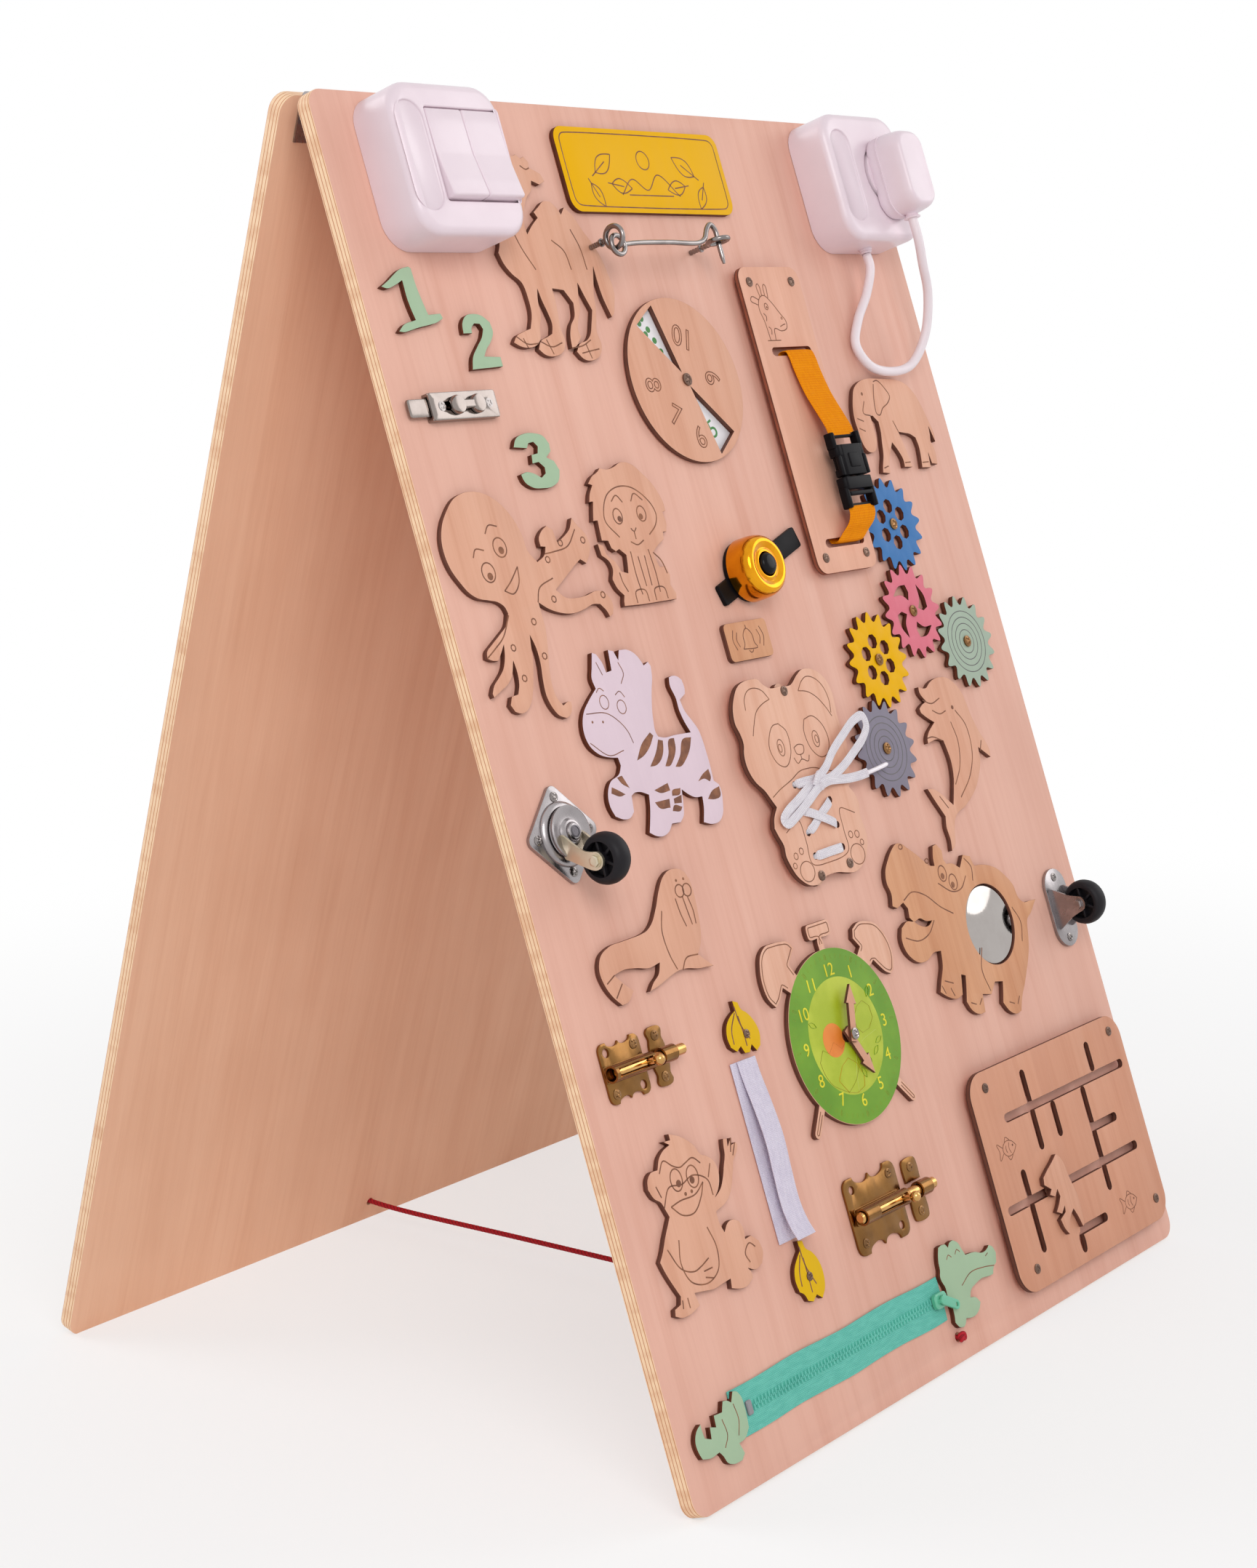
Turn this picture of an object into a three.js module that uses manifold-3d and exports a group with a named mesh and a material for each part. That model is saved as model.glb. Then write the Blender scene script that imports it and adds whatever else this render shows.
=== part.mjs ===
// Activity board for toddlers: two hinged plywood panels that stand as a tent, with latches, wheels,
// gears, plates and sliders on the front panel. Millimetres, +Z up, standing on the floor at z = 0.
import * as THREE from 'three';
import { mergeVertices } from 'three/addons/utils/BufferGeometryUtils.js';
import Module from 'manifold-3d';

const wasm = await Module();
wasm.setup();

// Driving sizes, all in millimetres unless the name says otherwise.
const PANEL = { width: 490, height: 734, thickness: 8.5, corner: 10, top_gap: 7.5, lean_degrees: 17.85 };
// Places on the board are read on squared paper that stretches with the panel: shares of one square, from
// the panel's top left corner. Flat sizes of the pieces follow the panel's narrower share of the drawing.
const DRAWN_SHARES = { columns: 490, rows: 702.7286, box: 80 };
const SQUARE = { width: 1, height: 1.0445 };
const GRID = { width: PANEL.width / DRAWN_SHARES.columns, height: PANEL.height / DRAWN_SHARES.rows };
const FITTED = Math.min(GRID.width / SQUARE.width, GRID.height / SQUARE.height);
const FIT = { glue: 0.3, running: 0.3, sink: 0.6, overrun: 2, merge: 0.0001 };
const PLY = { thickness: 3.2, spacer: 3.2, spacer_radius: 5, foot_cut: 0.8, cutter: 34 };
const CURVE = { step: 7.2, corner_degrees: 48, sides: 8, round: 20 };
const HINGE = {
  margin: 12, depth: 1, knuckle: 3, pin: 1, bore: 1.3, leaf: 1, leaf_height: 24, knuckles: 5, space: 0.5,
  tab: 4,
};
const STRING = { radius: 1.6, hole: 2.6, knot: 3.8, sag: 2, bend: 13, steps: 12 };
const BOX = {
  width: 80, height: 81.5, depth: 28, corner: 16, edge: 3, recess: 1.5, capsule_width: 20,
  capsule_height: 58,
};
const ROCKER = {
  well_width: 54.5, well_height: 50.1, well_depth: 10, corner: 1, gap: 0.45, thickness: 6, rise: 2.4,
  tilt_degrees: 5.7, floor: 3,
};
const SOCKET = {
  radius: 19.8, depth: 9, pin: 2.3, pin_length: 7.5, pin_spread: 9.5, clearance: 0.35, fit: 0.6,
};
const PLUG = {
  flange: 18.6, body_width: 31, body_height: 52, body_depth: 24.6, top_width: 23,
  top_height: 43, corner: 12, clearance: 0.5, drop: 3.5, ring: 4.2,
};
const CORD = { radius: 2.9, steps: 30, gap: 0.3, gland: 4.2, gland_length: 3 };
const SIGN = { width: 146.5, height: 49.4, corner: 8 };
const HOOK = { wire: 1.5, ring: 6, level: 21.4, loop: 5.4, offset: 1.56, steps: 18, round: 14, tube: 6 };
const SPINNER = {
  radius: 48.3, level: 0.8, peg: 2.2, peg_head: 3.6, head_height: 1.4, hole: 2.6, clearance: 0.3,
};
const STRAP_BOARD = { width: 60, height: 187.5, corner: 8, slot_width: 39, slot_height: 5.2, inset: 9.2 };
const WEBBING = { width: 26, thickness: 1.3 };
const BUCKLE = {
  width: 30, socket_length: 27, tongue_length: 19, depth: 9, level: 16, corner: 5, wall: 2, prong_width: 7,
  prong_depth: 3.4, prong_length: 17, window_width: 15, window_height: 9, clearance: 0.5,
  slit_clearance: 2, slit_depth: 5.667,
};
const LATCH = {
  width: 49, height: 14.6, depth: 4.6, blade_width: 9.6, blade_depth: 1.5, wall: 1.1, lobe: 5,
  lobe_height: 3, slot_width: 4, slot_length: 30, stem: 3, screw: 3, clearance: 0.35, tongue: 14,
  blade_length: 52,
};
const GEAR = {
  teeth: 16, pitch: 27.4, outer: 29.2, root: 25, thickness: 3.2, level: 0.8, tip_share: 0.34,
  root_share: 0.5, hole: 4.5, hole_circle: 11.5, holes: 6, blades: 4, blade_inner: 7, blade_outer: 19,
  backlash: 0.15,
};
const BELL = {
  base: 17.5, base_height: 4.2, strap_length: 91, strap_width: 11.5, strap_height: 1.4,
  turn_degrees: 18.6, radius: 16.5, bottom: 4.6, shoulder: 15, top: 19.5, wall: 1.1, dish: 9,
  button: 6.5, button_rise: 4, stem: 2.4, bore: 6.9, travel: 2.6,
};
const PLAQUE = { width: 39, height: 22, corner: 3 };
const LACE = {
  width: 5.5, thickness: 1.2, lift: 1.13, stack: 0.11, back_width: 3.4, back_level: 1.6, in_hole: 1.7,
  hole: 2.1, knot_width: 9.35, knot_height: 7.15, knot_depth: 4.8,
};
const CASTER = {
  plate: 38.5, plate_depth: 2.2, race: 17, race_height: 3.6, fork: 14, fork_depth: 2, arm: 1.8,
  arm_width: 14, wheel: 13.5, wheel_width: 11.4, hub: 5, axle_level: 25.7, trail: 17.2, axle: 1.6,
  bore: 1.9, gap: 0.4, pin: 4.5, fixed_length: 50, fixed_width: 24, fixed_arm_width: 26,
  fixed_axle_level: 20, fixed_wheel: 14, tread: 1.2,
};
const BOLT = {
  small_plate_width: 31.5, small_plate_height: 31.3, plate_depth: 1.4, small_rod: 3, small_length: 53,
  small_keeper_width: 12, small_keeper_height: 30.3, wall: 1.1, clearance: 0.35, lever: 2, ball: 3.4,
  big_plate_width: 49.5, big_plate_height: 42.8, big_rod: 3.3, big_length: 73, big_keeper_width: 14,
  big_keeper_height: 35.5, slot: 5.2, big_sleeve: 42, foot_share: 0.9, small_reach: 10.2, big_reach: 11.56,
};
const VELCRO = { width: 15.5, base: 1, upper: 1.4, bow: 4.5, lower_width: 16 };
const CLOCK = {
  radius: 49.5, hole: 1.8, post: 1.4, washer: 4, washer_height: 0.8, hand_depth: 1.8, hour_level: 4.9,
  minute_level: 7.3, cap: 3.2, cap_height: 1.4, hand: 28, hand_width: 5, point_width: 9, point_length: 11,
  ring: 4.4, leg_width: 5.2, hour_degrees: 153, minute_degrees: 17, post_top: 9.6, stem: 5,
};
const KNOB = { width: 21.5, height: 8.8, corner: 2, stem: 5 };
const MAZE = { slot: 5.3, corner: 15, stem: 2.2, foot: 4, foot_depth: 1.5, foot_level: 1.2, figure: 3 };
const MIRROR = { radius: 24.3, hole: 24.8, thickness: 2.4 };
const ZIP = {
  tape: 1, coil: 2, coil_width: 5.5, slider_width: 8.5, slider_length: 12, slider_height: 4.4,
  pull_width: 5.5, pull_length: 17, pull_depth: 1.3, stop_width: 7, stop_length: 3.5, clearance: 0.4,
  pull_turn_degrees: -30,
};
[
  [BOX, 'width', 'height', 'corner', 'capsule_width', 'capsule_height'],
  [ROCKER, 'well_width', 'well_height'],
  [SOCKET, 'radius', 'pin_spread'],
  [PLUG, 'flange', 'body_width', 'body_height', 'top_width', 'top_height', 'corner', 'drop', 'ring'],
  [SIGN, 'width', 'height', 'corner'],
  [SPINNER, 'radius'],
  [STRAP_BOARD, 'width', 'height', 'corner', 'slot_width', 'inset'],
  [WEBBING, 'width'],
  [BUCKLE, 'width', 'socket_length', 'tongue_length', 'prong_width', 'prong_length', 'window_width',
    'window_height', 'slit_depth'],
  [LATCH, 'width', 'slot_length', 'tongue', 'blade_length'],
  [GEAR, 'pitch', 'outer', 'root', 'hole', 'hole_circle', 'blade_inner', 'blade_outer'],
  [BELL, 'base', 'strap_length', 'strap_width', 'radius', 'dish', 'button', 'bore'],
  [PLAQUE, 'width', 'height'],
  [CASTER, 'plate', 'race', 'fork', 'arm_width', 'wheel', 'hub', 'trail', 'fixed_length', 'fixed_width',
    'fixed_arm_width', 'fixed_wheel'],
  [BOLT, 'small_plate_width', 'small_plate_height', 'small_length', 'small_keeper_width',
    'small_keeper_height', 'big_plate_width', 'big_plate_height', 'big_length', 'big_keeper_width',
    'big_keeper_height', 'big_sleeve'],
  [VELCRO, 'width', 'lower_width'],
  [CLOCK, 'radius', 'hand', 'hand_width', 'point_width', 'point_length', 'ring', 'leg_width', 'stem'],
  [KNOB, 'width', 'height', 'stem'],
  [ZIP, 'slider_length', 'pull_length'],
  [MIRROR, 'radius', 'hole'],
].forEach(([sizes, ...flat]) => flat.forEach((size) => {
  sizes[size] *= FITTED;
}));
const BALL_SIDES = 10;
const END_ROUND_SHARE = 0.98;
const DEGREE = Math.PI / 180;

// Places, in shares of the grid square: across from the left edge, down from the top edge.
const PLACE_SHARES = {
  switch_box: [67, 43], socket_box: [440, 42.5], sign: [248.8, 36.4], left_eye: [181, 80],
  right_eye: [273, 81.5], spinner: [232.4, 154.2], strap_board: [333.2, 181.3], latch: [46.5, 160.8],
  bell: [239.5, 262], bell_strap: [254.5, 260], plaque: [224.5, 299], swivel: [35.5, 375],
  fixed: [463, 492.5], clock: [213.4, 515.7], small_plate: [34.2, 491.2], small_keeper: [62, 492],
  big_plate: [201.2, 606.5], big_keeper: [239.5, 605.5], pink_gear: [389, 300], mirror: [380, 487],
  string: [243, 689.5], switch_capsule: [38, 42], socket_capsule: [415, 42], switch_well: [77.2, 41],
  socket_well: [453.5, 41.5],
};
const PIVOT_SHARES = { maze_slider: [365, 642], zip_slider: [231, 665.5] };

// Outlines of the flat plates, point by point in shares of the grid square.
const ONE_SHARES = [
  [35, 90], [36.5, 91], [37, 100], [38.5, 108], [40, 114.5], [49, 114], [50, 116.5], [45, 118.5],
  [30, 121], [19, 123], [16, 122.5], [20, 119.5], [30, 117], [29, 113], [28, 107], [28, 97], [22, 99.5],
  [15, 101], [12, 100], [18, 97], [28, 91.5],
];
const TWO_SHARES = [
  [62, 124.5], [63, 119.5], [67, 115.5], [73, 114.5], [79, 115.5], [84, 119], [84.5, 124], [81, 129],
  [76, 133], [73, 136.5], [85, 137], [85, 142], [61.5, 143], [64, 137], [70, 131], [75, 126.5],
  [77.5, 122.5], [76, 119.8], [72, 119.5], [69, 122], [68.5, 124.5],
];
const THREE_SHARES = [
  [76, 183.5], [79, 179.5], [86, 177], [94, 177], [101, 179], [104, 183], [103.5, 187], [99, 190],
  [104, 192], [106.5, 197], [104, 202], [98, 205], [90, 205.5], [82, 204.5], [77, 201], [76, 197.5],
  [81, 196.5], [86, 197.5], [91, 200], [95, 198], [95.5, 195], [92, 192], [87, 192.5], [88, 188],
  [93, 187.5], [94.5, 184], [92, 181.5], [88, 182], [86, 184.5],
];
const UPPER_BANANA_SHARES = [
  [127, 478], [131, 479.5], [132, 483], [136, 486], [140, 491], [142, 498], [140, 504], [136, 506],
  [133, 502], [130, 505.5], [126, 505], [124, 501], [120, 503], [116, 500], [115, 495], [117, 489],
  [122, 485], [127, 483],
];
const LOWER_BANANA_SHARES = [
  [126, 603], [130, 604], [131, 608], [135, 611], [139, 617], [140, 624], [138, 631], [134, 635],
  [130, 632], [126, 634.5], [122, 633], [120, 629], [117, 627], [116, 621], [118, 615], [122, 611],
  [126, 608],
];
const CROC_HEAD_SHARES = [
  [246, 640], [243, 640.5], [241, 644], [239.5, 648], [239, 652], [237.5, 655], [238, 658], [239.5, 661],
  [239.5, 668], [241, 672], [241, 677], [240, 681], [243, 684.5], [247, 685.5], [249, 684.5], [251, 682],
  [255, 683], [261, 683], [266, 680.5], [268, 678], [265, 674.5], [260, 673], [262, 670], [268, 668],
  [275, 667], [284, 668], [287, 668], [289, 665], [293, 663], [295, 658], [293, 654], [290, 652.5],
  [287, 654], [283, 654.5], [275, 652], [266, 651], [264, 647], [262, 643], [258, 640.5], [254, 641],
  [252, 643], [250, 640.5],
];
const CROC_TAIL_SHARES = [
  [17, 661], [13, 663], [10, 668], [10.5, 673], [12, 676.5], [18, 678], [25, 677.5], [27, 680], [29, 684],
  [33, 686], [40, 686.5], [43, 684], [42, 681], [41, 678.5], [46, 678], [51, 674], [52, 665], [51, 658],
  [49, 655.5], [46, 654.5], [43, 659], [40, 657], [37, 656.5], [34.5, 661], [28, 660.5], [27.5, 666],
  [23, 664.5], [22, 670], [17.5, 668], [17, 664],
];
const CAMEL_SHARES = [
  [112, 46], [112, 40], [114, 36], [120, 34], [126, 31], [131, 29], [136, 31], [140, 30], [143, 32],
  [146, 31], [149, 34], [148, 37], [151, 38], [156, 40], [158, 44], [153, 46], [147, 44], [145, 49],
  [140, 53], [136, 58], [132, 66], [132, 73], [138, 68], [144, 64], [142, 61], [147, 58], [152, 55],
  [158, 55], [163, 60], [164, 62], [168, 58], [173, 62], [178, 70], [184, 78], [188, 86], [190, 95],
  [191, 104], [188, 112], [186, 116], [183, 118], [180, 108], [179, 98], [179, 90], [176, 98],
  [173, 106], [172, 112], [170, 118], [167, 126], [168, 133], [165, 138], [158, 141], [150, 140],
  [146, 136], [150, 132], [157, 130], [160, 128], [165, 120], [168, 114], [165, 107], [162, 99],
  [160, 106], [158, 114], [154, 120], [152, 125], [153, 128], [150, 132], [146, 133.5], [143, 134],
  [144, 128], [147, 122], [152, 117], [154, 110], [149, 103], [140, 102], [140, 108], [139, 116],
  [138, 124], [139, 130], [136, 135], [128, 138], [120, 137], [116, 134], [119, 130], [126, 127.5],
  [130, 126], [132, 121], [131, 115], [129, 108], [128, 102], [126, 108], [125, 116], [121, 124],
  [120, 128], [117, 131], [110, 133], [102, 132], [98, 130], [101, 127], [108, 124.5], [114, 123],
  [118, 115], [118.5, 107], [117, 99], [111, 94], [107, 89], [105, 83], [107.5, 79], [109, 74],
  [111.5, 66], [112, 58],
];
const ELEPHANT_SHARES = [
  [399, 161.5], [393, 165], [389, 171], [386, 178], [385, 185], [385.5, 190], [386, 196], [388, 201],
  [391, 203.5], [395, 204], [398, 203], [402, 198], [403, 190], [402.5, 182], [405, 182], [409.5, 186],
  [409, 192], [407, 199], [405, 206], [401, 213], [399.5, 216.5], [407, 217.5], [411, 208], [418, 199],
  [422, 204], [425, 211], [424.5, 214.5], [433, 215], [432, 208], [430, 200], [428, 193], [434, 194],
  [440, 195], [445, 197.5], [446, 203], [445, 210], [443.5, 216], [453, 216.5], [454.5, 207], [455.5, 214],
  [461.5, 215], [463, 208], [462, 203], [460.5, 201], [462, 197], [463, 191], [464.5, 196], [466, 201],
  [467, 196], [465.5, 190], [463.5, 184], [461, 177], [457, 170], [450, 164], [440, 161], [425, 160],
  [408, 159.5],
];
const OCTOPUS_SHARES = [
  [33, 203.5], [22, 206], [14, 212], [8, 219], [5, 226], [4.5, 233], [6, 240], [10, 247], [15, 253],
  [19, 255.5], [27, 257.5], [33, 259], [37, 262], [38, 265], [35, 270], [28, 274.5], [20, 279],
  [15.5, 282], [14.5, 285], [18, 286.5], [22, 287], [25, 284], [29, 279.5], [27, 286], [24, 291],
  [19, 295], [14, 298.5], [11.5, 302], [12, 304], [18, 301.5], [24, 299], [28, 296], [32.5, 288],
  [33, 294], [32, 300], [29.5, 304.5], [24.5, 305], [22, 309], [24, 312.5], [28, 314], [33, 313],
  [37, 310], [41, 304], [44, 297], [46.5, 291], [49.5, 277], [51.5, 284], [51.5, 292], [50, 300],
  [49.5, 308], [51.5, 314], [55, 318.5], [60, 320.5], [63, 319.5], [66, 316], [66.5, 313], [64.5, 312.5],
  [60, 314], [57, 310], [56, 304], [57, 296], [59, 289], [61, 282], [62.5, 274], [62.5, 262],
  [68, 265.5], [76, 268.5], [86, 270], [95, 269], [104, 267], [109, 267.5], [113, 272], [114, 274.5],
  [117, 273.5], [119, 269], [118, 265], [115, 262], [110, 260.5], [100, 262], [92, 262.5], [84, 261.5],
  [78, 257], [88, 251.5], [98, 246], [103, 243.5], [107, 246], [111, 242], [114, 237], [113, 232],
  [108, 226], [105, 222], [101, 227.5], [96, 230.5], [89, 233.5], [88, 227], [84, 224.5], [79, 227],
  [75.5, 231], [75.5, 234.5], [79, 235], [77, 238.5], [70, 242], [65, 236], [64, 228], [61, 220],
  [55, 212], [45, 205.5],
];
const LION_SHARES = [
  [136, 199.5], [130, 202], [125.5, 205.5], [128.5, 206.5], [124.5, 211], [122.5, 215], [125.5, 215],
  [123, 221], [121.5, 225], [125, 225], [124.5, 230], [124, 235.5], [129, 236], [130, 240], [133, 242],
  [136, 241], [140.5, 244.5], [139.5, 249], [138, 254], [133, 252.5], [130, 247], [125, 243], [124, 238],
  [120, 237], [120.5, 243], [125.5, 247], [126.5, 250], [124, 256], [126, 261], [130, 265], [128.5, 268],
  [128, 270.5], [143, 271], [158, 271], [172, 271], [173, 268], [170, 263], [172, 258], [170, 253],
  [165, 253], [163, 245], [170, 241], [175, 239], [176, 235], [179, 235], [181, 230], [180, 224.5],
  [183, 224], [183, 220], [181, 214], [178, 209], [172, 203], [165, 197.5], [156, 196], [150, 198],
  [143, 199], [138, 198],
];
const ZEBRA_SHARES = [
  [92, 291], [89, 298], [86.5, 304], [87.5, 309], [80, 314], [73, 320], [70, 326], [69.5, 330], [71, 336],
  [76, 341], [84, 344], [90, 345], [90.5, 349], [88, 352.5], [79, 356], [75, 361], [74, 368], [76, 373],
  [82, 375.5], [87, 375.5], [91, 373], [92.5, 365], [95, 364], [99, 364], [106, 366.5], [104.5, 372],
  [101.5, 379], [98.5, 385], [103, 387.5], [108, 388.5], [114, 387], [118, 383.5], [125, 384], [129, 381],
  [131, 376], [133, 368], [137, 371], [142, 373.5], [148, 374], [147, 379], [143.5, 387], [150, 389],
  [157, 388.5], [161, 385.5], [163.5, 380], [165, 373], [164.5, 370], [161, 367.5], [161.5, 360],
  [161, 345], [160, 340], [157, 335], [153, 329], [151.5, 323], [157, 320.5], [158, 317.5], [157.5, 313],
  [155, 311], [150, 310], [147.5, 310.5], [146.5, 314], [148.5, 322], [148.5, 328], [150, 334],
  [153, 340.5], [140, 340], [130, 340], [126, 339], [125, 337], [125.5, 331], [127, 325], [131, 315],
  [134, 309], [135.5, 303], [134, 300.5], [130, 302], [129, 300], [125, 295], [120, 292.5], [113.5, 292],
  [111, 297], [109, 292], [105, 291], [103.5, 301.5], [99, 302], [98, 297], [95, 292],
];
const WALRUS_SHARES = [
  [105, 405.5], [99, 408], [93, 414], [87, 422], [80, 429], [76, 431], [70, 432], [55, 432.5], [45, 433],
  [36, 437], [33, 443], [34, 450], [38, 457], [43, 462], [48, 461.5], [54, 457], [48, 452], [43, 447],
  [50, 446], [60, 447], [70, 449], [79, 448], [76, 453], [70, 456.5], [66, 460], [75, 458.5], [90, 455],
  [98, 455], [108, 457], [120, 458], [115, 454], [110, 450], [114, 446], [117, 440], [119, 430],
  [120, 418], [119, 412], [115, 407], [110, 405.5],
];
const MONKEY_SHARES = [
  [35.5, 542], [39, 537], [43, 534.5], [49, 533], [45, 530.5], [50.5, 531], [50.5, 528], [56, 530],
  [62, 533.5], [67, 538], [70, 543], [74, 545], [78, 548], [80, 553], [79, 558], [76, 562.5], [72, 565.5],
  [78, 562.5], [82, 558], [85, 553], [88, 548], [89, 543.5], [90, 540.5], [93, 541], [92, 545],
  [96, 541.5], [94, 545], [99, 544.5], [100, 546], [98, 549], [94, 552], [91, 557], [88, 562], [84, 567],
  [79, 570], [70, 572], [70, 577], [72, 583], [76, 579.5], [81, 579], [85, 581], [87, 586], [86, 590.5],
  [91, 590], [96, 594], [97, 600], [94, 605], [88, 606.5], [82, 604], [84, 606.5], [84, 609.5],
  [78, 612], [70, 611], [66, 609.5], [67, 605], [53, 606], [38, 603.5], [39.5, 610], [30, 612],
  [24, 611.5], [20, 609.5], [21, 606.5], [26, 605.5], [27.5, 602], [24, 595], [21, 588], [19.5, 583],
  [23, 579.5], [28, 573], [35, 565], [33, 560], [32, 557.5], [27.5, 554], [25, 549], [26.5, 544.5],
  [30, 542],
];
const DOLPHIN_SHARES = [
  [373.5, 344], [373, 347], [375, 350.5], [377.5, 353], [371, 355], [368.5, 356.5], [369, 359], [373, 362],
  [380, 366], [376, 368], [371, 371], [368, 374.5], [367.5, 377], [378, 376], [384, 377.5], [385, 382],
  [386, 390], [384, 400], [381, 406], [376, 415], [368, 408], [360, 403], [354, 402], [359, 411],
  [364.5, 420], [362.5, 426], [363, 434], [361.5, 440], [366, 438], [370, 430], [373, 424], [379, 420],
  [387, 418], [394, 415], [400, 412], [406, 408], [412, 402], [417, 395], [419, 386.5], [424, 390],
  [429.5, 394], [430.5, 389], [429, 385], [425, 378], [421, 368], [418, 354], [412, 346], [405, 342],
  [398, 341], [391, 341.5], [386, 343], [381, 345.5],
];
const HIPPO_SHARES = [
  [308, 426.5], [302, 429], [296, 433.5], [290, 440], [288.5, 446], [290, 452], [288, 459], [292, 461],
  [299, 459], [302, 463], [301, 468], [303, 470], [308, 474], [318, 476], [323, 473.5], [316, 472.5],
  [311, 470], [304, 470.8], [298, 469.5], [291, 472], [288, 478], [289, 485], [293, 490], [299, 493.5],
  [306, 494], [316, 491], [322.5, 491.5], [320, 500], [315, 507], [311, 513], [317, 517], [326, 520],
  [332, 519], [336, 508], [340, 509.5], [337, 517], [334, 523.5], [337, 529], [344, 533], [350, 533],
  [352, 523], [361, 525], [368, 519], [376, 520.5], [373, 527], [370.5, 532], [375, 538], [381, 541],
  [387, 540.5], [392, 533], [398, 527], [405, 519], [412, 510], [416, 502], [420, 492], [426, 489],
  [435, 482.5], [421, 481.5], [417, 478], [415, 470], [409, 463], [403, 458], [395, 454.5], [386, 452.5],
  [380, 452], [379, 450], [378, 446], [371, 444], [364.5, 450.5], [357, 446.5], [352, 446], [350, 443],
  [351, 438], [347, 433.5], [343, 434], [340, 441], [339.5, 445], [335, 444], [325, 436], [318, 431],
  [313, 427.5],
];
const PANDA_SHARES = [
  [218, 321], [206, 320.5], [199, 322.5], [193, 328], [189, 335], [188, 342], [190, 348], [190.5, 353],
  [188.5, 358], [188, 365], [191.5, 373.5], [198, 380], [204, 389.5], [199, 395], [197, 400], [201, 410],
  [200.5, 416], [205, 427], [209, 431], [214, 434], [221, 435], [231, 432], [243, 432], [258, 434.5],
  [270, 430], [277, 421], [278, 413], [277, 405], [279, 400], [277, 393], [274, 389], [281, 375],
  [283, 365], [281.5, 350], [282.5, 337], [280, 329], [275, 324], [268, 321], [260, 320.5], [254, 323],
  [246, 327.5], [236, 327], [227, 327], [220, 323],
];
const PANDA_HOLE_SHARES = [
  [225, 380.5], [251, 380], [225, 395], [253, 393], [225.5, 407], [253.5, 407], [226, 420], [253, 419.5],
];
const PANDA_SPACER_SHARES = [[238.5, 330], [226.5, 431], [255, 429]];
const LACE_RUN_SHARES = [
  [[225.2, 420.3], [253.9, 419.2]], [[225.9, 406.4], [253.4, 392.4]], [[254.2, 407.7], [224.6, 394.6]],
  [[225, 380.5], [238, 380.8]], [[251, 380], [243, 381]],
];
const LACE_BACK_SHARES = [
  [[225, 380.5], [225, 395]], [[251, 380], [253, 393]], [[225.5, 407], [226, 420]],
  [[253.5, 407], [253, 419.5]],
];
const LACE_LOOP_SHARES = [
  [[240, 380.5], [262, 370], [276, 361], [289, 354.5], [297, 352.5]],
  [[290, 353.4], [299.5, 354.4], [293.7, 363.5], [281, 371], [268, 377], [240.4, 382.3]],
  [[241, 381.5], [270, 384], [292, 384.2], [314, 382.4]],
  [[241.6, 381], [232, 385.5], [219, 391], [205, 397]],
];
const LACE_KNOT_SHARES = [241, 381];
const MAZE_SLOT_SHARES = [
  [[334.5, 592.6], [475.5, 592.6]], [[364.4, 571], [364.4, 618]], [[387.4, 595], [387.4, 616]],
  [[440.4, 572], [440.4, 590]], [[423.4, 595], [423.4, 658]], [[423.4, 620], [452.4, 620]],
  [[313, 641], [466.4, 641]], [[338, 623], [338, 671]], [[379.4, 670.6], [412.4, 670.6]],
  [[379.4, 671], [379.4, 683]],
];
const MAZE_PLATE_SHARES = [[306.5, 562.5], [482.5, 688.5]];
const MAZE_SPACER_SHARES = [[323.5, 572], [469.5, 572], [325.5, 677], [470.5, 676]];
const SLIDER_FIGURE_SHARES = [
  [371, 623], [365, 626], [358, 629], [352, 632], [351, 636], [357, 640], [354, 642.5], [359, 645],
  [363, 641.5], [364, 646], [360, 650], [356, 653], [361, 655.5], [366, 652], [365, 655.5], [358, 658],
  [360, 664], [363, 668], [368, 660], [374, 656], [377, 662], [379, 668], [381, 667], [382, 660],
  [382, 650], [380, 643], [378, 636], [377, 630], [374, 625],
];
const LEFT_ALARM_SHARES = [
  [171.5, 457], [185, 458.6], [189, 462.6], [181, 470.4], [186, 478], [182, 481.5], [176, 478.2],
  [172.5, 478.2], [169, 482.7], [163, 488], [160.7, 489], [156.3, 484], [154.6, 476.3], [155.8, 468],
  [159.7, 460.6], [165.6, 457.2],
];
const RIGHT_ALARM_SHARES = [
  [245, 463.5], [251.4, 461], [258.7, 461.6], [267, 464.5], [272.4, 470.4], [275.4, 477.8], [275.4, 485],
  [272.4, 492], [269, 493.4], [265, 491.5], [259.7, 486.6], [256.3, 483], [252.8, 485], [246, 487],
  [240, 480], [247.5, 473.8], [243, 468.4],
];
const LEG_SHARES = [[[192.6, 525], [165, 560]], [[231.2, 529.1], [260, 562]]];
const ALARM_STEM_SHARES = [[[166, 474], [190, 492]], [[262, 474], [238, 492]]];
const KNOB_SHARES = [[214.4, 458], [213.3, 461.5]];
const SPINNER_WINDOW_SHARES = [
  [
    [-0.6377, 0.6747], [-0.2816, 0.9083], [-0.0497, 0.0908],
  ],
  [
    [0.0373, -0.0779], [0.6253, -0.6596], [0.2754, -0.9147],
  ],
];
const ZIP_SHARES = {
  left: 44, right: 236.5, top: 653.5, bottom: 678.5, coil_left: 60, coil_right: 236, stop: 56,
};
// The strap's ends stay this many squares clear of the two bananas.
const VELCRO_SHARES = { left: 122, top_gap: 2, bottom_gap: 1.5 };
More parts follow.
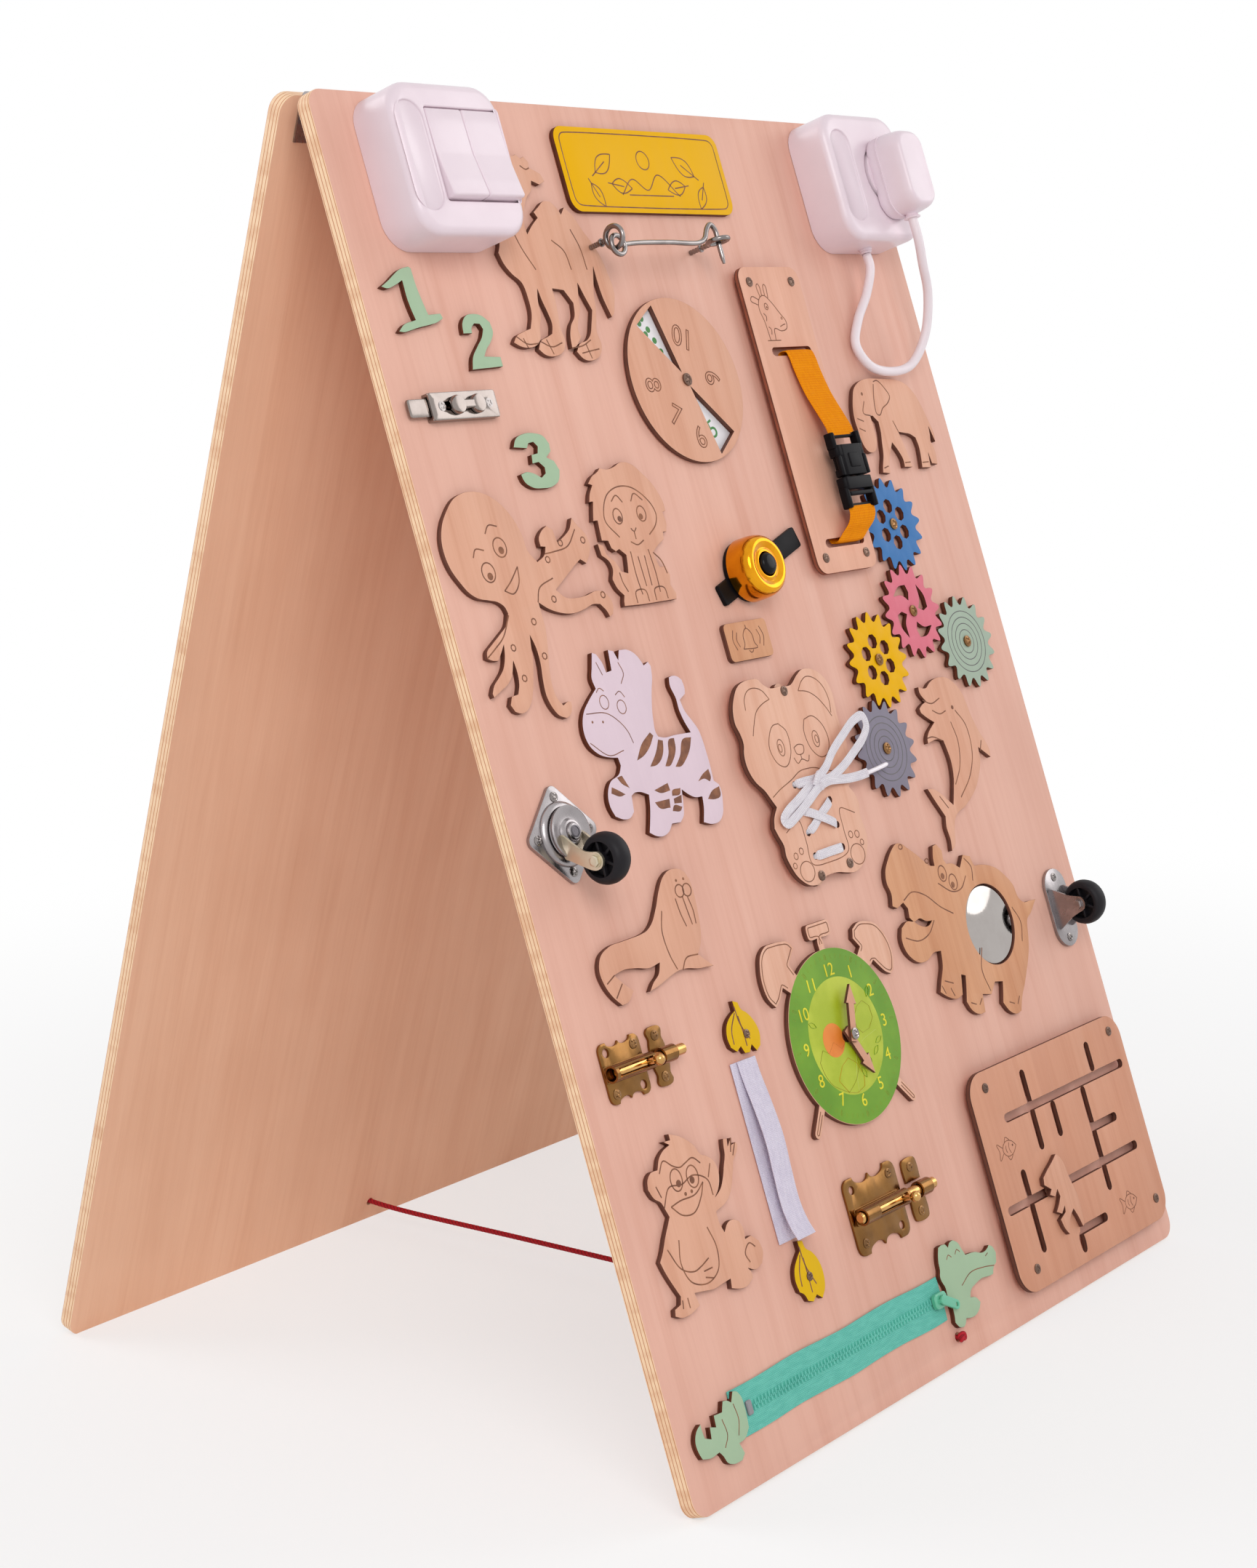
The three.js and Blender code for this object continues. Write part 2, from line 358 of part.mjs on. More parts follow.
// Route of the cord: across and down in grid shares, then the height over the panel.
const CORD_ROUTE = [
  [438, 86.2, 9.6], [438, 93, 9.6], [431, 108, 6.5], [417, 124, 4], [408, 139, 3.6], [415, 152, 5],
  [433, 157, 7.4], [452, 154, 11], [464, 138, 19], [464, 116, 29], [455, 99, 37], [452, 86, 40.6],
  [452, 74.3, 40.6],
];
const STRAP_STATIONS = [
  [340.5, 194.6, 16], [340.5, 190.5, 15.8], [340.5, 182, 14], [340.5, 168, 11.2], [340.5, 154, 9.8],
  [340.5, 146, 9.3], [340.5, 142.2, 8.2], [340.5, 141.5, 6.8], [340.5, 141.5, 3.6], [340.5, 142.2, 2.4],
  [340.5, 145.4, 1.7], [340.5, 198, 1.6], [340.5, 250.1, 1.7], [340.5, 253.3, 2.4], [340.5, 254, 3.6],
  [340.5, 254, 6.8], [340.5, 253.3, 8.4], [340.5, 250, 10.4], [340.5, 245, 14], [340.5, 240.5, 15.9],
  [340.5, 236.1, 16],
];
const STRAP_SHIFT_SHARES = [
  1, 1, 0.8, 0.4, 0.12, 0.02, 0, 0, 0, 0, 0, 0, 0, 0, 0, 0, 0, 0.4, 0.9, 1, 1,
];
const STRAP = { shift: 8 };

// Frame of the board: two groups with z out of the panel's face.
const lean = PANEL.lean_degrees * DEGREE;
const lean_sine = Math.sin(lean);
const lean_cosine = Math.cos(lean);
const half_gap = PANEL.top_gap / 2;
const face_top = PANEL.height * lean_cosine + PANEL.thickness * lean_sine - PLY.foot_cut;

// Shapes and solids.
const at = (place) => [place[0] * GRID.width, -place[1] * GRID.height];

function manifold(geometry, tolerance = FIT.merge) {
  const bare = geometry.clone();
  bare.deleteAttribute('normal');
  bare.deleteAttribute('uv');
  const merged = mergeVertices(bare, tolerance);
  const corners = Array.from(merged.index.array);
  const build = (triVerts) => {
    const mesh = new wasm.Mesh({
      numProp: 3,
      vertProperties: new Float32Array(merged.attributes.position.array),
      triVerts: new Uint32Array(triVerts),
    });
    mesh.merge();
    return new wasm.Manifold(mesh);
  };
  const body = build(corners);
  return body.volume() > 0 ? body : build(corners.reverse());
}

function geometryOf(body) {
  const data = body.getMesh();
  const geometry = new THREE.BufferGeometry();
  geometry.setAttribute('position', new THREE.BufferAttribute(new Float32Array(data.vertProperties), 3));
  geometry.setIndex(new THREE.BufferAttribute(new Uint32Array(data.triVerts), 1));
  geometry.computeVertexNormals();
  return geometry;
}

const solid = (shape) => (shape.isBufferGeometry ? manifold(shape) : shape);
const join = (...shapes) => shapes.map(solid).reduce((sum, next) => sum.add(next));
const cut = (base, ...tools) => tools.map(solid).reduce((rest, tool) => rest.subtract(tool), solid(base));

// Catmull-Rom outline through the measured points, with sharp turns kept as corners.
function curved(points) {
  const count = points.length;
  const sharp = points.map((point, index) => {
    const before = points[(index + count - 1) % count];
    const after = points[(index + 1) % count];
    const first = point.clone().sub(before).angle();
    const second = after.clone().sub(point).angle();
    const turn = Math.abs(Math.atan2(Math.sin(second - first), Math.cos(second - first)));
    return turn > CURVE.corner_degrees * DEGREE;
  });
  const outline = [];
  points.forEach((point, index) => {
    const next = points[(index + 1) % count];
    const before = sharp[index] ? point : points[(index + count - 1) % count];
    const after = sharp[(index + 1) % count] ? next : points[(index + 2) % count];
    const steps = Math.max(1, Math.round(point.distanceTo(next) / CURVE.step));
    for (let step = 0; step < steps; step += 1) {
      const share = step / steps;
      const corners = [before, point, next, after].map(({ x, y }) => new THREE.Vector3(x, y, 0));
      const bend = new THREE.CatmullRomCurve3(corners, false, 'centripetal');
      const first_share = before === point ? 0 : 1;
      const spans = 3;
      const place = before === point || after === next
        ? point.clone().lerp(next, share)
        : bend.getPoint((first_share + share) / spans);
      outline.push(new THREE.Vector2(place.x, place.y));
    }
  });
  return outline;
}

const outlineOf = (shares, placed = at) => (
  curved(shares.map((share) => new THREE.Vector2(...placed(share)))));
const shapeOf = (points) => new THREE.Shape(points);
const extrude = (shape, depth) => new THREE.ExtrudeGeometry(shape, {
  depth, bevelEnabled: false, curveSegments: 5,
});
const plate = (shares, depth = PLY.thickness, placed = at) => (
  extrude(shapeOf(outlineOf(shares, placed)), depth));

function rounded(width, height, radius, segments = 4) {
  const points = [];
  const signs = [[1, 1], [-1, 1], [-1, -1], [1, -1]];
  signs.forEach(([across, up], corner) => {
    for (let step = 0; step <= segments; step += 1) {
      const angle = (corner + step / segments) * Math.PI / 2;
      const middle_x = across * (width / 2 - radius);
      const middle_y = up * (height / 2 - radius);
      points.push(new THREE.Vector2(
        middle_x + radius * Math.cos(angle), middle_y + radius * Math.sin(angle)));
    }
  });
  return points;
}

const slab = (width, height, radius, depth, segments) => (
  extrude(shapeOf(rounded(width, height, radius, segments)), depth));
const block = (width, height, depth) => new THREE.BoxGeometry(width, height, depth)
  .translate(0, 0, depth / 2);
const disc = (radius, depth, sides = CURVE.round) => new THREE.CylinderGeometry(radius, radius, depth, sides)
  .rotateX(Math.PI / 2).translate(0, 0, depth / 2);
const ball = (radius, sides = BALL_SIDES) => new THREE.SphereGeometry(radius, sides, sides / 2);
const rodY = (radius, length, sides = BALL_SIDES) => (
  new THREE.CylinderGeometry(radius, radius, length, sides));
const rodX = (radius, length, sides = BALL_SIDES) => rodY(radius, length, sides).rotateZ(-Math.PI / 2);

// Rings of equal point counts, joined by side faces and closed by a fan at each end.
function loft(rings) {
  const count = rings[0].length;
  const positions = rings.flat().flatMap((point) => point.toArray());
  const centres = [rings[0], rings[rings.length - 1]].map((ring) => ring
    .reduce((sum, point) => sum.add(point), new THREE.Vector3()).divideScalar(count));
  centres.forEach((centre) => positions.push(...centre.toArray()));
  const first_centre = rings.length * count;
  const faces = [];
  for (let index = 0; index < count; index += 1) {
    const next = (index + 1) % count;
    for (let row = 0; row < rings.length - 1; row += 1) {
      const low = row * count;
      const high = low + count;
      faces.push(low + index, low + next, high + next, low + index, high + next, high + index);
    }
    const last = (rings.length - 1) * count;
    faces.push(first_centre, next, index, first_centre + 1, last + index, last + next);
  }
  const geometry = new THREE.BufferGeometry();
  geometry.setAttribute('position', new THREE.BufferAttribute(new Float32Array(positions), 3));
  geometry.setIndex(faces);
  return geometry;
}

const level = (points, height) => points.map((point) => new THREE.Vector3(point.x, point.y, height));

function revolve(profile, sides = CURVE.round) {
  return new THREE.LatheGeometry(profile.map(([radius, height]) => new THREE.Vector2(radius, height)), sides)
    .rotateX(Math.PI / 2);
}

// Round wire along a smooth route.
function wire(points, radius, steps, sides = CURVE.sides, closed = false) {
  const route = new THREE.CatmullRomCurve3(points, closed, 'centripetal');
  const ring = new THREE.Shape();
  ring.absarc(0, 0, radius, 0, Math.PI * 2, false);
  const section = new THREE.Shape(ring.getSpacedPoints(sides).slice(0, sides));
  return new THREE.ExtrudeGeometry(section, { steps, bevelEnabled: false, extrudePath: route });
}

// Flat band along a route, its width held along one direction.
function band(points, width, thickness, across) {
  const rings = points.map((point, index) => {
    const before = points[Math.max(0, index - 1)];
    const after = points[Math.min(points.length - 1, index + 1)];
    const along = after.clone().sub(before).normalize();
    const side = across.clone();
    const up = side.clone().cross(along).normalize();
    return [[1, 1], [-1, 1], [-1, -1], [1, -1]].map(([right, top]) => point.clone()
      .addScaledVector(side, right * width / 2).addScaledVector(up, top * thickness / 2));
  });
  return loft(rings);
}

// Flat tape lying on the board: its width is square to its own route.
function tape(points, width, thickness) {
  const normal = new THREE.Vector3(0, 0, 1);
  const rings = points.map((point, index) => {
    const before = points[Math.max(0, index - 1)];
    const after = points[Math.min(points.length - 1, index + 1)];
    const along = after.clone().sub(before).normalize();
    const side = along.clone().cross(normal).normalize();
    return [[1, -1], [1, 1], [-1, 1], [-1, -1]].map(([right, top]) => point.clone()
      .addScaledVector(side, right * width / 2).addScaledVector(normal, top * thickness / 2));
  });
  return loft(rings);
}

// Nodes.
const group = new THREE.Group();
const stand = new THREE.Group();
group.add(stand);
const front = new THREE.Group();
front.position.set(-PANEL.width / 2, -half_gap - PANEL.thickness * lean_cosine, face_top);
front.rotation.x = Math.PI / 2 - lean;
stand.add(front);
const rear = new THREE.Group();
rear.position.set(-PANEL.width / 2, half_gap + PANEL.thickness * lean_cosine, face_top);
rear.rotation.x = lean - Math.PI / 2;
stand.add(rear);
const hinge_axis = new THREE.Group();
hinge_axis.position.set(0, 0, PANEL.height * lean_cosine - PLY.foot_cut - HINGE.depth);
stand.add(hinge_axis);

function paint(color, roughness, metalness = 0) {
  return new THREE.MeshStandardMaterial({ color, roughness, metalness });
}

function node(name, shape, material, place = [0, 0], height = 0, parent = front) {
  const body = solid(shape);
  const mesh = new THREE.Mesh(geometryOf(body), material);
  mesh.name = name;
  mesh.position.set(place[0], place[1], height);
  parent.add(mesh);
  return mesh;
}

const shift = (geometry, place, height = 0) => geometry.translate(place[0], place[1], height);
const spot = (name) => at(PLACE_SHARES[name]);
// Places within a piece keep the piece's own scale about its middle.
const near = (name) => (share) => [
  spot(name)[0] + (share[0] - PLACE_SHARES[name][0]) * FITTED * SQUARE.width,
  spot(name)[1] - (share[1] - PLACE_SHARES[name][1]) * FITTED * SQUARE.height,
];
const offset = (from, to) => [to[0] - from[0], to[1] - from[1]];
const birch = () => paint('#dcb49c', 0.62);
const burnt = () => paint('#d9a98c', 0.62);
const zinc = () => paint('#b9b7bb', 0.34, 1);
const gold = () => paint('#c99a4b', 0.32, 1);
const white = () => paint('#ddd3dd', 0.42);

// Panels: rounded boards whose lowest edges are cut level with the floor.
const board_shape = () => shapeOf(rounded(PANEL.width, PANEL.height, PANEL.corner)
  .map((point) => new THREE.Vector2(point.x + PANEL.width / 2, point.y - PANEL.height / 2)));
const string_place = spot('string');
const string_hole = () => shift(
  disc(STRING.hole, PANEL.thickness + 2 * FIT.overrun, BALL_SIDES),
  string_place, -PANEL.thickness - FIT.overrun,
);

function footCut(down) {
  // The floor plane, seen in the panel's own frame, is turned by the lean about the lowest inner edge.
  const tool = new THREE.BoxGeometry(PANEL.width + 2 * FIT.overrun, PLY.cutter, PLY.cutter);
  tool.translate(PANEL.width / 2, 0, -PLY.cutter / 2);
  tool.rotateX(down * (lean - Math.PI / 2));
  tool.translate(0, -down * (PANEL.height - PLY.foot_cut * lean_cosine),
    PLY.foot_cut * lean_sine - PANEL.thickness);
  return tool;
}

const pink_place = spot('pink_gear');
const toward = (from, degrees) => [
  from[0] + 2 * GEAR.pitch * Math.cos(degrees * DEGREE),
  from[1] + 2 * GEAR.pitch * Math.sin(degrees * DEGREE),
];
const GEAR_TURN_DEGREES = { blue: 85, yellow: 207, green: -27, grey: 252.3 };
const blue_place = toward(pink_place, GEAR_TURN_DEGREES.blue);
const yellow_place = toward(pink_place, GEAR_TURN_DEGREES.yellow);
const green_place = toward(pink_place, GEAR_TURN_DEGREES.green);
const grey_place = toward(yellow_place, GEAR_TURN_DEGREES.grey);
const peg_top = SPINNER.level + PLY.thickness + SPINNER.clearance;
const raised = (shape) => shape.translate(0, 0, -FIT.sink);
const raised_depth = PLY.thickness + FIT.sink;
const pegAt = (place) => [
  shift(disc(SPINNER.peg, peg_top + FIT.sink, BALL_SIDES), place, -FIT.sink),
  shift(disc(SPINNER.peg_head, SPINNER.head_height, BALL_SIDES), place, peg_top),
];
const small_axis = FIT.glue + BOLT.plate_depth + BOLT.wall + BOLT.clearance + BOLT.small_rod;
const big_axis = FIT.glue + BOLT.plate_depth + BOLT.wall + BOLT.clearance + BOLT.big_rod;

// Staple that a sliding rod enters: a plate with a raised, bored bridge.
function keeper(width, height, rod, axis, plate_depth) {
  const outer = rod + BOLT.clearance + BOLT.wall;
  const base = slab(width, height, BOLT.small_rod, plate_depth, 3);
  const bridge = rodX(outer, width, 16).translate(0, 0, axis);
  const foot = block(width, 2 * outer, axis - BOLT.clearance);
  const bore = rodX(rod + BOLT.clearance, width + 2 * FIT.overrun, 16).translate(0, 0, axis);
  return cut(join(base, bridge, foot), bore);
}

const small_keeper = keeper(
  BOLT.small_keeper_width, BOLT.small_keeper_height, BOLT.small_rod,
  small_axis + FIT.sink, BOLT.plate_depth + FIT.sink,
).translate(spot('small_keeper')[0], spot('small_plate')[1], -FIT.sink);
const plaque = raised(slab(PLAQUE.width, PLAQUE.height, PLAQUE.corner, raised_depth, 3));
const front_body = join(
  cut(extrude(board_shape(), PANEL.thickness).translate(0, 0, -PANEL.thickness), string_hole(), footCut(1)),
  ...[ONE_SHARES, TWO_SHARES, THREE_SHARES, UPPER_BANANA_SHARES, LOWER_BANANA_SHARES, CROC_HEAD_SHARES,
    CROC_TAIL_SHARES].map((shares) => raised(plate(shares, raised_depth))),
  shift(plaque, spot('plaque')),
  small_keeper,
  ...[spot('spinner'), blue_place, pink_place, yellow_place, green_place, grey_place].flatMap(pegAt),
);
node('front_panel', front_body, birch());

const rear_outline = board_shape().getPoints().map(({ x, y }) => new THREE.Vector2(x, -y)).reverse();
const rear_board = extrude(shapeOf(rear_outline), PANEL.thickness).translate(0, 0, -PANEL.thickness);
const rear_hole = shift(disc(STRING.hole, PANEL.thickness + 2 * FIT.overrun, BALL_SIDES),
  [string_place[0], -string_place[1]], -PANEL.thickness - FIT.overrun);
node('rear_panel', cut(rear_board, rear_hole, footCut(-1)), paint('#c99873', 0.66), [0, 0], 0, rear);

// Piano hinge: each leaf carries its own knuckles, the rear one the pin too.
const hinge_length = PANEL.width - 2 * HINGE.margin;
const knuckle_pitch = hinge_length / HINGE.knuckles;
const knuckle_centres = Array.from({ length: HINGE.knuckles }, (unused, index) => (
  (index + 1 / 2) * knuckle_pitch - hinge_length / 2));
const leaf_offset = half_gap * lean_cosine + HINGE.depth * lean_sine - FIT.glue - HINGE.leaf / 2;

function leafBody(side, odd) {
  const reach = HINGE.leaf_height - HINGE.knuckle - FIT.running;
  const leaf = new THREE.BoxGeometry(hinge_length, HINGE.leaf, reach)
    .translate(0, side * leaf_offset, -HINGE.knuckle - FIT.running - reach / 2);
  const parts = [leaf];
  knuckle_centres.filter((unused, index) => index % 2 === odd).forEach((centre) => {
    const width = knuckle_pitch - HINGE.space;
    parts.push(rodX(HINGE.knuckle, width, BALL_SIDES).translate(centre, 0, 0));
    parts.push(new THREE.BoxGeometry(width, HINGE.leaf, HINGE.tab + HINGE.knuckle)
      .translate(centre, side * leaf_offset, -(HINGE.tab + HINGE.knuckle) / 2));
  });
  return join(...parts);
}

const bore = rodX(HINGE.bore, hinge_length + 2 * FIT.overrun, BALL_SIDES);
const front_leaf = node('hinge_front_leaf', cut(leafBody(-1, 0), bore), zinc(), [0, 0], 0, hinge_axis);
front_leaf.rotation.x = -lean;
const rear_leaf = node(
  'hinge_rear_leaf', join(leafBody(1, 1), rodX(HINGE.pin, hinge_length)), zinc(), [0, 0], 0, hinge_axis);
rear_leaf.rotation.x = lean;

// Limit string between the panels, knotted outside both.
const string_drop = -string_place[1];
const outside = (side, out) => new THREE.Vector3(
  0,
  side * (half_gap + string_drop * lean_sine + (PANEL.thickness + out) * lean_cosine),
  -string_drop * lean_cosine + (PANEL.thickness + out) * lean_sine,
);
const string_ends = [outside(-1, STRING.knot), outside(1, STRING.knot)];
const string_bend = -PANEL.thickness - STRING.bend;
const string_inner = [outside(-1, string_bend), outside(1, string_bend)];
const string_middle = string_inner[0].clone().lerp(string_inner[1], 1 / 2);
string_middle.z -= STRING.sag;
const string_path = [string_ends[0], string_inner[0], string_middle, string_inner[1], string_ends[1]];
const string_body = join(
  wire(string_path, STRING.radius, STRING.steps, 6),
  ball(STRING.knot).translate(...string_ends[0].toArray()),
  ball(STRING.knot).translate(...string_ends[1].toArray()),
);
const string_mesh = node('limit_string', string_body, paint('#b0101e', 0.8), [0, 0], 0, stand);
string_mesh.position.set(string_place[0] - PANEL.width / 2, 0, PANEL.height * lean_cosine - PLY.foot_cut);

// Switch and socket boxes: rounded housings with a sunk capsule and a well.
function boxBody() {
  const inner = BOX.edge * (1 - Math.SQRT1_2);
  const rings = [[0, 0], [BOX.depth - BOX.edge, 0], [BOX.depth - inner, inner], [BOX.depth, BOX.edge]];
  return loft(rings.map(([height, inset]) => level(
    rounded(BOX.width - 2 * inset, BOX.height - 2 * inset, BOX.corner - inset, 5), height)));
}

const capsule = (place) => shift(slab(BOX.capsule_width, BOX.capsule_height, BOX.capsule_width / 2,
  BOX.recess + FIT.overrun), place, BOX.depth - BOX.recess);
const switch_place = spot('switch_box');
const well_place = offset(switch_place, spot('switch_well'));
const switch_well = shift(
  slab(ROCKER.well_width, ROCKER.well_height, ROCKER.corner, ROCKER.well_depth + FIT.overrun, 3),
  well_place, BOX.depth - ROCKER.well_depth,
);
const switch_body = cut(boxBody(), capsule(offset(switch_place, spot('switch_capsule'))), switch_well);
node('switch_housing', switch_body, white(), switch_place, FIT.glue);

const rocker_width = (ROCKER.well_width - 3 * ROCKER.gap) / 2;
const rocker_height = ROCKER.well_height - 4 * ROCKER.gap;
const rocker_level = FIT.glue + BOX.depth - ROCKER.well_depth + ROCKER.floor + ROCKER.thickness / 2;
const rocker_front = BOX.depth + FIT.glue + ROCKER.rise - rocker_level;

function rockerBody() {
  const side = rocker_height / 2;
  const low = -ROCKER.thickness / 2;
  const profile = new THREE.Shape();
  const dip = ROCKER.rise * Math.SQRT1_2;
  profile.moveTo(-side, low);
  profile.lineTo(side, low);
  profile.lineTo(side, rocker_front);
  profile.lineTo(0, rocker_front - dip);
  profile.lineTo(-side, rocker_front);
  return extrude(profile, rocker_width).rotateX(Math.PI / 2).rotateZ(Math.PI / 2)
    .translate(-rocker_width / 2, 0, 0);
}

['left_rocker', 'right_rocker'].forEach((name, index) => {
  const side = index === 0 ? -1 : 1;
  const place = [switch_place[0] + well_place[0] + side * (rocker_width + ROCKER.gap) / 2,
    switch_place[1] + well_place[1]];
  const rocker = node(name, rockerBody(), white(), place, rocker_level);
  rocker.rotation.x = -ROCKER.tilt_degrees * DEGREE;
});

const socket_place = spot('socket_box');
const socket_centre = offset(socket_place, spot('socket_well'));
const pin_level = BOX.depth - SOCKET.depth;
const pin_places = [-1, 1].map((side) => [socket_centre[0] + side * SOCKET.pin_spread, socket_centre[1]]);
const round_well = shift(disc(SOCKET.radius, SOCKET.depth + FIT.overrun), socket_centre, pin_level);
const pin_wells = pin_places.map((place) => shift(disc(SOCKET.pin + SOCKET.clearance,
  SOCKET.pin_length + 2 * SOCKET.clearance + FIT.overrun, BALL_SIDES), place,
  pin_level - SOCKET.pin_length - 2 * SOCKET.clearance));
const gland = rodY(CORD.gland, CORD.gland_length + FIT.sink);
const gland_place = offset(socket_place, at([CORD_ROUTE[0][0], 0]));
gland.translate(gland_place[0], -BOX.height / 2 - CORD.gland_length / 2 + FIT.sink / 2, CORD_ROUTE[0][2]);
node('socket_housing', join(cut(boxBody(), capsule(offset(socket_place, spot('socket_capsule'))), round_well,
  ...pin_wells), gland), white(), socket_place, FIT.glue);

// Plug: round foot in the socket, two pins, and a long rounded grip.
const plug_place = spot('socket_well');
const plug_level = FIT.glue + pin_level + SOCKET.fit;
const body_level = BOX.depth + FIT.glue + PLUG.clearance - plug_level;
const GRIP_SHARES = { straight: 0.6, eased: 0.88 };
const grip_outline = rounded(PLUG.body_width, PLUG.body_height, PLUG.corner, 4);
const grip = loft([
  level(grip_outline, body_level),
  level(grip_outline, body_level + PLUG.body_depth * GRIP_SHARES.straight),
  level(rounded(PLUG.body_width - PLUG.ring, PLUG.body_height - PLUG.ring, PLUG.corner - PLUG.ring / 2, 4),
    body_level + PLUG.body_depth * GRIP_SHARES.eased),
  level(rounded(PLUG.top_width, PLUG.top_height, PLUG.corner - PLUG.ring, 4), body_level + PLUG.body_depth),
]).translate(0, -PLUG.drop, 0);
const plug_pins = [-1, 1].map((side) => disc(SOCKET.pin, SOCKET.pin_length + FIT.sink, BALL_SIDES)
  .translate(side * SOCKET.pin_spread, 0, -SOCKET.pin_length));
const plug_body = join(disc(PLUG.flange, body_level + FIT.sink), grip, ...plug_pins);
node('plug', plug_body, white(), plug_place, plug_level);

const plug_foot = [
  at(CORD_ROUTE[CORD_ROUTE.length - 1])[0], plug_place[1] - PLUG.drop - PLUG.body_height / 2,
];
const cord_points = CORD_ROUTE.map((point) => new THREE.Vector3(...at(point), point[2]));
cord_points[0].y = socket_place[1] - BOX.height / 2 - CORD.gland_length - CORD.gap;
cord_points[cord_points.length - 1].y = plug_foot[1] - CORD.gap;
node('plug_cord', wire(cord_points, CORD.radius, CORD.steps, 8), white());

// Painted sign.
const sign_body = slab(SIGN.width, SIGN.height, SIGN.corner, PLY.thickness);
node('sign_board', sign_body, paint('#e2a722', 0.55), spot('sign'), FIT.glue);

// Hook and two screw eyes.
const torus = (radius) => new THREE.TorusGeometry(radius, HOOK.wire, HOOK.tube, HOOK.round);
const eye_stem = (seat) => disc(HOOK.wire, HOOK.level - HOOK.ring - seat, BALL_SIDES);
const plate_top = FIT.glue + PLY.thickness;
const left_seat = plate_top + FIT.glue;
const left_ring = torus(HOOK.ring).rotateY(Math.PI / 2).translate(0, 0, HOOK.level - left_seat);
const wire_steel = () => paint('#77767a', 0.3, 1);
node('left_hook_eye', join(left_ring, eye_stem(left_seat)), wire_steel(), spot('left_eye'), left_seat);
const right_ring = torus(HOOK.ring).rotateX(Math.PI / 2).translate(0, 0, HOOK.level - FIT.glue);
node('right_hook_eye', join(right_ring, eye_stem(FIT.glue)), wire_steel(), spot('right_eye'), FIT.glue);
const hook_place = [spot('left_eye')[0], spot('left_eye')[1] - HOOK.ring];
const reach = spot('right_eye')[0] - hook_place[0];
const HOOK_BAR_SHARES = [
  [0.07, 0.02], [0.2, 0.03], [0.5, 0.035], [0.8, 0.035], [0.87, 0.06], [0.92, 0.125], [0.965, 0.155],
  [1, 0.12], [1, 0.03], [1, -0.1],
];
const hook_bar = wire(HOOK_BAR_SHARES.map(([along, up]) => new THREE.Vector3(along * reach, up * reach, 0)),
  HOOK.wire, HOOK.steps, HOOK.tube);
const hook_loop = torus(HOOK.loop).translate(HOOK.wire, HOOK.offset, 0);
node('hook', join(hook_loop, hook_bar), paint('#77767a', 0.3, 1), hook_place, HOOK.level);

// Spinner with two windows.
const spinner_place = spot('spinner');
const spinner_shape = shapeOf(Array.from({ length: 2 * CURVE.round }, (unused, index) => new THREE.Vector2(
  SPINNER.radius, 0).rotateAround(new THREE.Vector2(), index * Math.PI / CURVE.round)));
const window_paths = SPINNER_WINDOW_SHARES.map((corners) => new THREE.Path(corners.map(([across, up]) => (
  new THREE.Vector2(across * SPINNER.radius, up * SPINNER.radius)))));
const ring_path = (radius, sides, middle = [0, 0]) => {
  const corners = Array.from({ length: sides }, (unused, index) => {
    const angle = index * 2 * Math.PI / sides;
    return new THREE.Vector2(middle[0] + radius * Math.cos(angle), middle[1] + radius * Math.sin(angle));
  });
  return new THREE.Path(corners);
};
spinner_shape.holes.push(...window_paths, ring_path(SPINNER.hole, BALL_SIDES));
node('spinner_disc', extrude(spinner_shape, PLY.thickness), burnt(), spinner_place, SPINNER.level);

// Strap board on four spacers, with the webbing through its two slots.
const board_place = spot('strap_board');
const strapAt = near('strap_board');
const strap_spacers = [[-1, -1], [1, -1], [-1, 1], [1, 1]].map(([across, up]) => disc(PLY.spacer_radius,
  PLY.spacer + FIT.sink, BALL_SIDES).translate(across * (STRAP_BOARD.width / 2 - STRAP_BOARD.inset),
  up * (STRAP_BOARD.height / 2 - STRAP_BOARD.inset), 0));
const SLOT_SHARES = [[336, 141.5], [336, 254]];
const strapSlot = (share) => shift(
  slab(STRAP_BOARD.slot_width, STRAP_BOARD.slot_height, END_ROUND_SHARE * STRAP_BOARD.slot_height / 2,
    PLY.thickness + 2 * FIT.overrun, 3),
  offset(board_place, strapAt(share)), PLY.spacer - FIT.overrun,
);
const strap_slots = SLOT_SHARES.map(strapSlot);
node('strap_board', cut(join(slab(STRAP_BOARD.width, STRAP_BOARD.height, STRAP_BOARD.corner, PLY.thickness)
  .translate(0, 0, PLY.spacer), ...strap_spacers), ...strap_slots), burnt(), board_place, FIT.glue);

const strap_points = STRAP_STATIONS.map((point, index) => new THREE.Vector3(
  strapAt(point)[0] + STRAP.shift * STRAP_SHIFT_SHARES[index], strapAt(point)[1], point[2]));
node('buckle_strap', band(strap_points, WEBBING.width, WEBBING.thickness, new THREE.Vector3(1, 0, 0)),
  paint('#e8801c', 0.8));

// Side release buckle: a hollow socket half and a tongue half with two prongs.
const BUCKLE_SHARES = { socket: [348.5, 206], tongue: [348.5, 228.5] };
const socket_half = slab(BUCKLE.width, BUCKLE.socket_length, BUCKLE.corner, BUCKLE.depth, 3)
  .translate(0, 0, -BUCKLE.depth / 2);
const hollow_wall = 2 * BUCKLE.wall;
const hollow = block(BUCKLE.width - 2 * hollow_wall, BUCKLE.socket_length - 2 * hollow_wall + FIT.overrun,
  BUCKLE.prong_depth + 2 * BUCKLE.clearance)
  .translate(0, -hollow_wall - FIT.overrun / 2, -BUCKLE.prong_depth / 2 - BUCKLE.clearance);
const buckle_window = slab(BUCKLE.window_width, BUCKLE.window_height, BUCKLE.wall, BUCKLE.depth, 3)
  .translate(0, 0, BUCKLE.prong_depth / 2);
const strapSlit = () => block(WEBBING.width + BUCKLE.slit_clearance, BUCKLE.slit_depth,
  WEBBING.thickness + 2 * BUCKLE.clearance);
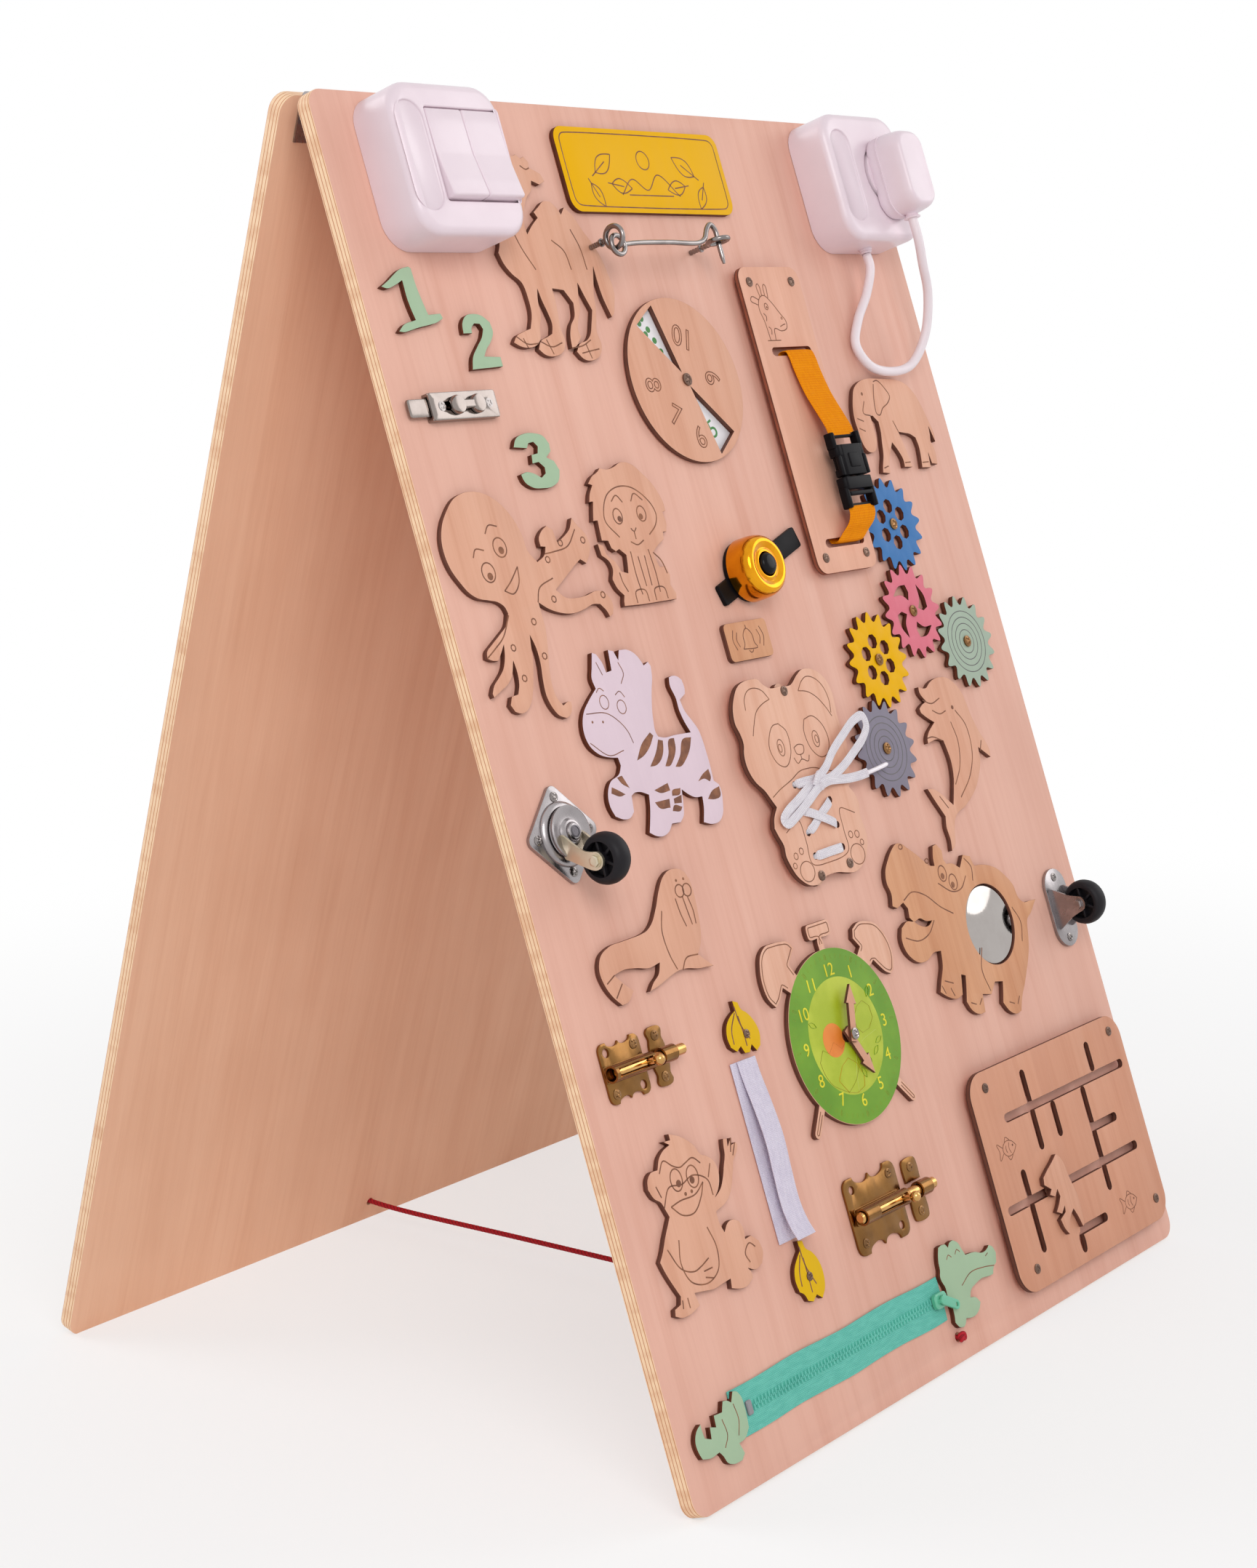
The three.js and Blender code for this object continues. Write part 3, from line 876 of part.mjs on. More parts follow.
const strap_slit = strapSlit()
  .translate(0, BUCKLE.socket_length / 2, -WEBBING.thickness / 2 - BUCKLE.clearance);
node('buckle_socket', cut(socket_half, hollow, buckle_window, strap_slit), paint('#1c1a1d', 0.5),
  strapAt(BUCKLE_SHARES.socket), BUCKLE.level);
const tongue_half = slab(BUCKLE.width, BUCKLE.tongue_length, BUCKLE.corner, BUCKLE.depth, 3)
  .translate(0, 0, -BUCKLE.depth / 2);
const prongBody = () => block(BUCKLE.prong_width, BUCKLE.prong_length + FIT.sink, BUCKLE.prong_depth);
const prongs = [-1, 1].map((side) => prongBody()
  .translate(side * (BUCKLE.width / 2 - 2 * BUCKLE.wall - BUCKLE.prong_width / 2 - BUCKLE.clearance),
    BUCKLE.tongue_length / 2 + BUCKLE.prong_length / 2 - FIT.sink, -BUCKLE.prong_depth / 2));
const tongue_slit = strapSlit()
  .translate(0, -BUCKLE.tongue_length / 2, -WEBBING.thickness / 2 - BUCKLE.clearance);
node('buckle_tongue', cut(join(tongue_half, ...prongs), tongue_slit), paint('#1c1a1d', 0.5),
  strapAt(BUCKLE_SHARES.tongue), BUCKLE.level);

// Door latch: a folded case over a sliding blade with a grip of two lobes.
const latch_place = spot('latch');
const blade_level = LATCH.wall + LATCH.clearance;
const case_hollow = block(LATCH.width + 2 * FIT.overrun, LATCH.blade_width + 2 * LATCH.clearance,
  LATCH.blade_depth + 2 * LATCH.clearance).translate(0, 0, LATCH.wall);
const case_slot = block(LATCH.slot_length, LATCH.slot_width + 2 * LATCH.clearance, LATCH.depth)
  .translate(0, 0, LATCH.wall + LATCH.blade_depth);
const case_screw = disc(LATCH.screw, LATCH.wall + FIT.glue, BALL_SIDES)
  .translate(LATCH.width / 2 - 2 * LATCH.screw, 0, LATCH.depth - FIT.glue);
const case_block = join(slab(LATCH.width, LATCH.height, BOLT.wall, LATCH.depth, 3), case_screw);
node('latch_case', cut(case_block, case_hollow, case_slot), zinc(), latch_place, FIT.glue);
const blade = block(LATCH.blade_length, LATCH.blade_width, LATCH.blade_depth)
  .translate(-LATCH.width / 2 - LATCH.tongue + LATCH.blade_length / 2, 0, 0);
const LOBE_SHARES = [-0.13, 0.17];
const lobe_level = LATCH.depth - blade_level + LATCH.clearance;
const lobes = LOBE_SHARES.flatMap((share) => [
  disc(LATCH.slot_width / 2, lobe_level + FIT.sink, BALL_SIDES).translate(share * LATCH.width, 0, 0),
  disc(LATCH.lobe, LATCH.lobe_height, 16).translate(share * LATCH.width, 0, lobe_level),
]);
const lobe_bridge = block(LATCH.width * (LOBE_SHARES[1] - LOBE_SHARES[0]), LATCH.stem, LATCH.lobe_height)
  .translate(LATCH.width * (LOBE_SHARES[0] + LOBE_SHARES[1]) / 2, 0, lobe_level);
node('latch_bolt', join(blade, ...lobes, lobe_bridge), zinc(), latch_place, FIT.glue + blade_level);

// Animal plates.
// The camel stands against the switch box, so its plate moves with the box's right side.
const camel_shift = (BOX.width - DRAWN_SHARES.box * FITTED * SQUARE.width) / 2;
node('camel', plate(CAMEL_SHARES), burnt(), [camel_shift, 0], FIT.glue);
node('elephant', plate(ELEPHANT_SHARES), burnt(), [0, 0], FIT.glue);
node('octopus', plate(OCTOPUS_SHARES), burnt(), [0, 0], FIT.glue);
node('lion', plate(LION_SHARES), burnt(), [0, 0], FIT.glue);
node('zebra', plate(ZEBRA_SHARES), paint('#cfc4cf', 0.5), [0, 0], FIT.glue);
node('walrus', plate(WALRUS_SHARES), burnt(), [0, 0], FIT.glue);
node('monkey', plate(MONKEY_SHARES), burnt(), [0, 0], FIT.glue);
node('dolphin', plate(DOLPHIN_SHARES), burnt(), [0, 0], FIT.glue);
const mirror_hole = shift(
  disc(MIRROR.hole, PLY.thickness + 2 * FIT.overrun, CURVE.round + BALL_SIDES),
  spot('mirror'), -FIT.overrun,
);
node('hippo', cut(plate(HIPPO_SHARES), mirror_hole), paint('#cf9168', 0.6), [0, 0], FIT.glue);
const mirror_disc = disc(MIRROR.radius, MIRROR.thickness, CURVE.round + BALL_SIDES);
node('mirror', mirror_disc, paint('#8c8078', 0.05, 1), spot('mirror'), FIT.glue);

// Gear train: five wheels of one size on pegs, turned so that their teeth mesh.
function gearShape() {
  const points = [];
  const pitch_angle = 2 * Math.PI / GEAR.teeth;
  const tip = pitch_angle * GEAR.tip_share / 2;
  const root = pitch_angle * GEAR.root_share / 2 + GEAR.backlash / GEAR.pitch;
  for (let tooth = 0; tooth < GEAR.teeth; tooth += 1) {
    const middle = tooth * pitch_angle;
    [[GEAR.root, root - pitch_angle], [GEAR.root, -root], [GEAR.outer, -tip], [GEAR.outer, tip]]
      .slice(1).forEach(([radius, angle]) => points.push(new THREE.Vector2(radius * Math.cos(middle + angle),
        radius * Math.sin(middle + angle))));
    points.push(new THREE.Vector2(GEAR.root * Math.cos(middle + root), GEAR.root * Math.sin(middle + root)));
  }
  return shapeOf(points);
}

function gearBody(style) {
  const shape = gearShape();
  shape.holes.push(ring_path(SPINNER.hole, BALL_SIDES));
  if (style === 'holes') {
    for (let index = 0; index < GEAR.holes; index += 1) {
      const angle = (index + 1 / 2) * 2 * Math.PI / GEAR.holes;
      const middle = [GEAR.hole_circle * Math.cos(angle), GEAR.hole_circle * Math.sin(angle)];
      shape.holes.push(ring_path(GEAR.hole, 8, middle));
    }
  }
  if (style === 'blades') {
    const BLADE_SHARES = [[0, 0.12], [0.45, 0.36], [1, 0.62], [0.92, 0.3], [0.8, 0.04], [0.4, -0.04]];
    for (let index = 0; index < GEAR.blades; index += 1) {
      shape.holes.push(new THREE.Path(BLADE_SHARES.map(([out, turn]) => {
        const radius = GEAR.blade_inner + out * (GEAR.blade_outer - GEAR.blade_inner);
        const angle = index * 2 * Math.PI / GEAR.blades + turn * Math.PI / 2;
        return new THREE.Vector2(radius * Math.cos(angle), radius * Math.sin(angle));
      })));
    }
  }
  return extrude(shape, GEAR.thickness);
}

// A tooth of the driven wheel meets a gap of its driver on the line between the two centres.
const tooth_degrees = 360 / GEAR.teeth;
const meshTurn = (driver_turn, line) => 2 * line + 180 + tooth_degrees / 2 - driver_turn;
const pink_turn = 0;
const yellow_turn = meshTurn(pink_turn, GEAR_TURN_DEGREES.yellow);
const GEARS = [
  ['blue_gear', blue_place, meshTurn(pink_turn, GEAR_TURN_DEGREES.blue), 'holes', '#4a78b4'],
  ['pink_gear', pink_place, pink_turn, 'blades', '#c96f8e'],
  ['yellow_gear', yellow_place, yellow_turn, 'holes', '#d9b23c'],
  ['green_gear', green_place, meshTurn(pink_turn, GEAR_TURN_DEGREES.green), 'plain', '#93a893'],
  ['grey_gear', grey_place, meshTurn(yellow_turn, GEAR_TURN_DEGREES.grey), 'plain', '#a79aa6'],
];
GEARS.forEach(([name, place, turn, style, color]) => {
  const gear = node(name, gearBody(style), paint(color, 0.5), place, GEAR.level);
  gear.rotation.z = turn * DEGREE;
});

// Counter bell: base with a strap, hollow dome and a sprung button.
const bell_place = spot('bell');
const strap_corner = END_ROUND_SHARE * BELL.strap_width / 2;
const bell_strap = slab(BELL.strap_length, BELL.strap_width, strap_corner, BELL.strap_height, 4)
  .rotateZ(BELL.turn_degrees * DEGREE);
const bell_middle = offset(bell_place, spot('bell_strap'));
const stem_height = BELL.shoulder - BELL.travel - FIT.running;
const bell_base = join(disc(BELL.base, BELL.base_height - FIT.glue), shift(bell_strap, bell_middle),
  disc(BELL.stem, stem_height - BELL.travel, BALL_SIDES));
node('bell_base', bell_base, paint('#2c2a2c', 0.45), bell_place, FIT.glue);
const DOME_SHARES = [[1, 0], [0.99, 0.3], [0.93, 0.6], [0.8, 0.82]];
const dome_height = BELL.shoulder - BELL.bottom;
const dome_outer = DOME_SHARES.map(([out, up]) => [out * BELL.radius, up * dome_height]);
const dome_inner = dome_outer.map(([out, up]) => [out - BELL.wall, up]).reverse();
const crown = dome_height + BELL.wall;
node('bell_dome', revolve([
  ...dome_outer, [BELL.dish + BELL.wall, crown], [BELL.dish, crown], [BELL.bore, crown - BELL.wall / 2],
  [BELL.bore, crown - 2 * BELL.wall], [BELL.dish, crown - 2 * BELL.wall], ...dome_inner, [BELL.radius, 0],
]), gold(), bell_place, BELL.bottom);
const button_level = BELL.shoulder;
const BUTTON_SHARES = [[1, -0.5], [0.75, 0.45], [0.35, 0.72], [0, 0.78]];
node('bell_button', revolve([
  [0, -BELL.travel], [BELL.stem, -BELL.travel], [BELL.button, -BELL.travel / 2],
  ...BUTTON_SHARES.map(([out, up]) => [out * BELL.button, BELL.top - BELL.shoulder + up * BELL.button_rise]),
]), paint('#1b1a1d', 0.35), bell_place, button_level);

// Panda board with lacing holes, and one lace tied in a bow.
const panda_shape = shapeOf(outlineOf(PANDA_SHARES));
panda_shape.holes.push(...PANDA_HOLE_SHARES.map((share) => ring_path(LACE.hole, 8, at(share))));
const panda_spacers = PANDA_SPACER_SHARES.map((share) => shift(disc(PLY.spacer_radius, PLY.spacer + FIT.sink,
  BALL_SIDES), at(share)));
const panda_plate = extrude(panda_shape, PLY.thickness).translate(0, 0, PLY.spacer);
node('panda_board', join(panda_plate, ...panda_spacers), burnt(), [0, 0], FIT.glue);
const lace_level = FIT.glue + PLY.spacer + PLY.thickness + FIT.glue + LACE.thickness / 2;
const laid = (shares, level) => shares.map((share) => new THREE.Vector3(...at(share), level));
const lace_runs = LACE_RUN_SHARES.map((run, index) => (
  tape(laid(run, lace_level + index * LACE.stack), LACE.width, LACE.thickness)));
const lace_loops = LACE_LOOP_SHARES.map((route, index) => {
  const loop = new THREE.CatmullRomCurve3(laid(route, lace_level + LACE.lift + index * LACE.stack * 2));
  return tape(loop.getPoints(route.length + 1), LACE.width, LACE.thickness);
});
const lace_backs = LACE_BACK_SHARES.map((ends) => tape(ends.map((share) => new THREE.Vector3(
  ...at(share), LACE.back_level)), LACE.back_width, LACE.thickness));
const lace_risers = PANDA_HOLE_SHARES.map((share) => (
  shift(disc(LACE.in_hole, lace_level - LACE.back_level, 8), at(share), LACE.back_level)));
const lace_knot = shift(slab(LACE.knot_width, LACE.knot_height, LACE.width / 2, LACE.knot_depth, 3),
  at(LACE_KNOT_SHARES), lace_level - LACE.thickness / 2);
const lace_body = join(...lace_runs, lace_knot, ...lace_loops, ...lace_backs, ...lace_risers);
node('lace', lace_body, paint('#dcd6dc', 0.85));

// Swivel caster: square plate with a raised race, a turning fork and a wheel.
const swivel_place = spot('swivel');
const race_top = FIT.glue + CASTER.plate_depth + CASTER.race_height;
const RACE_SHARES = [[1, 0], [0.9, 0.8], [0.8, 1]];
const race = revolve([
  [0, 0],
  ...RACE_SHARES.map(([out, up]) => [out * CASTER.race, up * CASTER.race_height]),
  [0, CASTER.race_height],
]).translate(0, 0, CASTER.plate_depth);
const bore_depth = CASTER.plate_depth + CASTER.race_height + 2 * FIT.overrun;
const swivel_bore = disc(CASTER.pin - CASTER.gap, bore_depth, 16).translate(0, 0, -FIT.overrun);
node('swivel_plate', cut(join(slab(CASTER.plate, CASTER.plate, CASTER.pin, CASTER.plate_depth, 3)
  .rotateZ(Math.PI / 4), race), swivel_bore), zinc(), swivel_place, FIT.glue);
const fork_level = race_top + CASTER.gap;
const arm_gap = CASTER.wheel_width / 2 + CASTER.gap * 2;
const axle_rise = CASTER.axle_level - fork_level;
function armShape(root_width, rise, tip) {
  const shape = new THREE.Shape();
  shape.moveTo(-root_width / 2, 0);
  shape.lineTo(root_width / 2, 0);
  shape.lineTo(tip, rise);
  shape.absarc(0, rise, tip, 0, Math.PI, false);
  return shape;
}
const arms = [-1, 1].map((side) => extrude(armShape(CASTER.arm_width, axle_rise, CASTER.hub), CASTER.arm)
  .rotateX(Math.PI / 2).rotateZ(Math.PI / 2)
  .translate(side * (arm_gap + CASTER.arm / 2) - CASTER.arm / 2, -CASTER.trail, 0));
const fork_top = disc(CASTER.fork, CASTER.fork_depth);
const fork_width = 2 * (arm_gap + CASTER.arm);
const fork_reach = CASTER.trail + CASTER.arm_width / 2;
const fork_arm_plate = block(fork_width, fork_reach, CASTER.fork_depth).translate(0, -fork_reach / 2, 0);
const fork_axle = rodX(CASTER.axle, fork_width).translate(0, -CASTER.trail, axle_rise);
const fork_rivet = disc(CASTER.pin, CASTER.fork_depth + CASTER.plate_depth, 16);
const fork_pin = disc(CASTER.pin - 2 * CASTER.gap, CASTER.race_height + CASTER.gap + FIT.sink, 16)
  .translate(0, 0, -CASTER.race_height - CASTER.gap);
const fork_body = join(fork_top, fork_arm_plate, ...arms, fork_axle, fork_rivet, fork_pin);
node('swivel_fork', fork_body, paint('#cfc8a8', 0.4, 1), swivel_place, fork_level);
function wheelBody(radius, width) {
  const half = width / 2;
  const rim = radius - CASTER.tread;
  return cut(revolve([
    [0, -half], [CASTER.hub, -half], [rim - CASTER.tread, -half + CASTER.tread], [rim, -half],
    [radius, -half + CASTER.tread], [radius, half - CASTER.tread], [rim, half],
    [rim - CASTER.tread, half - CASTER.tread], [CASTER.hub, half], [0, half],
  ]).rotateY(Math.PI / 2), rodX(CASTER.bore, width + 2 * FIT.overrun, BALL_SIDES));
}
const rubber = () => paint('#232125', 0.7);
node('swivel_wheel', wheelBody(CASTER.wheel, CASTER.wheel_width), rubber(),
  [swivel_place[0], swivel_place[1] - CASTER.trail], CASTER.axle_level);

const fixed_place = spot('fixed');
const fixed_rise = CASTER.fixed_axle_level - FIT.glue;
const fixed_plate = slab(CASTER.fixed_width, CASTER.fixed_length, END_ROUND_SHARE * CASTER.fixed_width / 2,
  CASTER.plate_depth, 5);
const fixedArm = () => extrude(armShape(CASTER.fixed_arm_width, fixed_rise, CASTER.hub), CASTER.arm);
const fixed_arms = [-1, 1].map((side) => fixedArm()
  .rotateX(Math.PI / 2).rotateZ(Math.PI / 2)
  .translate(side * (arm_gap + CASTER.arm / 2) - CASTER.arm / 2, 0, 0));
const fixed_axle = rodX(CASTER.axle, 2 * (arm_gap + CASTER.arm), BALL_SIDES).translate(0, 0, fixed_rise);
node('fixed_fork', join(fixed_plate, ...fixed_arms, fixed_axle), zinc(), fixed_place, FIT.glue);
node('fixed_wheel', wheelBody(CASTER.fixed_wheel, CASTER.wheel_width), rubber(), fixed_place,
  CASTER.fixed_axle_level);

// Barrel bolts: plate with a slotted sleeve, and a rod with a cranked knob.
function boltPlate(width, height, rod, axis, sleeve) {
  const outer = rod + BOLT.clearance + BOLT.wall;
  const base = slab(width, height, BOLT.small_rod, BOLT.plate_depth, 3);
  const tube = rodX(outer, sleeve, 16).translate(0, 0, axis);
  const foot = block(sleeve, 2 * outer * BOLT.foot_share, axis - BOLT.clearance);
  const hole = rodX(rod + BOLT.clearance, width + 2 * FIT.overrun, 16).translate(0, 0, axis);
  return [join(base, tube, foot), hole];
}
function boltRod(rod, length, knob_along, lever_end) {
  const bar = rodX(rod, length, 16);
  const lever = wire([new THREE.Vector3(knob_along, 0, 0), new THREE.Vector3(...lever_end)
    .lerp(new THREE.Vector3(knob_along, 0, 0), 1 / 2), new THREE.Vector3(...lever_end)], BOLT.lever, 3, 8);
  return join(bar, lever, ball(BOLT.ball).translate(...lever_end));
}
const small_place = spot('small_plate');
const small_local = small_axis - FIT.glue;
const [small_solid, small_hole] = boltPlate(BOLT.small_plate_width, BOLT.small_plate_height, BOLT.small_rod,
  small_local, BOLT.small_plate_width);
const SMALL_SLOT_SHARES = { middle: 0, length: 0.86 };
const small_slot = block(BOLT.small_plate_width * SMALL_SLOT_SHARES.length, BOLT.slot,
  BOLT.small_rod + BOLT.wall + FIT.overrun)
  .translate(BOLT.small_plate_width * SMALL_SLOT_SHARES.middle, 0, small_local);
node('small_bolt_plate', cut(small_solid, small_hole, small_slot), gold(), small_place, FIT.glue);
const SMALL_ROD_SHARES = { start: 23, end: 76, knob: 44.5 };
const small_rod_x = (SMALL_ROD_SHARES.start + SMALL_ROD_SHARES.end) * GRID.width / 2;
const small_knob = SMALL_ROD_SHARES.knob * GRID.width - small_rod_x;
node('small_bolt', boltRod(BOLT.small_rod, BOLT.small_length, small_knob,
  [small_knob, 0, BOLT.small_reach]), gold(), [small_rod_x, small_place[1]], small_axis);

const big_place = spot('big_plate');
const big_local = big_axis - FIT.glue;
const [big_solid, big_hole] = boltPlate(BOLT.big_plate_width, BOLT.big_plate_height, BOLT.big_rod, big_local,
  BOLT.big_sleeve);
const BIG_SLOT_SHARES = { middle: 0.12, length: 0.66 };
const slot_depth = BOLT.big_rod + BOLT.wall + FIT.overrun;
const big_slot = block(BOLT.big_sleeve * BIG_SLOT_SHARES.length, BOLT.slot, slot_depth)
  .translate(BOLT.big_sleeve * BIG_SLOT_SHARES.middle, 0, big_local);
node('big_bolt_plate', cut(big_solid, big_hole, big_slot), gold(), big_place, FIT.glue);
const BIG_ROD_SHARES = { start: 178, end: 251, knob: 216 };
const big_rod_x = (BIG_ROD_SHARES.start + BIG_ROD_SHARES.end) * GRID.width / 2;
const big_knob = BIG_ROD_SHARES.knob * GRID.width - big_rod_x;
node('big_bolt', boltRod(BOLT.big_rod, BOLT.big_length, big_knob, [big_knob, 0, BOLT.big_reach]), gold(),
  [big_rod_x, big_place[1]], big_axis);
node('big_bolt_keeper', keeper(BOLT.big_keeper_width, BOLT.big_keeper_height, BOLT.big_rod, big_local,
  BOLT.plate_depth), gold(), [spot('big_keeper')[0], big_place[1]], FIT.glue);

// Hook and loop strap: base strip with an upper strip bowed over it.
const strip_top = Math.max(...UPPER_BANANA_SHARES.map((share) => share[1])) + VELCRO_SHARES.top_gap;
const strip_bottom = Math.min(...LOWER_BANANA_SHARES.map((share) => share[1])) - VELCRO_SHARES.bottom_gap;
const strip_length = (strip_bottom - strip_top) * GRID.height;
const strip_base = block(VELCRO.lower_width, strip_length, VELCRO.base)
  .translate(0, -strip_length / 2, 0);
const STRIP_SHARES = [
  [0, 0], [0.1, 0.15], [0.25, 0.6], [0.45, 1], [0.65, 0.8], [0.82, 0.75], [0.93, 1.2], [1, 1.8],
];
const strip_path = STRIP_SHARES.map(([along, up]) => new THREE.Vector3(
  VELCRO.bow, -along * strip_length, VELCRO.base + VELCRO.upper / 3 + up * VELCRO.bow));
const strip_upper = band(strip_path, VELCRO.width, VELCRO.upper, new THREE.Vector3(1, 0, 0));
node('velcro_strap', join(strip_base, strip_upper), paint('#dbd3da', 0.9),
  at([VELCRO_SHARES.left, strip_top]),
  FIT.glue);

// Clock: one plate with alarm bells, knob and feet, and two arrow hands on a post.
const clock_place = spot('clock');
const clockAt = near('clock');
const dial = shift(disc(CLOCK.radius, PLY.thickness, CURVE.round * 2), clock_place);
const alarms = [LEFT_ALARM_SHARES, RIGHT_ALARM_SHARES].map((shares) => (
  plate(shares, PLY.thickness, clockAt)));
const clockBar = (share, width, depth = PLY.thickness) => {
  const start = share[0];
  const end = share[1];
  const middle = [(start[0] + end[0]) / 2, (start[1] + end[1]) / 2];
  const length = Math.hypot(end[0] - start[0], end[1] - start[1]);
  return slab(length, width, END_ROUND_SHARE * width / 2, depth, 3)
    .rotateZ(Math.atan2(end[1] - start[1], end[0] - start[0])).translate(middle[0], middle[1], 0);
};
const legs = LEG_SHARES.map((ends) => clockBar(ends.map(clockAt), CLOCK.leg_width));
const alarm_stems = ALARM_STEM_SHARES.map((ends) => clockBar(ends.map(clockAt), CLOCK.stem));
const knob_slab = slab(KNOB.width, KNOB.height, KNOB.corner, PLY.thickness, 3);
const knob_bar = shift(knob_slab, clockAt(KNOB_SHARES[0]));
const knob_foot = [clockAt(KNOB_SHARES[1])[0], clock_place[1] + CLOCK.radius / 2];
const knob_stem = clockBar([clockAt(KNOB_SHARES[1]), knob_foot], KNOB.stem);
const clock_post = [

  shift(
    disc(CLOCK.washer, CLOCK.washer_height + FIT.sink, BALL_SIDES), clock_place, PLY.thickness - FIT.sink),
  shift(disc(CLOCK.post, CLOCK.post_top, BALL_SIDES), clock_place),
  shift(disc(CLOCK.cap, CLOCK.cap_height, BALL_SIDES), clock_place, CLOCK.post_top - FIT.glue / 2),
];
node('clock_body', join(dial, ...alarms, ...alarm_stems, ...legs, knob_bar, knob_stem, ...clock_post),
  paint('#c9976c', 0.6), [0, 0], FIT.glue);
function handShape() {
  const side = CLOCK.hand_width / 2;
  const point = CLOCK.point_width / 2;
  const neck = CLOCK.hand - CLOCK.point_length;
  const shape = shapeOf([[side, -CLOCK.ring], [side, neck], [point, neck], [0, CLOCK.hand], [-point, neck],
    [-side, neck], [-side, -CLOCK.ring]].map(([across, up]) => new THREE.Vector2(across, up)));
  shape.holes.push(ring_path(CLOCK.hole, BALL_SIDES));
  return shape;
}
const hour_hand = node(
  'hour_hand', extrude(handShape(), CLOCK.hand_depth), burnt(), clock_place, CLOCK.hour_level);
hour_hand.rotation.z = -CLOCK.hour_degrees * DEGREE;
const minute_hand = node('minute_hand', extrude(handShape(), CLOCK.hand_depth), burnt(), clock_place,
  CLOCK.minute_level);
minute_hand.rotation.z = -CLOCK.minute_degrees * DEGREE;

// Maze board on spacers, with a figure that slides along its longest slot.
const maze_low = at(MAZE_PLATE_SHARES[0]);
const maze_high = at(MAZE_PLATE_SHARES[1]);
const maze_middle = [(maze_low[0] + maze_high[0]) / 2, (maze_low[1] + maze_high[1]) / 2];
const maze_plate = slab(maze_high[0] - maze_low[0], maze_low[1] - maze_high[1], MAZE.corner, PLY.thickness)
  .translate(...maze_middle, PLY.spacer);
const maze_slots = MAZE_SLOT_SHARES.map((ends) => clockBar(ends.map(at), MAZE.slot,
  PLY.spacer + PLY.thickness + 2 * FIT.overrun).translate(0, 0, -FIT.overrun));
const maze_spacers = MAZE_SPACER_SHARES.map((share) => shift(disc(PLY.spacer_radius, PLY.spacer + FIT.sink,
  BALL_SIDES), at(share)));
const maze_body = join(cut(maze_plate, ...maze_slots), ...maze_spacers);
node('maze_board', maze_body, paint('#d29d74', 0.6), [0, 0], FIT.glue);
const slider_pivot = at(PIVOT_SHARES.maze_slider);
const figure_level = FIT.glue + PLY.spacer + PLY.thickness + FIT.running;
const slider_stem = disc(MAZE.stem, figure_level - MAZE.foot_level + FIT.sink, BALL_SIDES)
  .translate(0, 0, MAZE.foot_level);
const slider_foot = disc(MAZE.foot, MAZE.foot_depth, BALL_SIDES).translate(0, 0, MAZE.foot_level);
const slider_figure = plate(SLIDER_FIGURE_SHARES, MAZE.figure)
  .translate(-slider_pivot[0], -slider_pivot[1], figure_level);
const slot_line = at([PIVOT_SHARES.maze_slider[0], MAZE_SLOT_SHARES[6][0][1]]);
node('maze_slider', join(slider_stem.translate(0, slot_line[1] - slider_pivot[1], 0),
  slider_foot.translate(0, slot_line[1] - slider_pivot[1], 0), slider_figure), burnt(), slider_pivot, 0);

// Zipper tape between the crocodile's tail and head, and its slider.
const zip_length = (ZIP_SHARES.right - ZIP_SHARES.left) * GRID.width;
const zip_height = (ZIP_SHARES.bottom - ZIP_SHARES.top) * GRID.height;
const zip_middle = at([(ZIP_SHARES.left + ZIP_SHARES.right) / 2, (ZIP_SHARES.top + ZIP_SHARES.bottom) / 2]);
const coil_length = (ZIP_SHARES.coil_right - ZIP_SHARES.coil_left) * GRID.width;
const coil_middle = (ZIP_SHARES.coil_right + ZIP_SHARES.coil_left) * GRID.width / 2 - zip_middle[0];
const zip_body = join(block(zip_length, zip_height, ZIP.tape), block(coil_length, ZIP.coil_width, ZIP.coil)
  .translate(coil_middle, 0, 0), block(ZIP.stop_length, ZIP.stop_width, ZIP.coil)
  .translate(ZIP_SHARES.stop * GRID.width - zip_middle[0], 0, 0));
const croc_bodies = [CROC_HEAD_SHARES, CROC_TAIL_SHARES].map((shares) => (
  manifold(plate(shares, PLY.thickness * 2))
    .translate(-zip_middle[0], -zip_middle[1], -PLY.thickness)));
const tape_rest = croc_bodies.reduce((rest, tool) => rest.subtract(tool), zip_body);
const tape_piece = tape_rest.decompose().sort((one, two) => two.volume() - one.volume())[0];
node('zip_tape', tape_piece, paint('#3f9b94', 0.85), zip_middle, FIT.glue);
const zip_place = [at(PIVOT_SHARES.zip_slider)[0], zip_middle[1]];
const zip_floor = FIT.glue + ZIP.tape + ZIP.clearance;
const zip_block = slab(ZIP.slider_length, ZIP.slider_width, ZIP.stop_length / 2, ZIP.slider_height, 3);
const zip_channel = block(ZIP.slider_length * 2, ZIP.coil_width + 2 * ZIP.clearance, ZIP.coil - ZIP.tape
  + FIT.overrun).translate(0, 0, -FIT.overrun);
const pull = slab(ZIP.pull_length, ZIP.pull_width, END_ROUND_SHARE * ZIP.pull_width / 2, ZIP.pull_depth, 3)
  .translate(ZIP.pull_length / 2 - ZIP.pull_width / 2, 0, ZIP.slider_height - FIT.glue)
  .rotateZ(ZIP.pull_turn_degrees * DEGREE);
node('zip_slider', join(cut(zip_block, zip_channel), pull), paint('#3fa06a', 0.4), zip_place, zip_floor);

// Origin under the middle of the standing board.
stand.updateMatrixWorld(true);
export default group;
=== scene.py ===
"""Activity board for toddlers: two hinged plywood panels that stand as a tent, dressed piece by piece."""
import math

import bmesh
import bpy
import numpy as np
from mathutils import Matrix, Vector
from mathutils.geometry import delaunay_2d_cdt

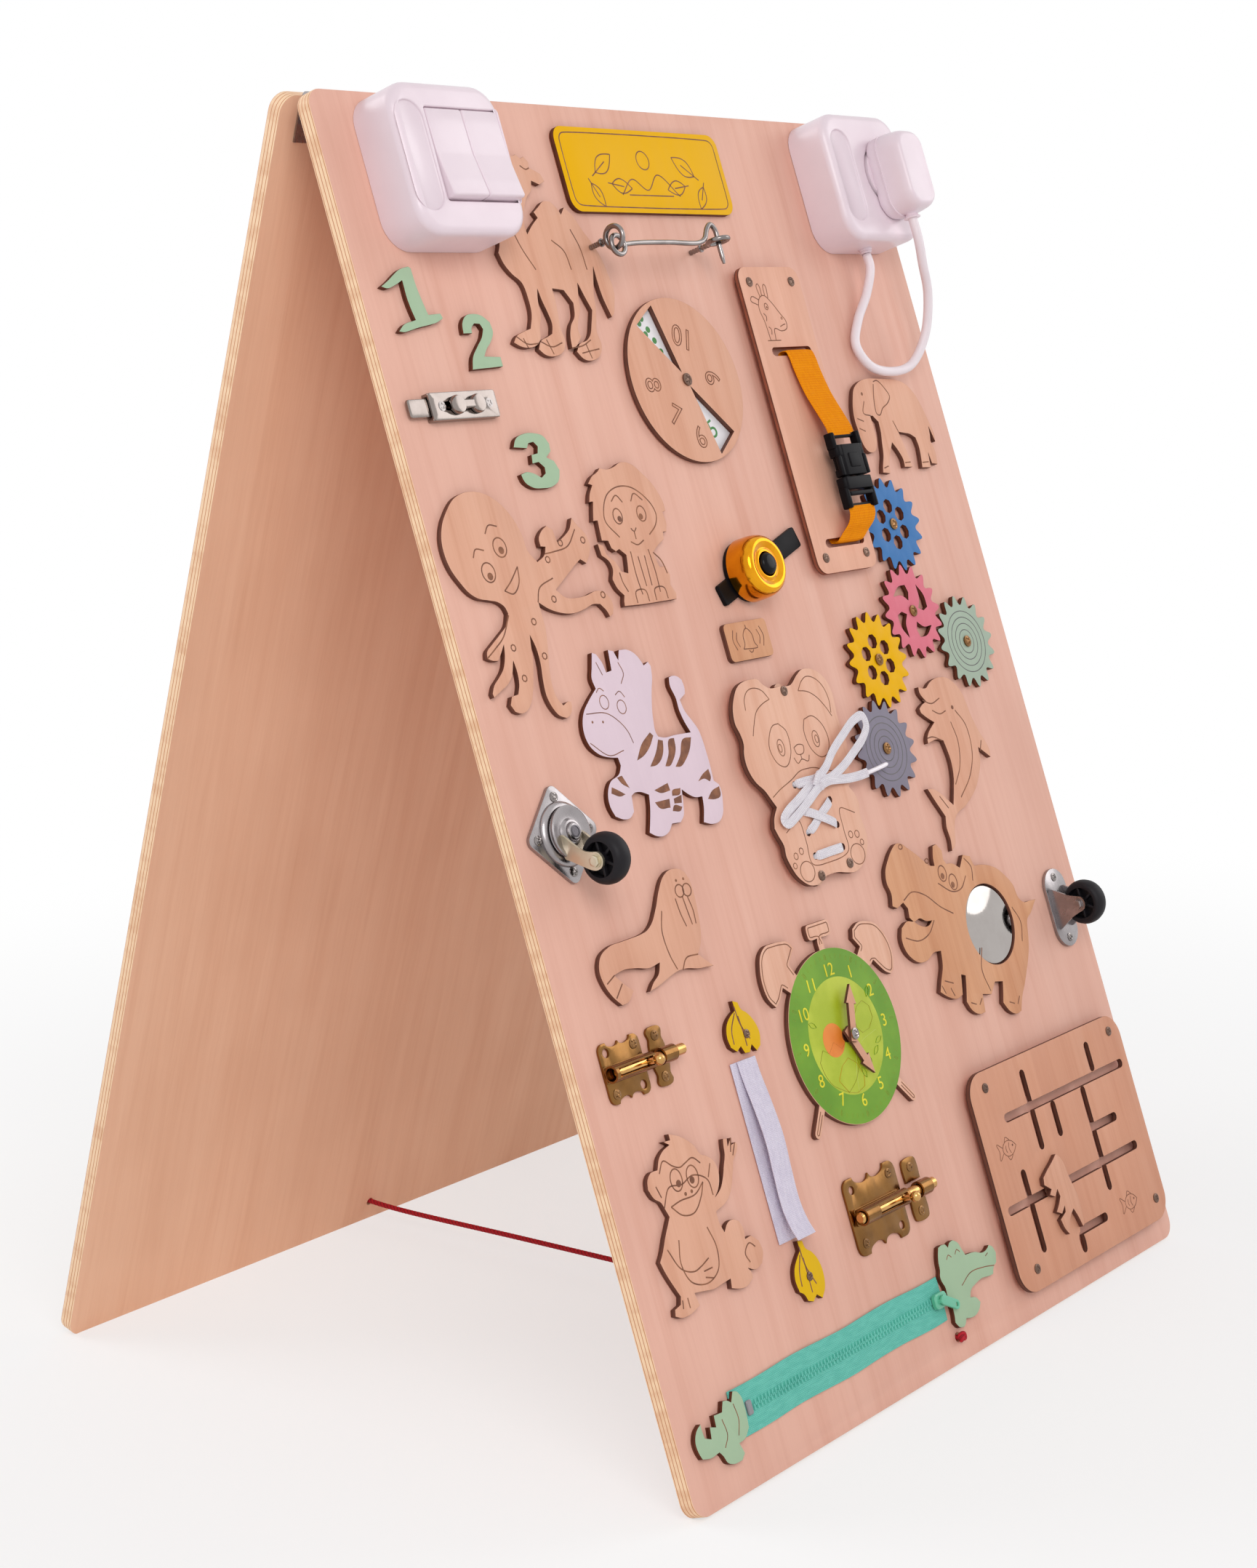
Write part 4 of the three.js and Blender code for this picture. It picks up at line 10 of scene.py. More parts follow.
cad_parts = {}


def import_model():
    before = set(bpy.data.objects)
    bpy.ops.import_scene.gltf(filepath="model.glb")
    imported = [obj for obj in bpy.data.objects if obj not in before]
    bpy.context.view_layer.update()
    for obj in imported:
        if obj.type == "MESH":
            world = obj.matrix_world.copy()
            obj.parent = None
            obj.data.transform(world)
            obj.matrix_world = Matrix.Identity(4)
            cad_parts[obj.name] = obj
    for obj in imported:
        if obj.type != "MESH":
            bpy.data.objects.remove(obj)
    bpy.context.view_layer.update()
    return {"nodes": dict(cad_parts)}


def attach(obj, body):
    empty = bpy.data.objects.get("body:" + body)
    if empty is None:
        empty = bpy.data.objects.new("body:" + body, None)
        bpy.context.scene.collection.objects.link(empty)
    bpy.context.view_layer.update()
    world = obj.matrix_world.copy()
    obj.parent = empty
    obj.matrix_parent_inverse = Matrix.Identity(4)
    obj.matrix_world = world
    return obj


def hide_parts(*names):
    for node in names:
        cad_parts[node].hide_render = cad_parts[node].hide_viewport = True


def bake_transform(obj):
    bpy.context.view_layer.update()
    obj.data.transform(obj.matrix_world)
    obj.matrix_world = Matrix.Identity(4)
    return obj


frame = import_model()

# Camera: it stood in front of the board, well to the left and a little over its middle, slightly turned
# on its own axis. Its framing is the photograph's, so the shift is only what that needs.
MM = 0.001
EYE = np.array([-1234.07, -1027.87, 594.01]) * MM
AZIMUTH, RISE, ROLL = np.radians([-55.7002, 8.4599, -0.9001])
LENS, SHIFT = 62.81, (-0.16156, -0.05248)


def stand(made, right, up, back, place):
    """Link a camera or a lamp to the scene, with its own axes and its place."""
    pose = np.eye(4)
    pose[:3, :] = np.column_stack([right, up, back, place])
    made.matrix_world = Matrix(pose.tolist())
    bpy.context.scene.collection.objects.link(made)


def aim_camera():
    """Camera axes: back is the way from the board to the eye, right is level, then both turn by the roll."""
    back = np.array([math.sin(AZIMUTH) * math.cos(RISE), -math.cos(AZIMUTH) * math.cos(RISE), math.sin(RISE)])
    right = np.cross(-back, [0, 0, 1])
    right /= np.linalg.norm(right)
    up = np.cross(right, -back)
    camera = bpy.data.objects.new("studio_camera", bpy.data.cameras.new("studio_camera"))
    camera.data.lens = LENS
    camera.data.shift_x, camera.data.shift_y = SHIFT
    stand(camera, math.cos(ROLL) * right + math.sin(ROLL) * up, math.cos(ROLL) * up - math.sin(ROLL) * right,
          back, EYE)
    bpy.context.scene.camera = camera


aim_camera()

# The two leaning panels give the frame that every piece is laid out in: x across, y up the slope and z out
# of the face, in millimetres from the top left corner. Places are written in squares of a grid laid over the
# front face, and SQUARE is one of them in millimetres.
LEAN = math.radians(17.85)
SINE, COSINE = math.sin(LEAN), math.cos(LEAN)
PANEL = {"width": 490, "height": 734, "thickness": 8.5, "gap": 7.5, "corner": 10, "foot": 0.8}
SQUARE = np.array([1, -1.0445])
FACE_TOP = PANEL["height"] * COSINE + PANEL["thickness"] * SINE - PANEL["foot"]
FACE_OUT = PANEL["gap"] / 2 + PANEL["thickness"] * COSINE
FRONT_AXES = np.array([[1, 0, 0], [0, SINE, COSINE], [0, -COSINE, SINE]])
FRONT_CORNER = np.array([-PANEL["width"] / 2, -FACE_OUT, FACE_TOP])
REAR_AXES = np.array([[1, 0, 0], [0, SINE, -COSINE], [0, COSINE, SINE]])
REAR_CORNER = np.array([-PANEL["width"] / 2, FACE_OUT, FACE_TOP])


def front(points):
    """World metres of points on the front panel: its corner plus each coordinate along its own axis."""
    return (FRONT_CORNER + np.asarray(points, float) @ FRONT_AXES) * MM


def rear(points):
    """World metres of points on the rear panel, whose y runs down its slope."""
    return (REAR_CORNER + np.asarray(points, float) @ REAR_AXES) * MM


def spot(share):
    """Place on the panel in millimetres, from squares across and down; a third number is kept as it is."""
    share = np.asarray(share, float)
    return np.concatenate([share[..., :2] * SQUARE, share[..., 2:]], -1)


TINY = 1e-9


def unit(rows, tiny=0.0):
    """Directions scaled to length 1; tiny keeps a direction of no length from dividing by zero."""
    return rows / (np.linalg.norm(rows, axis=1)[:, None] + tiny)


def run_along(path):
    """Distance run at each point of a path."""
    return np.r_[0, np.cumsum(np.linalg.norm(np.diff(path, axis=0), axis=1))]


def length_of(path):
    """Whole length of a path, in its own units."""
    return float(np.linalg.norm(np.diff(path, axis=0), axis=1).sum())


def lay_of(path, across, deep):
    """Where each point of a swept section lies along, across and through it, for its material."""
    return np.stack(np.broadcast_arrays(run_along(path)[:, None], across, deep), -1)


def cubic(share, span, one, leave, two, reach):
    """Points a share of the way from one place to the next, with the slopes at both ends."""
    return ((2 * share**3 - 3 * share**2 + 1) * one + (share**3 - 2 * share**2 + share) * span * leave
            + (3 * share**2 - 2 * share**3) * two + (share**3 - share**2) * span * reach)


def curve(points, count, closed=False):
    """Smooth line: cubic pieces whose slope at a point comes from its neighbours, read at even lengths."""
    line = np.asarray(points, float)
    if closed:
        line = np.vstack([line[-3:], line, line[:4]])
    knots = np.r_[0, np.cumsum(np.sqrt(np.linalg.norm(np.diff(line, axis=0), axis=1)))]
    slope = np.gradient(line, knots, axis=0)
    ends = (knots[3], knots[-4]) if closed else (0, knots[-1])
    reads = np.linspace(*ends, count * 8)
    piece = np.clip(np.searchsorted(knots, reads, side="right") - 1, 0, len(knots) - 2)
    span = (knots[piece + 1] - knots[piece])[:, None]
    share = (reads - knots[piece])[:, None] / span
    fine = cubic(share, span, line[piece], slope[piece], line[piece + 1], slope[piece + 1])
    run = run_along(fine)
    even = np.linspace(0, run[-1], count + 1 if closed else count)
    smooth = np.column_stack([np.interp(even, run, fine[:, axis]) for axis in range(fine.shape[1])])
    return smooth[:-1] if closed else smooth


def skin(rings, caps=True):
    """Faces between rings of equal counts; the first and the last ring are closed by one face each."""
    rows, count = rings.shape[:2]
    across = np.arange(count)
    low = np.arange(rows - 1)[:, None] * count + across
    high = np.arange(rows - 1)[:, None] * count + (across + 1) % count
    faces = np.stack([low, high, high + count, low + count], -1).reshape(-1, 4).tolist()
    if caps:
        faces += [list(range(count))[::-1], list(range((rows - 1) * count, rows * count))]
    return rings.reshape(-1, 3), faces


def tube(path, radius, sides=14, ref=(0, 0, 1), closed=False):
    """Round wire: at each point a circle square to the path, its own axes turned from one reference line."""
    path = np.asarray(path, float)
    along = unit(np.roll(path, -1, 0) - np.roll(path, 1, 0) if closed else np.gradient(path, axis=0))
    side = unit(np.cross(along, ref))
    top = np.cross(side, along)
    angle = np.arange(sides) * 2 * np.pi / sides
    radius = np.broadcast_to(radius, len(path))[:, None, None]
    rings = (path[:, None] + radius * (np.cos(angle)[None, :, None] * side[:, None]
             + np.sin(angle)[None, :, None] * top[:, None]))
    lay = lay_of(path, angle / (2 * np.pi), 0.0)
    if closed:
        rings = np.concatenate([rings, rings[:1]])
        lay = np.concatenate([lay, lay[:1]])
    points, faces = skin(rings[:, ::-1], not closed)
    return points, faces, lay[:, ::-1].reshape(-1, 3)


def piece(name, body, finish, *shells, at=front, stands_for=(), slot=None, sharp=38, weld=0.002):
    """One object from its shells of points and faces, welded, smooth but for its sharp edges, on one body."""
    points, faces, lays, start = [], [], [], 0
    for shell in shells:
        points.append(shell[0])
        lays.append(shell[2] if len(shell) > 2 else shell[0])
        faces += [[start + corner for corner in face] for face in shell[1]]
        start += len(shell[0])
    mesh = bpy.data.meshes.new(name)
    mesh.from_pydata(at(np.concatenate(points)), [], faces)
    lay = mesh.attributes.new("lay", "FLOAT_VECTOR", "POINT")
    lay.data.foreach_set("vector", np.ascontiguousarray(np.concatenate(lays), np.float32).ravel())
    work = bmesh.new()
    work.from_mesh(mesh)
    bmesh.ops.remove_doubles(work, verts=work.verts, dist=weld * MM)
    bmesh.ops.recalc_face_normals(work, faces=work.faces)
    work.to_mesh(mesh)
    work.free()
    mesh.polygons.foreach_set("use_smooth", [True] * len(mesh.polygons))
    mesh.set_sharp_from_angle(angle=math.radians(sharp))
    mesh.materials.append(finish)
    made = bpy.data.objects.new(name, mesh)
    bpy.context.scene.collection.objects.link(made)
    if body:
        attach(made, body)
    if stands_for:
        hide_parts(*stands_for)
    return made


class Shade:
    """A value in a material's nodes: sums written with it add Math nodes to the same tree."""

    def __init__(self, tree, socket=None):
        self.tree, self.socket = tree, socket

    def make(self, kind, inputs=None, out=0, **settings):
        """New node: its settings, its inputs as numbers or other Shades, and the socket read from it."""
        node = self.tree.nodes.new(kind)
        for key, value in settings.items():
            setattr(node, key, value)
        for key, value in (inputs or {}).items():
            if isinstance(value, Shade):
                self.tree.links.new(value.socket, node.inputs[key])
            else:
                node.inputs[key].default_value = value
        return Shade(self.tree, node.outputs[out])

    def maths(self, operation, *others):
        """Math node with this value first."""
        return self.make("ShaderNodeMath", dict(enumerate((self,) + others)), operation=operation)

    def __add__(self, other):
        return self.maths("ADD", other)

    def __mul__(self, other):
        return self.maths("MULTIPLY", other)

    def __rsub__(self, other):
        return self.make("ShaderNodeMath", {0: other, 1: self}, operation="SUBTRACT")

    def step(self, low, high, to_low=0.0, to_high=1.0):
        """Soft step: to_low under low, to_high over high."""
        names = ("Value", "From Min", "From Max", "To Min", "To Max")
        return self.make("ShaderNodeMapRange", dict(zip(names, (self, low, high, to_low, to_high))),
                         interpolation_type="SMOOTHSTEP")

    def mix(self, one, two):
        """Colour between two colours."""
        return self.make("ShaderNodeMix", {0: self, 6: one, 7: two}, out=2, data_type="RGBA")

    def place(self, *scale):
        """Place stretched along each axis."""
        return self.make("ShaderNodeVectorMath", {0: self, 1: scale}, operation="MULTIPLY")

    def part(self, letter):
        """One coordinate of a place."""
        return self.make("ShaderNodeSeparateXYZ", {0: self}, out="XYZ".index(letter))

    def noise(self, detail=3.0, rough=0.55, warp=0.0):
        """Smooth noise read at this place."""
        inputs = {"Vector": self, "Scale": 1.0, "Detail": detail, "Roughness": rough, "Distortion": warp}
        return self.make("ShaderNodeTexNoise", inputs)


def tint(red, green, blue):
    """Linear colour of a colour written on the screen's scale of 0 to 255."""
    scale = np.array([red, green, blue]) / 255
    return tuple(np.where(scale <= 0.04045, scale / 12.92, ((scale + 0.055) / 1.055) ** 2.4)) + (1.0,)


def tints(*colours):
    """Linear colours of several (red, green, blue)."""
    return [tint(*colour) for colour in colours]


def finish(name, paint, **steady):
    """Material whose varying sockets come from one function of its tree; steady numbers are set as given."""
    made = bpy.data.materials.new(name)
    made.use_nodes = True
    tree = made.node_tree
    shader = tree.nodes["Principled BSDF"]
    for key, value in steady.items():
        shader.inputs[key.replace("_", " ")].default_value = value
    for key, value in paint(Shade(tree)).items():
        if key == "Bump":
            height, strength, depth = value
            inputs = {"Height": height, "Strength": strength, "Distance": depth}
            bump = Shade(tree).make("ShaderNodeBump", inputs)
            tree.links.new(bump.socket, shader.inputs["Normal"])
        else:
            tree.links.new(value.socket, shader.inputs[key])
    return made


VENEER = 2.3


def ply(name, face, dark, side, line, cover=0.0, rear_side=False, figure=1.0, gloss=0.58):
    """Birch plywood. Its grain is noise drawn out along the slope, in three widths; cover is how far a paint
    hides it. Walls, told by the normal, take the side colour, with a glue line after each veneer."""
    face, dark, side, line = tints(face, dark, side, line)

    def paint(start):
        turn = -(math.pi / 2 + (LEAN if rear_side else -LEAN))
        source = start.make("ShaderNodeTexCoord", out=3)
        board = start.make("ShaderNodeMapping", {"Vector": source, "Rotation": (turn, 0, 0)})
        normal = start.make("ShaderNodeMapping", {"Vector": start.make("ShaderNodeTexCoord", out=1),
                                                  "Rotation": (turn, 0, 0)})
        wander = board.place(6, 3.2, 6).noise(2.0)
        broad = board.place(26, 1.9, 26).noise(3.0, 0.5, 1.4)
        streak = board.place(150, 4.5, 150).noise(4.0, 0.6, 0.3)
        fibre = board.place(1100, 26, 1100).noise(2.0)
        flame = (board.part("X") * 95 + wander * 9 + broad * 5).maths("SINE")
        depth = broad.step(0.35, 0.7) * 0.45 + streak.step(0.42, 0.72) * 0.4 + flame.step(0.1, 1.0) * 0.22
        depth = (depth + fibre.step(0.4, 0.75) * 0.2) * ((1 - cover) * figure)
        mottle = board.place(9, 9, 9).noise(2.0)
        wood = depth.mix(face, dark)
        deeper = tuple(value * 0.86 for value in dark[:3]) + (1.0,)
        wood = (mottle.step(0.35, 0.7) * (0.16 * (1 - cover))).mix(wood, deeper)
        wall = 1 - normal.part("Z").maths("ABSOLUTE").step(0.55, 0.93)
        glue = (board.part("Z") * (math.pi / MM / VENEER) + streak * 0.7).maths("SINE").maths("ABSOLUTE")
        scorch = board.place(120, 120, 40).noise(3.0)
        edge = (1 - glue.step(0.12, 0.5)).mix(side, line)
        edge = (scorch.step(0.4, 0.7) * 0.35).mix(edge, line)
        return {"Base Color": wall.mix(wood, edge),
                "Roughness": streak.step(0.2, 0.8, gloss - 0.05, gloss + 0.1),
                "Bump": (streak * 0.5 + fibre, 0.16 * (1 - 0.6 * cover), 0.0004)}
    return finish(name, paint, Specular_IOR_Level=0.1 if cover else 0.5)


BURNT, CHARRED = (104, 58, 42), (66, 36, 27)
birch = ply("birch_front", (235, 184, 165), (218, 159, 138), (255, 220, 182), (204, 130, 84),
            figure=0.62)
birch_rear = ply("birch_rear", (250, 206, 174), (228, 172, 136), (255, 220, 182), (204, 130, 84),
                 rear_side=True, figure=0.5)
cut_birch = ply("laser_cut_birch", (229, 174, 146), (211, 150, 120), BURNT, CHARRED, figure=0.85)
toasted = ply("laser_cut_toasted", (220, 162, 122), (198, 134, 94), BURNT, CHARRED, figure=0.85)


def signed(loop):
    """Area of a closed line, positive where it runs anticlockwise."""
    ahead = np.roll(loop, -1, 0)
    return float(np.sum(loop[:, 0] * ahead[:, 1] - ahead[:, 0] * loop[:, 1])) / 2


def outlines(node, level):
    """Edge lines of a CAD node's flat face at one height over the front panel: edges that only one of its
    triangles has, chained."""
    mesh = frame["nodes"][node].data
    raw = np.zeros(len(mesh.vertices) * 3, np.float32)
    mesh.vertices.foreach_get("co", raw)
    local = (raw.reshape(-1, 3) / MM - FRONT_CORNER) @ FRONT_AXES.T
    mesh.calc_loop_triangles()
    corners = np.zeros(len(mesh.loop_triangles) * 3, np.int32)
    mesh.loop_triangles.foreach_get("vertices", corners)
    corners = corners.reshape(-1, 3)
    flat = np.all(np.abs(local[corners][:, :, 2] - level) < 0.03, axis=1)
    keys, index = np.unique(np.round(local[:, :2], 2), axis=0, return_inverse=True)
    faces = index.ravel()[corners[flat]]
    area = np.cross(keys[faces[:, 1]] - keys[faces[:, 0]], keys[faces[:, 2]] - keys[faces[:, 0]])
    faces = faces[np.abs(area) > 1e-6]
    turned = area[np.abs(area) > 1e-6] < 0
    faces[turned] = faces[turned][:, ::-1]
    edges = set(map(tuple, np.concatenate([faces[:, [0, 1]], faces[:, [1, 2]], faces[:, [2, 0]]]).tolist()))
    ahead = {}
    for one, two in edges:
        if (two, one) not in edges:
            ahead.setdefault(one, []).append(two)
    found = []
    while ahead:
        first = here = next(iter(ahead))
        line = []
        while here in ahead:
            line.append(keys[here])
            onward = ahead[here].pop()
            if not ahead[here]:
                del ahead[here]
            here = onward
            if here == first:
                break
        if len(line) > 2:
            found.append(np.array(line))
    return found


def smoothed(loop, step=1.3, corner=40, straight=11):
    """Loop with cubic pieces between its points; sharp turns stay corners and long edges stay straight."""
    length = np.linalg.norm(np.roll(loop, -1, 0) - loop, axis=1)
    loop = loop[length > 0.05]
    ahead = np.roll(loop, -1, 0) - loop
    length = np.linalg.norm(ahead, axis=1)
    way = ahead / length[:, None]
    behind, behind_length = np.roll(way, 1, 0), np.roll(length, 1)
    turn = np.degrees(np.abs(np.arctan2(np.cross(behind, way), np.sum(behind * way, 1))))
    weight = (behind_length / (behind_length + length))[:, None]
    slope = weight * way + (1 - weight) * behind
    slope = np.where((length > straight)[:, None], way, slope)
    slope = np.where((behind_length > straight)[:, None], behind, slope)
    slope = unit(slope)
    sharp = (turn > corner)[:, None]
    leave, reach = np.where(sharp, way, slope), np.roll(np.where(sharp, behind, slope), -1, 0)
    count = np.maximum(1, np.round(length / step)).astype(int)
    owner = np.repeat(np.arange(len(loop)), count)
    share = ((np.arange(len(owner)) - np.repeat(np.r_[0, np.cumsum(count)[:-1]], count))
             / count[owner])[:, None]
    span, two = length[owner][:, None], np.roll(loop, -1, 0)[owner]
    return cubic(share, span, loop[owner], leave[owner], two, reach[owner])


def inset(loop, depth):
    """Loop moved inwards: each point goes along the mean of its two edges' normals."""
    way = unit(np.roll(loop, -1, 0) - loop, TINY)
    mean = unit(way + np.roll(way, 1, 0), TINY)
    return loop + depth * np.column_stack([-mean[:, 1], mean[:, 0]])


def raise_loop(loop, height):
    """Loop of flat points at one height over the panel."""
    return np.column_stack([loop, np.full(len(loop), float(height))])


def within(loop, places):
    """True for a place inside a loop: an odd number of its edges lie on the place's right."""
    start, end = loop[:, None, :2], np.roll(loop, -1, 0)[:, None, :2]
    rise = end[..., 1] - start[..., 1]
    share = (places[:, 1] - start[..., 1]) / np.where(rise == 0, TINY, rise)
    crossing = (start[..., 1] > places[:, 1]) != (end[..., 1] > places[:, 1])
    return (crossing & (places[:, 0] < start[..., 0] + share * (end[..., 0] - start[..., 0]))).sum(0) % 2 == 1


def face_over(loops, up=True):
    """Level face between an outer loop and its holes: the constrained Delaunay triangles whose middles lie in
    the outer loop and in no hole."""
    first = np.cumsum([0] + [len(loop) for loop in loops])
    edges = [(low + step, low + (step + 1) % (high - low)) for low, high in zip(first, first[1:])
             for step in range(high - low)]
    places = [Vector(point[:2]) for loop in loops for point in loop]
    corners, _, faces = delaunay_2d_cdt(places, edges, [], 1, 1e-5)[:3]
    flat, fill = np.array(corners), np.array(faces)
    middle = flat[fill].mean(1)
    inside = within(loops[0], middle)
    for hole in loops[1:]:
        inside &= ~within(hole, middle)
    fill = fill[inside]
    area = np.cross(flat[fill[:, 1]] - flat[fill[:, 0]], flat[fill[:, 2]] - flat[fill[:, 0]])
    wrong = area < 0 if up else area > 0
    fill[wrong] = fill[wrong][:, ::-1]
    return np.column_stack([flat, np.full(len(flat), loops[0][0, 2])]), fill.tolist()


def slab(outer, holes, low, high, edge=0.3):
    """Flat board with eased upper edges: walls and easing rings round each loop, and a face on each side."""
    parts, tops = [], []
    for loop in [outer] + list(holes):
        rings = [raise_loop(inset(loop, 0.0), low), raise_loop(loop, high - edge),
                 raise_loop(inset(loop, edge * 0.3), high - edge * 0.3), raise_loop(inset(loop, edge), high)]
        parts.append(skin(np.array(rings), caps=False))
        tops.append((rings[0], rings[-1]))
    for side in (0, 1):
        parts.append(face_over([pair[side] for pair in tops], side == 1))
    return parts


def plates(node, level, depth, small=0.0, rim=lambda loop: loop):
    """Every flat island of a CAD node at one height, as (middle, shells), cut as a board of one depth.
    Holes of less area than small stay closed; rim redraws the outer edge."""
    loops = [smoothed(loop) for loop in outlines(node, level)]
    outers = [loop for loop in loops if signed(loop) > 0]
    holes = [loop for loop in loops if signed(loop) < -small]
    found = []
    for outer in outers:
        low, high = outer.min(0), outer.max(0)
        inner = [hole for hole in holes if np.all(hole.min(0) > low) and np.all(hole.max(0) < high)]
        found.append(((low + high) / 2, slab(rim(outer), inner, level - depth, level)))
    return found


def cut(node, level, depth, **more):
    """Shells of all flat islands of a CAD node at one height, for one piece."""
    return [shell for _, shells in plates(node, level, depth, **more) for shell in shells]


def oblong(width, height, corner, per=6, middle=(0, 0)):
    """Rounded rectangle: quarter circles at its corners, anticlockwise from the right side's upper end."""
    turn = (np.arange(4)[:, None] + np.linspace(0, 1, per + 1)) * np.pi / 2
    across = np.array([1, -1, -1, 1])[:, None] * (width / 2 - corner) + corner * np.cos(turn)
    up = np.array([1, 1, -1, -1])[:, None] * (height / 2 - corner) + corner * np.sin(turn)
    return np.stack([across, up], -1).reshape(-1, 2) + middle


def loft(levels, middle=(0, 0)):
    """Solid through rounded rectangles, one for each (width, height, corner, level)."""
    return skin(np.array([raise_loop(oblong(w, h, c, middle=middle), z) for w, h, c, z in levels]))


def lathe(profile, sides=40, middle=(0, 0), caps=True):
    """Turned solid: the profile's (radius, level) points carried round the z axis."""
    angle = np.arange(sides) * 2 * np.pi / sides
    profile = np.asarray(profile, float)
    rings = np.stack([profile[:, :1] * np.cos(angle) + middle[0], profile[:, :1] * np.sin(angle) + middle[1],
                      np.repeat(profile[:, 1:], sides, 1)], -1)
    return skin(rings, caps)


def moved(shell, offset, turn=0.0, axis="z"):
    """Shell turned about one axis by degrees, then moved."""
    angle = math.radians(turn)
    cosine, sine = math.cos(angle), math.sin(angle)
    one, two = {"z": (0, 1), "x": (1, 2), "y": (2, 0)}[axis]
    points = np.array(shell[0], float)
    first = points[:, one] * cosine - points[:, two] * sine
    points[:, two] = points[:, one] * sine + points[:, two] * cosine
    points[:, one] = first
    return (points + offset, shell[1]) + tuple(shell[2:])


def along_x(shell):
    """Shell whose z axis is laid along x."""
    return (shell[0][:, [2, 0, 1]], shell[1]) + tuple(shell[2:])


def along_y(shell):
    """Shell whose z axis is laid along y."""
    return (shell[0][:, [1, 2, 0]], shell[1]) + tuple(shell[2:])


# Front panel: an 8.5 mm birch board with rounded corners and one hole for the limit string near its foot.
# The lowest inner edge is sanded level with the floor.
STRING = {"radius": 1.6, "place": (243, 689.5), "hole": 2.6}
FLOOR = (-np.inf, -np.inf, 0)


def circle(radius, middle, sides=32):
    """Circle as a hole: it runs clockwise."""
    angle = -np.arange(sides) * 2 * np.pi / sides
    return np.column_stack([np.cos(angle), np.sin(angle)]) * radius + middle


def panel(axes_at, up):
    """One panel: a rounded board with the string's hole, kept over the floor."""
    middle = np.array([PANEL["width"] / 2, up * PANEL["height"] / 2])
    board = oblong(PANEL["width"], PANEL["height"], PANEL["corner"], per=8, middle=middle)
    hole = circle(STRING["hole"], spot(STRING["place"]) * (1, -up))
    shells = slab(board, [hole], -PANEL["thickness"], 0, edge=0.6)
    return shells, lambda points: np.maximum(axes_at(points), FLOOR)


shells, over_floor = panel(front, -1)
piece("front_board", "board", birch, *shells, at=over_floor, stands_for=("front_panel",), slot="birch_panel")
shells, over_floor = panel(rear, 1)
piece("rear_board", "rear", birch_rear, *shells, at=over_floor, stands_for=("rear_panel",), slot="dark_panel")

# Cut plates: laser-cut birch ply, 3.2 mm thick, glued on; the beam leaves their walls dark brown and its
# lighter passes draw thin burnt lines on their faces.
LEVEL = {"plate": 3.5, "raised": 6.7, "joined": 3.2, "turning": 4.0}
THIN = 3.2
GLUE = 0.3
SUNK = 0.12
# Holes of less area, in square millimetres, are there for a screw and stay closed.
GEAR_HOLE, SCREW_HOLE = 12, 40


def char(start):
    """Burnt line: dark brown, paler where noise says that the beam moved faster."""
    patch = start.make("ShaderNodeTexCoord", out=3).place(160, 160, 160).noise(3.0)
    return {"Base Color": patch.step(0.35, 0.72).mix(tint(112, 66, 44), tint(152, 101, 72)),
            "Roughness": patch.step(0.2, 0.8, 0.6, 0.8)}


burn = finish("burnt_line", char)


def ribbon(line, width, level, rise=0.05, closed=False):
    """Burnt line as a thin strip along a smooth route, its foot sunk in the face."""
    path = curve(line, max(4, int(length_of(line) / 1.1)), closed)
    if closed:
        path = np.vstack([path, path[:1]])
    way = unit(np.gradient(path, axis=0), TINY)
    side = np.column_stack([-way[:, 1], way[:, 0]]) * width / 2
    rings = [np.column_stack([path + sign * side, np.full(len(path), level + up)])
             for sign, up in ((1, -SUNK), (1, rise), (-1, rise), (-1, -SUNK))]
    return skin(np.stack(rings, 1)[:, ::-1])


def ring_line(middle, radius, width, level, tall=1.0, turn=0.0, count=14):
    """Burnt oval."""
    angle = np.arange(count) * 2 * np.pi / count
    oval = np.column_stack([np.cos(angle), tall * np.sin(angle)]) * radius
    cosine, sine = math.cos(math.radians(turn)), math.sin(math.radians(turn))
    return ribbon(oval @ [[cosine, sine], [-sine, cosine]] + spot(middle), width, level, closed=True)


def spot_disc(middle, radius, level, rise=0.06, sides=20):
    """Burnt or painted dot: a low disc whose foot is sunk in the face."""
    return lathe([(radius, level - SUNK), (radius, level + rise * 0.6), (radius * 0.9, level + rise)], sides,
                 spot(middle))


def engrave(name, body, level, strokes, width=0.75, ovals=(), dots=()):
    """All burnt lines of one plate as one piece: open strokes, (place, radius, tall, turn) ovals and dots."""
    shells = [ribbon(spot(np.array(stroke, float)), width, level) for stroke in strokes]
    shells += [ring_line(place, radius, width, level, *rest) for place, radius, *rest in ovals]
    shells += [spot_disc(place, radius, level) for place, radius in dots]
    return piece(name, body, burn, *shells, weld=0)


CAMEL_LINES = [
    [(118, 41), (122, 43), (128, 42), (133, 45)], [(141, 36), (145, 38), (148, 37)],
    [(113, 52), (119, 56), (126, 57)], [(120, 68), (124, 80), (131, 92)], [(150, 76), (158, 82), (160, 92)],
    [(168, 70), (172, 80), (173, 92)], [(101, 127), (108, 131), (117, 131)],
    [(119, 130), (127, 133), (136, 131)], [(143, 134), (152, 133), (160, 130)],
    [(150, 137), (157, 136), (165, 135)], [(106, 128), (108, 133)], [(124, 129), (127, 137)],
    [(155, 132), (157, 140)],
]
ELEPHANT_LINES = [
    [(415.5, 161.5), (420, 161), (426, 166), (429, 171), (425, 175), (418, 178), (413, 182), (410, 181),
     (410, 177), (412, 170), (415, 163)],
    [(388, 183), (394, 185)], [(387.5, 189), (393, 191)], [(400, 173), (396, 180), (403, 182)],
    [(402, 214), (407, 213)], [(426, 212), (432, 212)], [(445, 213), (452, 213)], [(428, 193), (425, 186)],
]
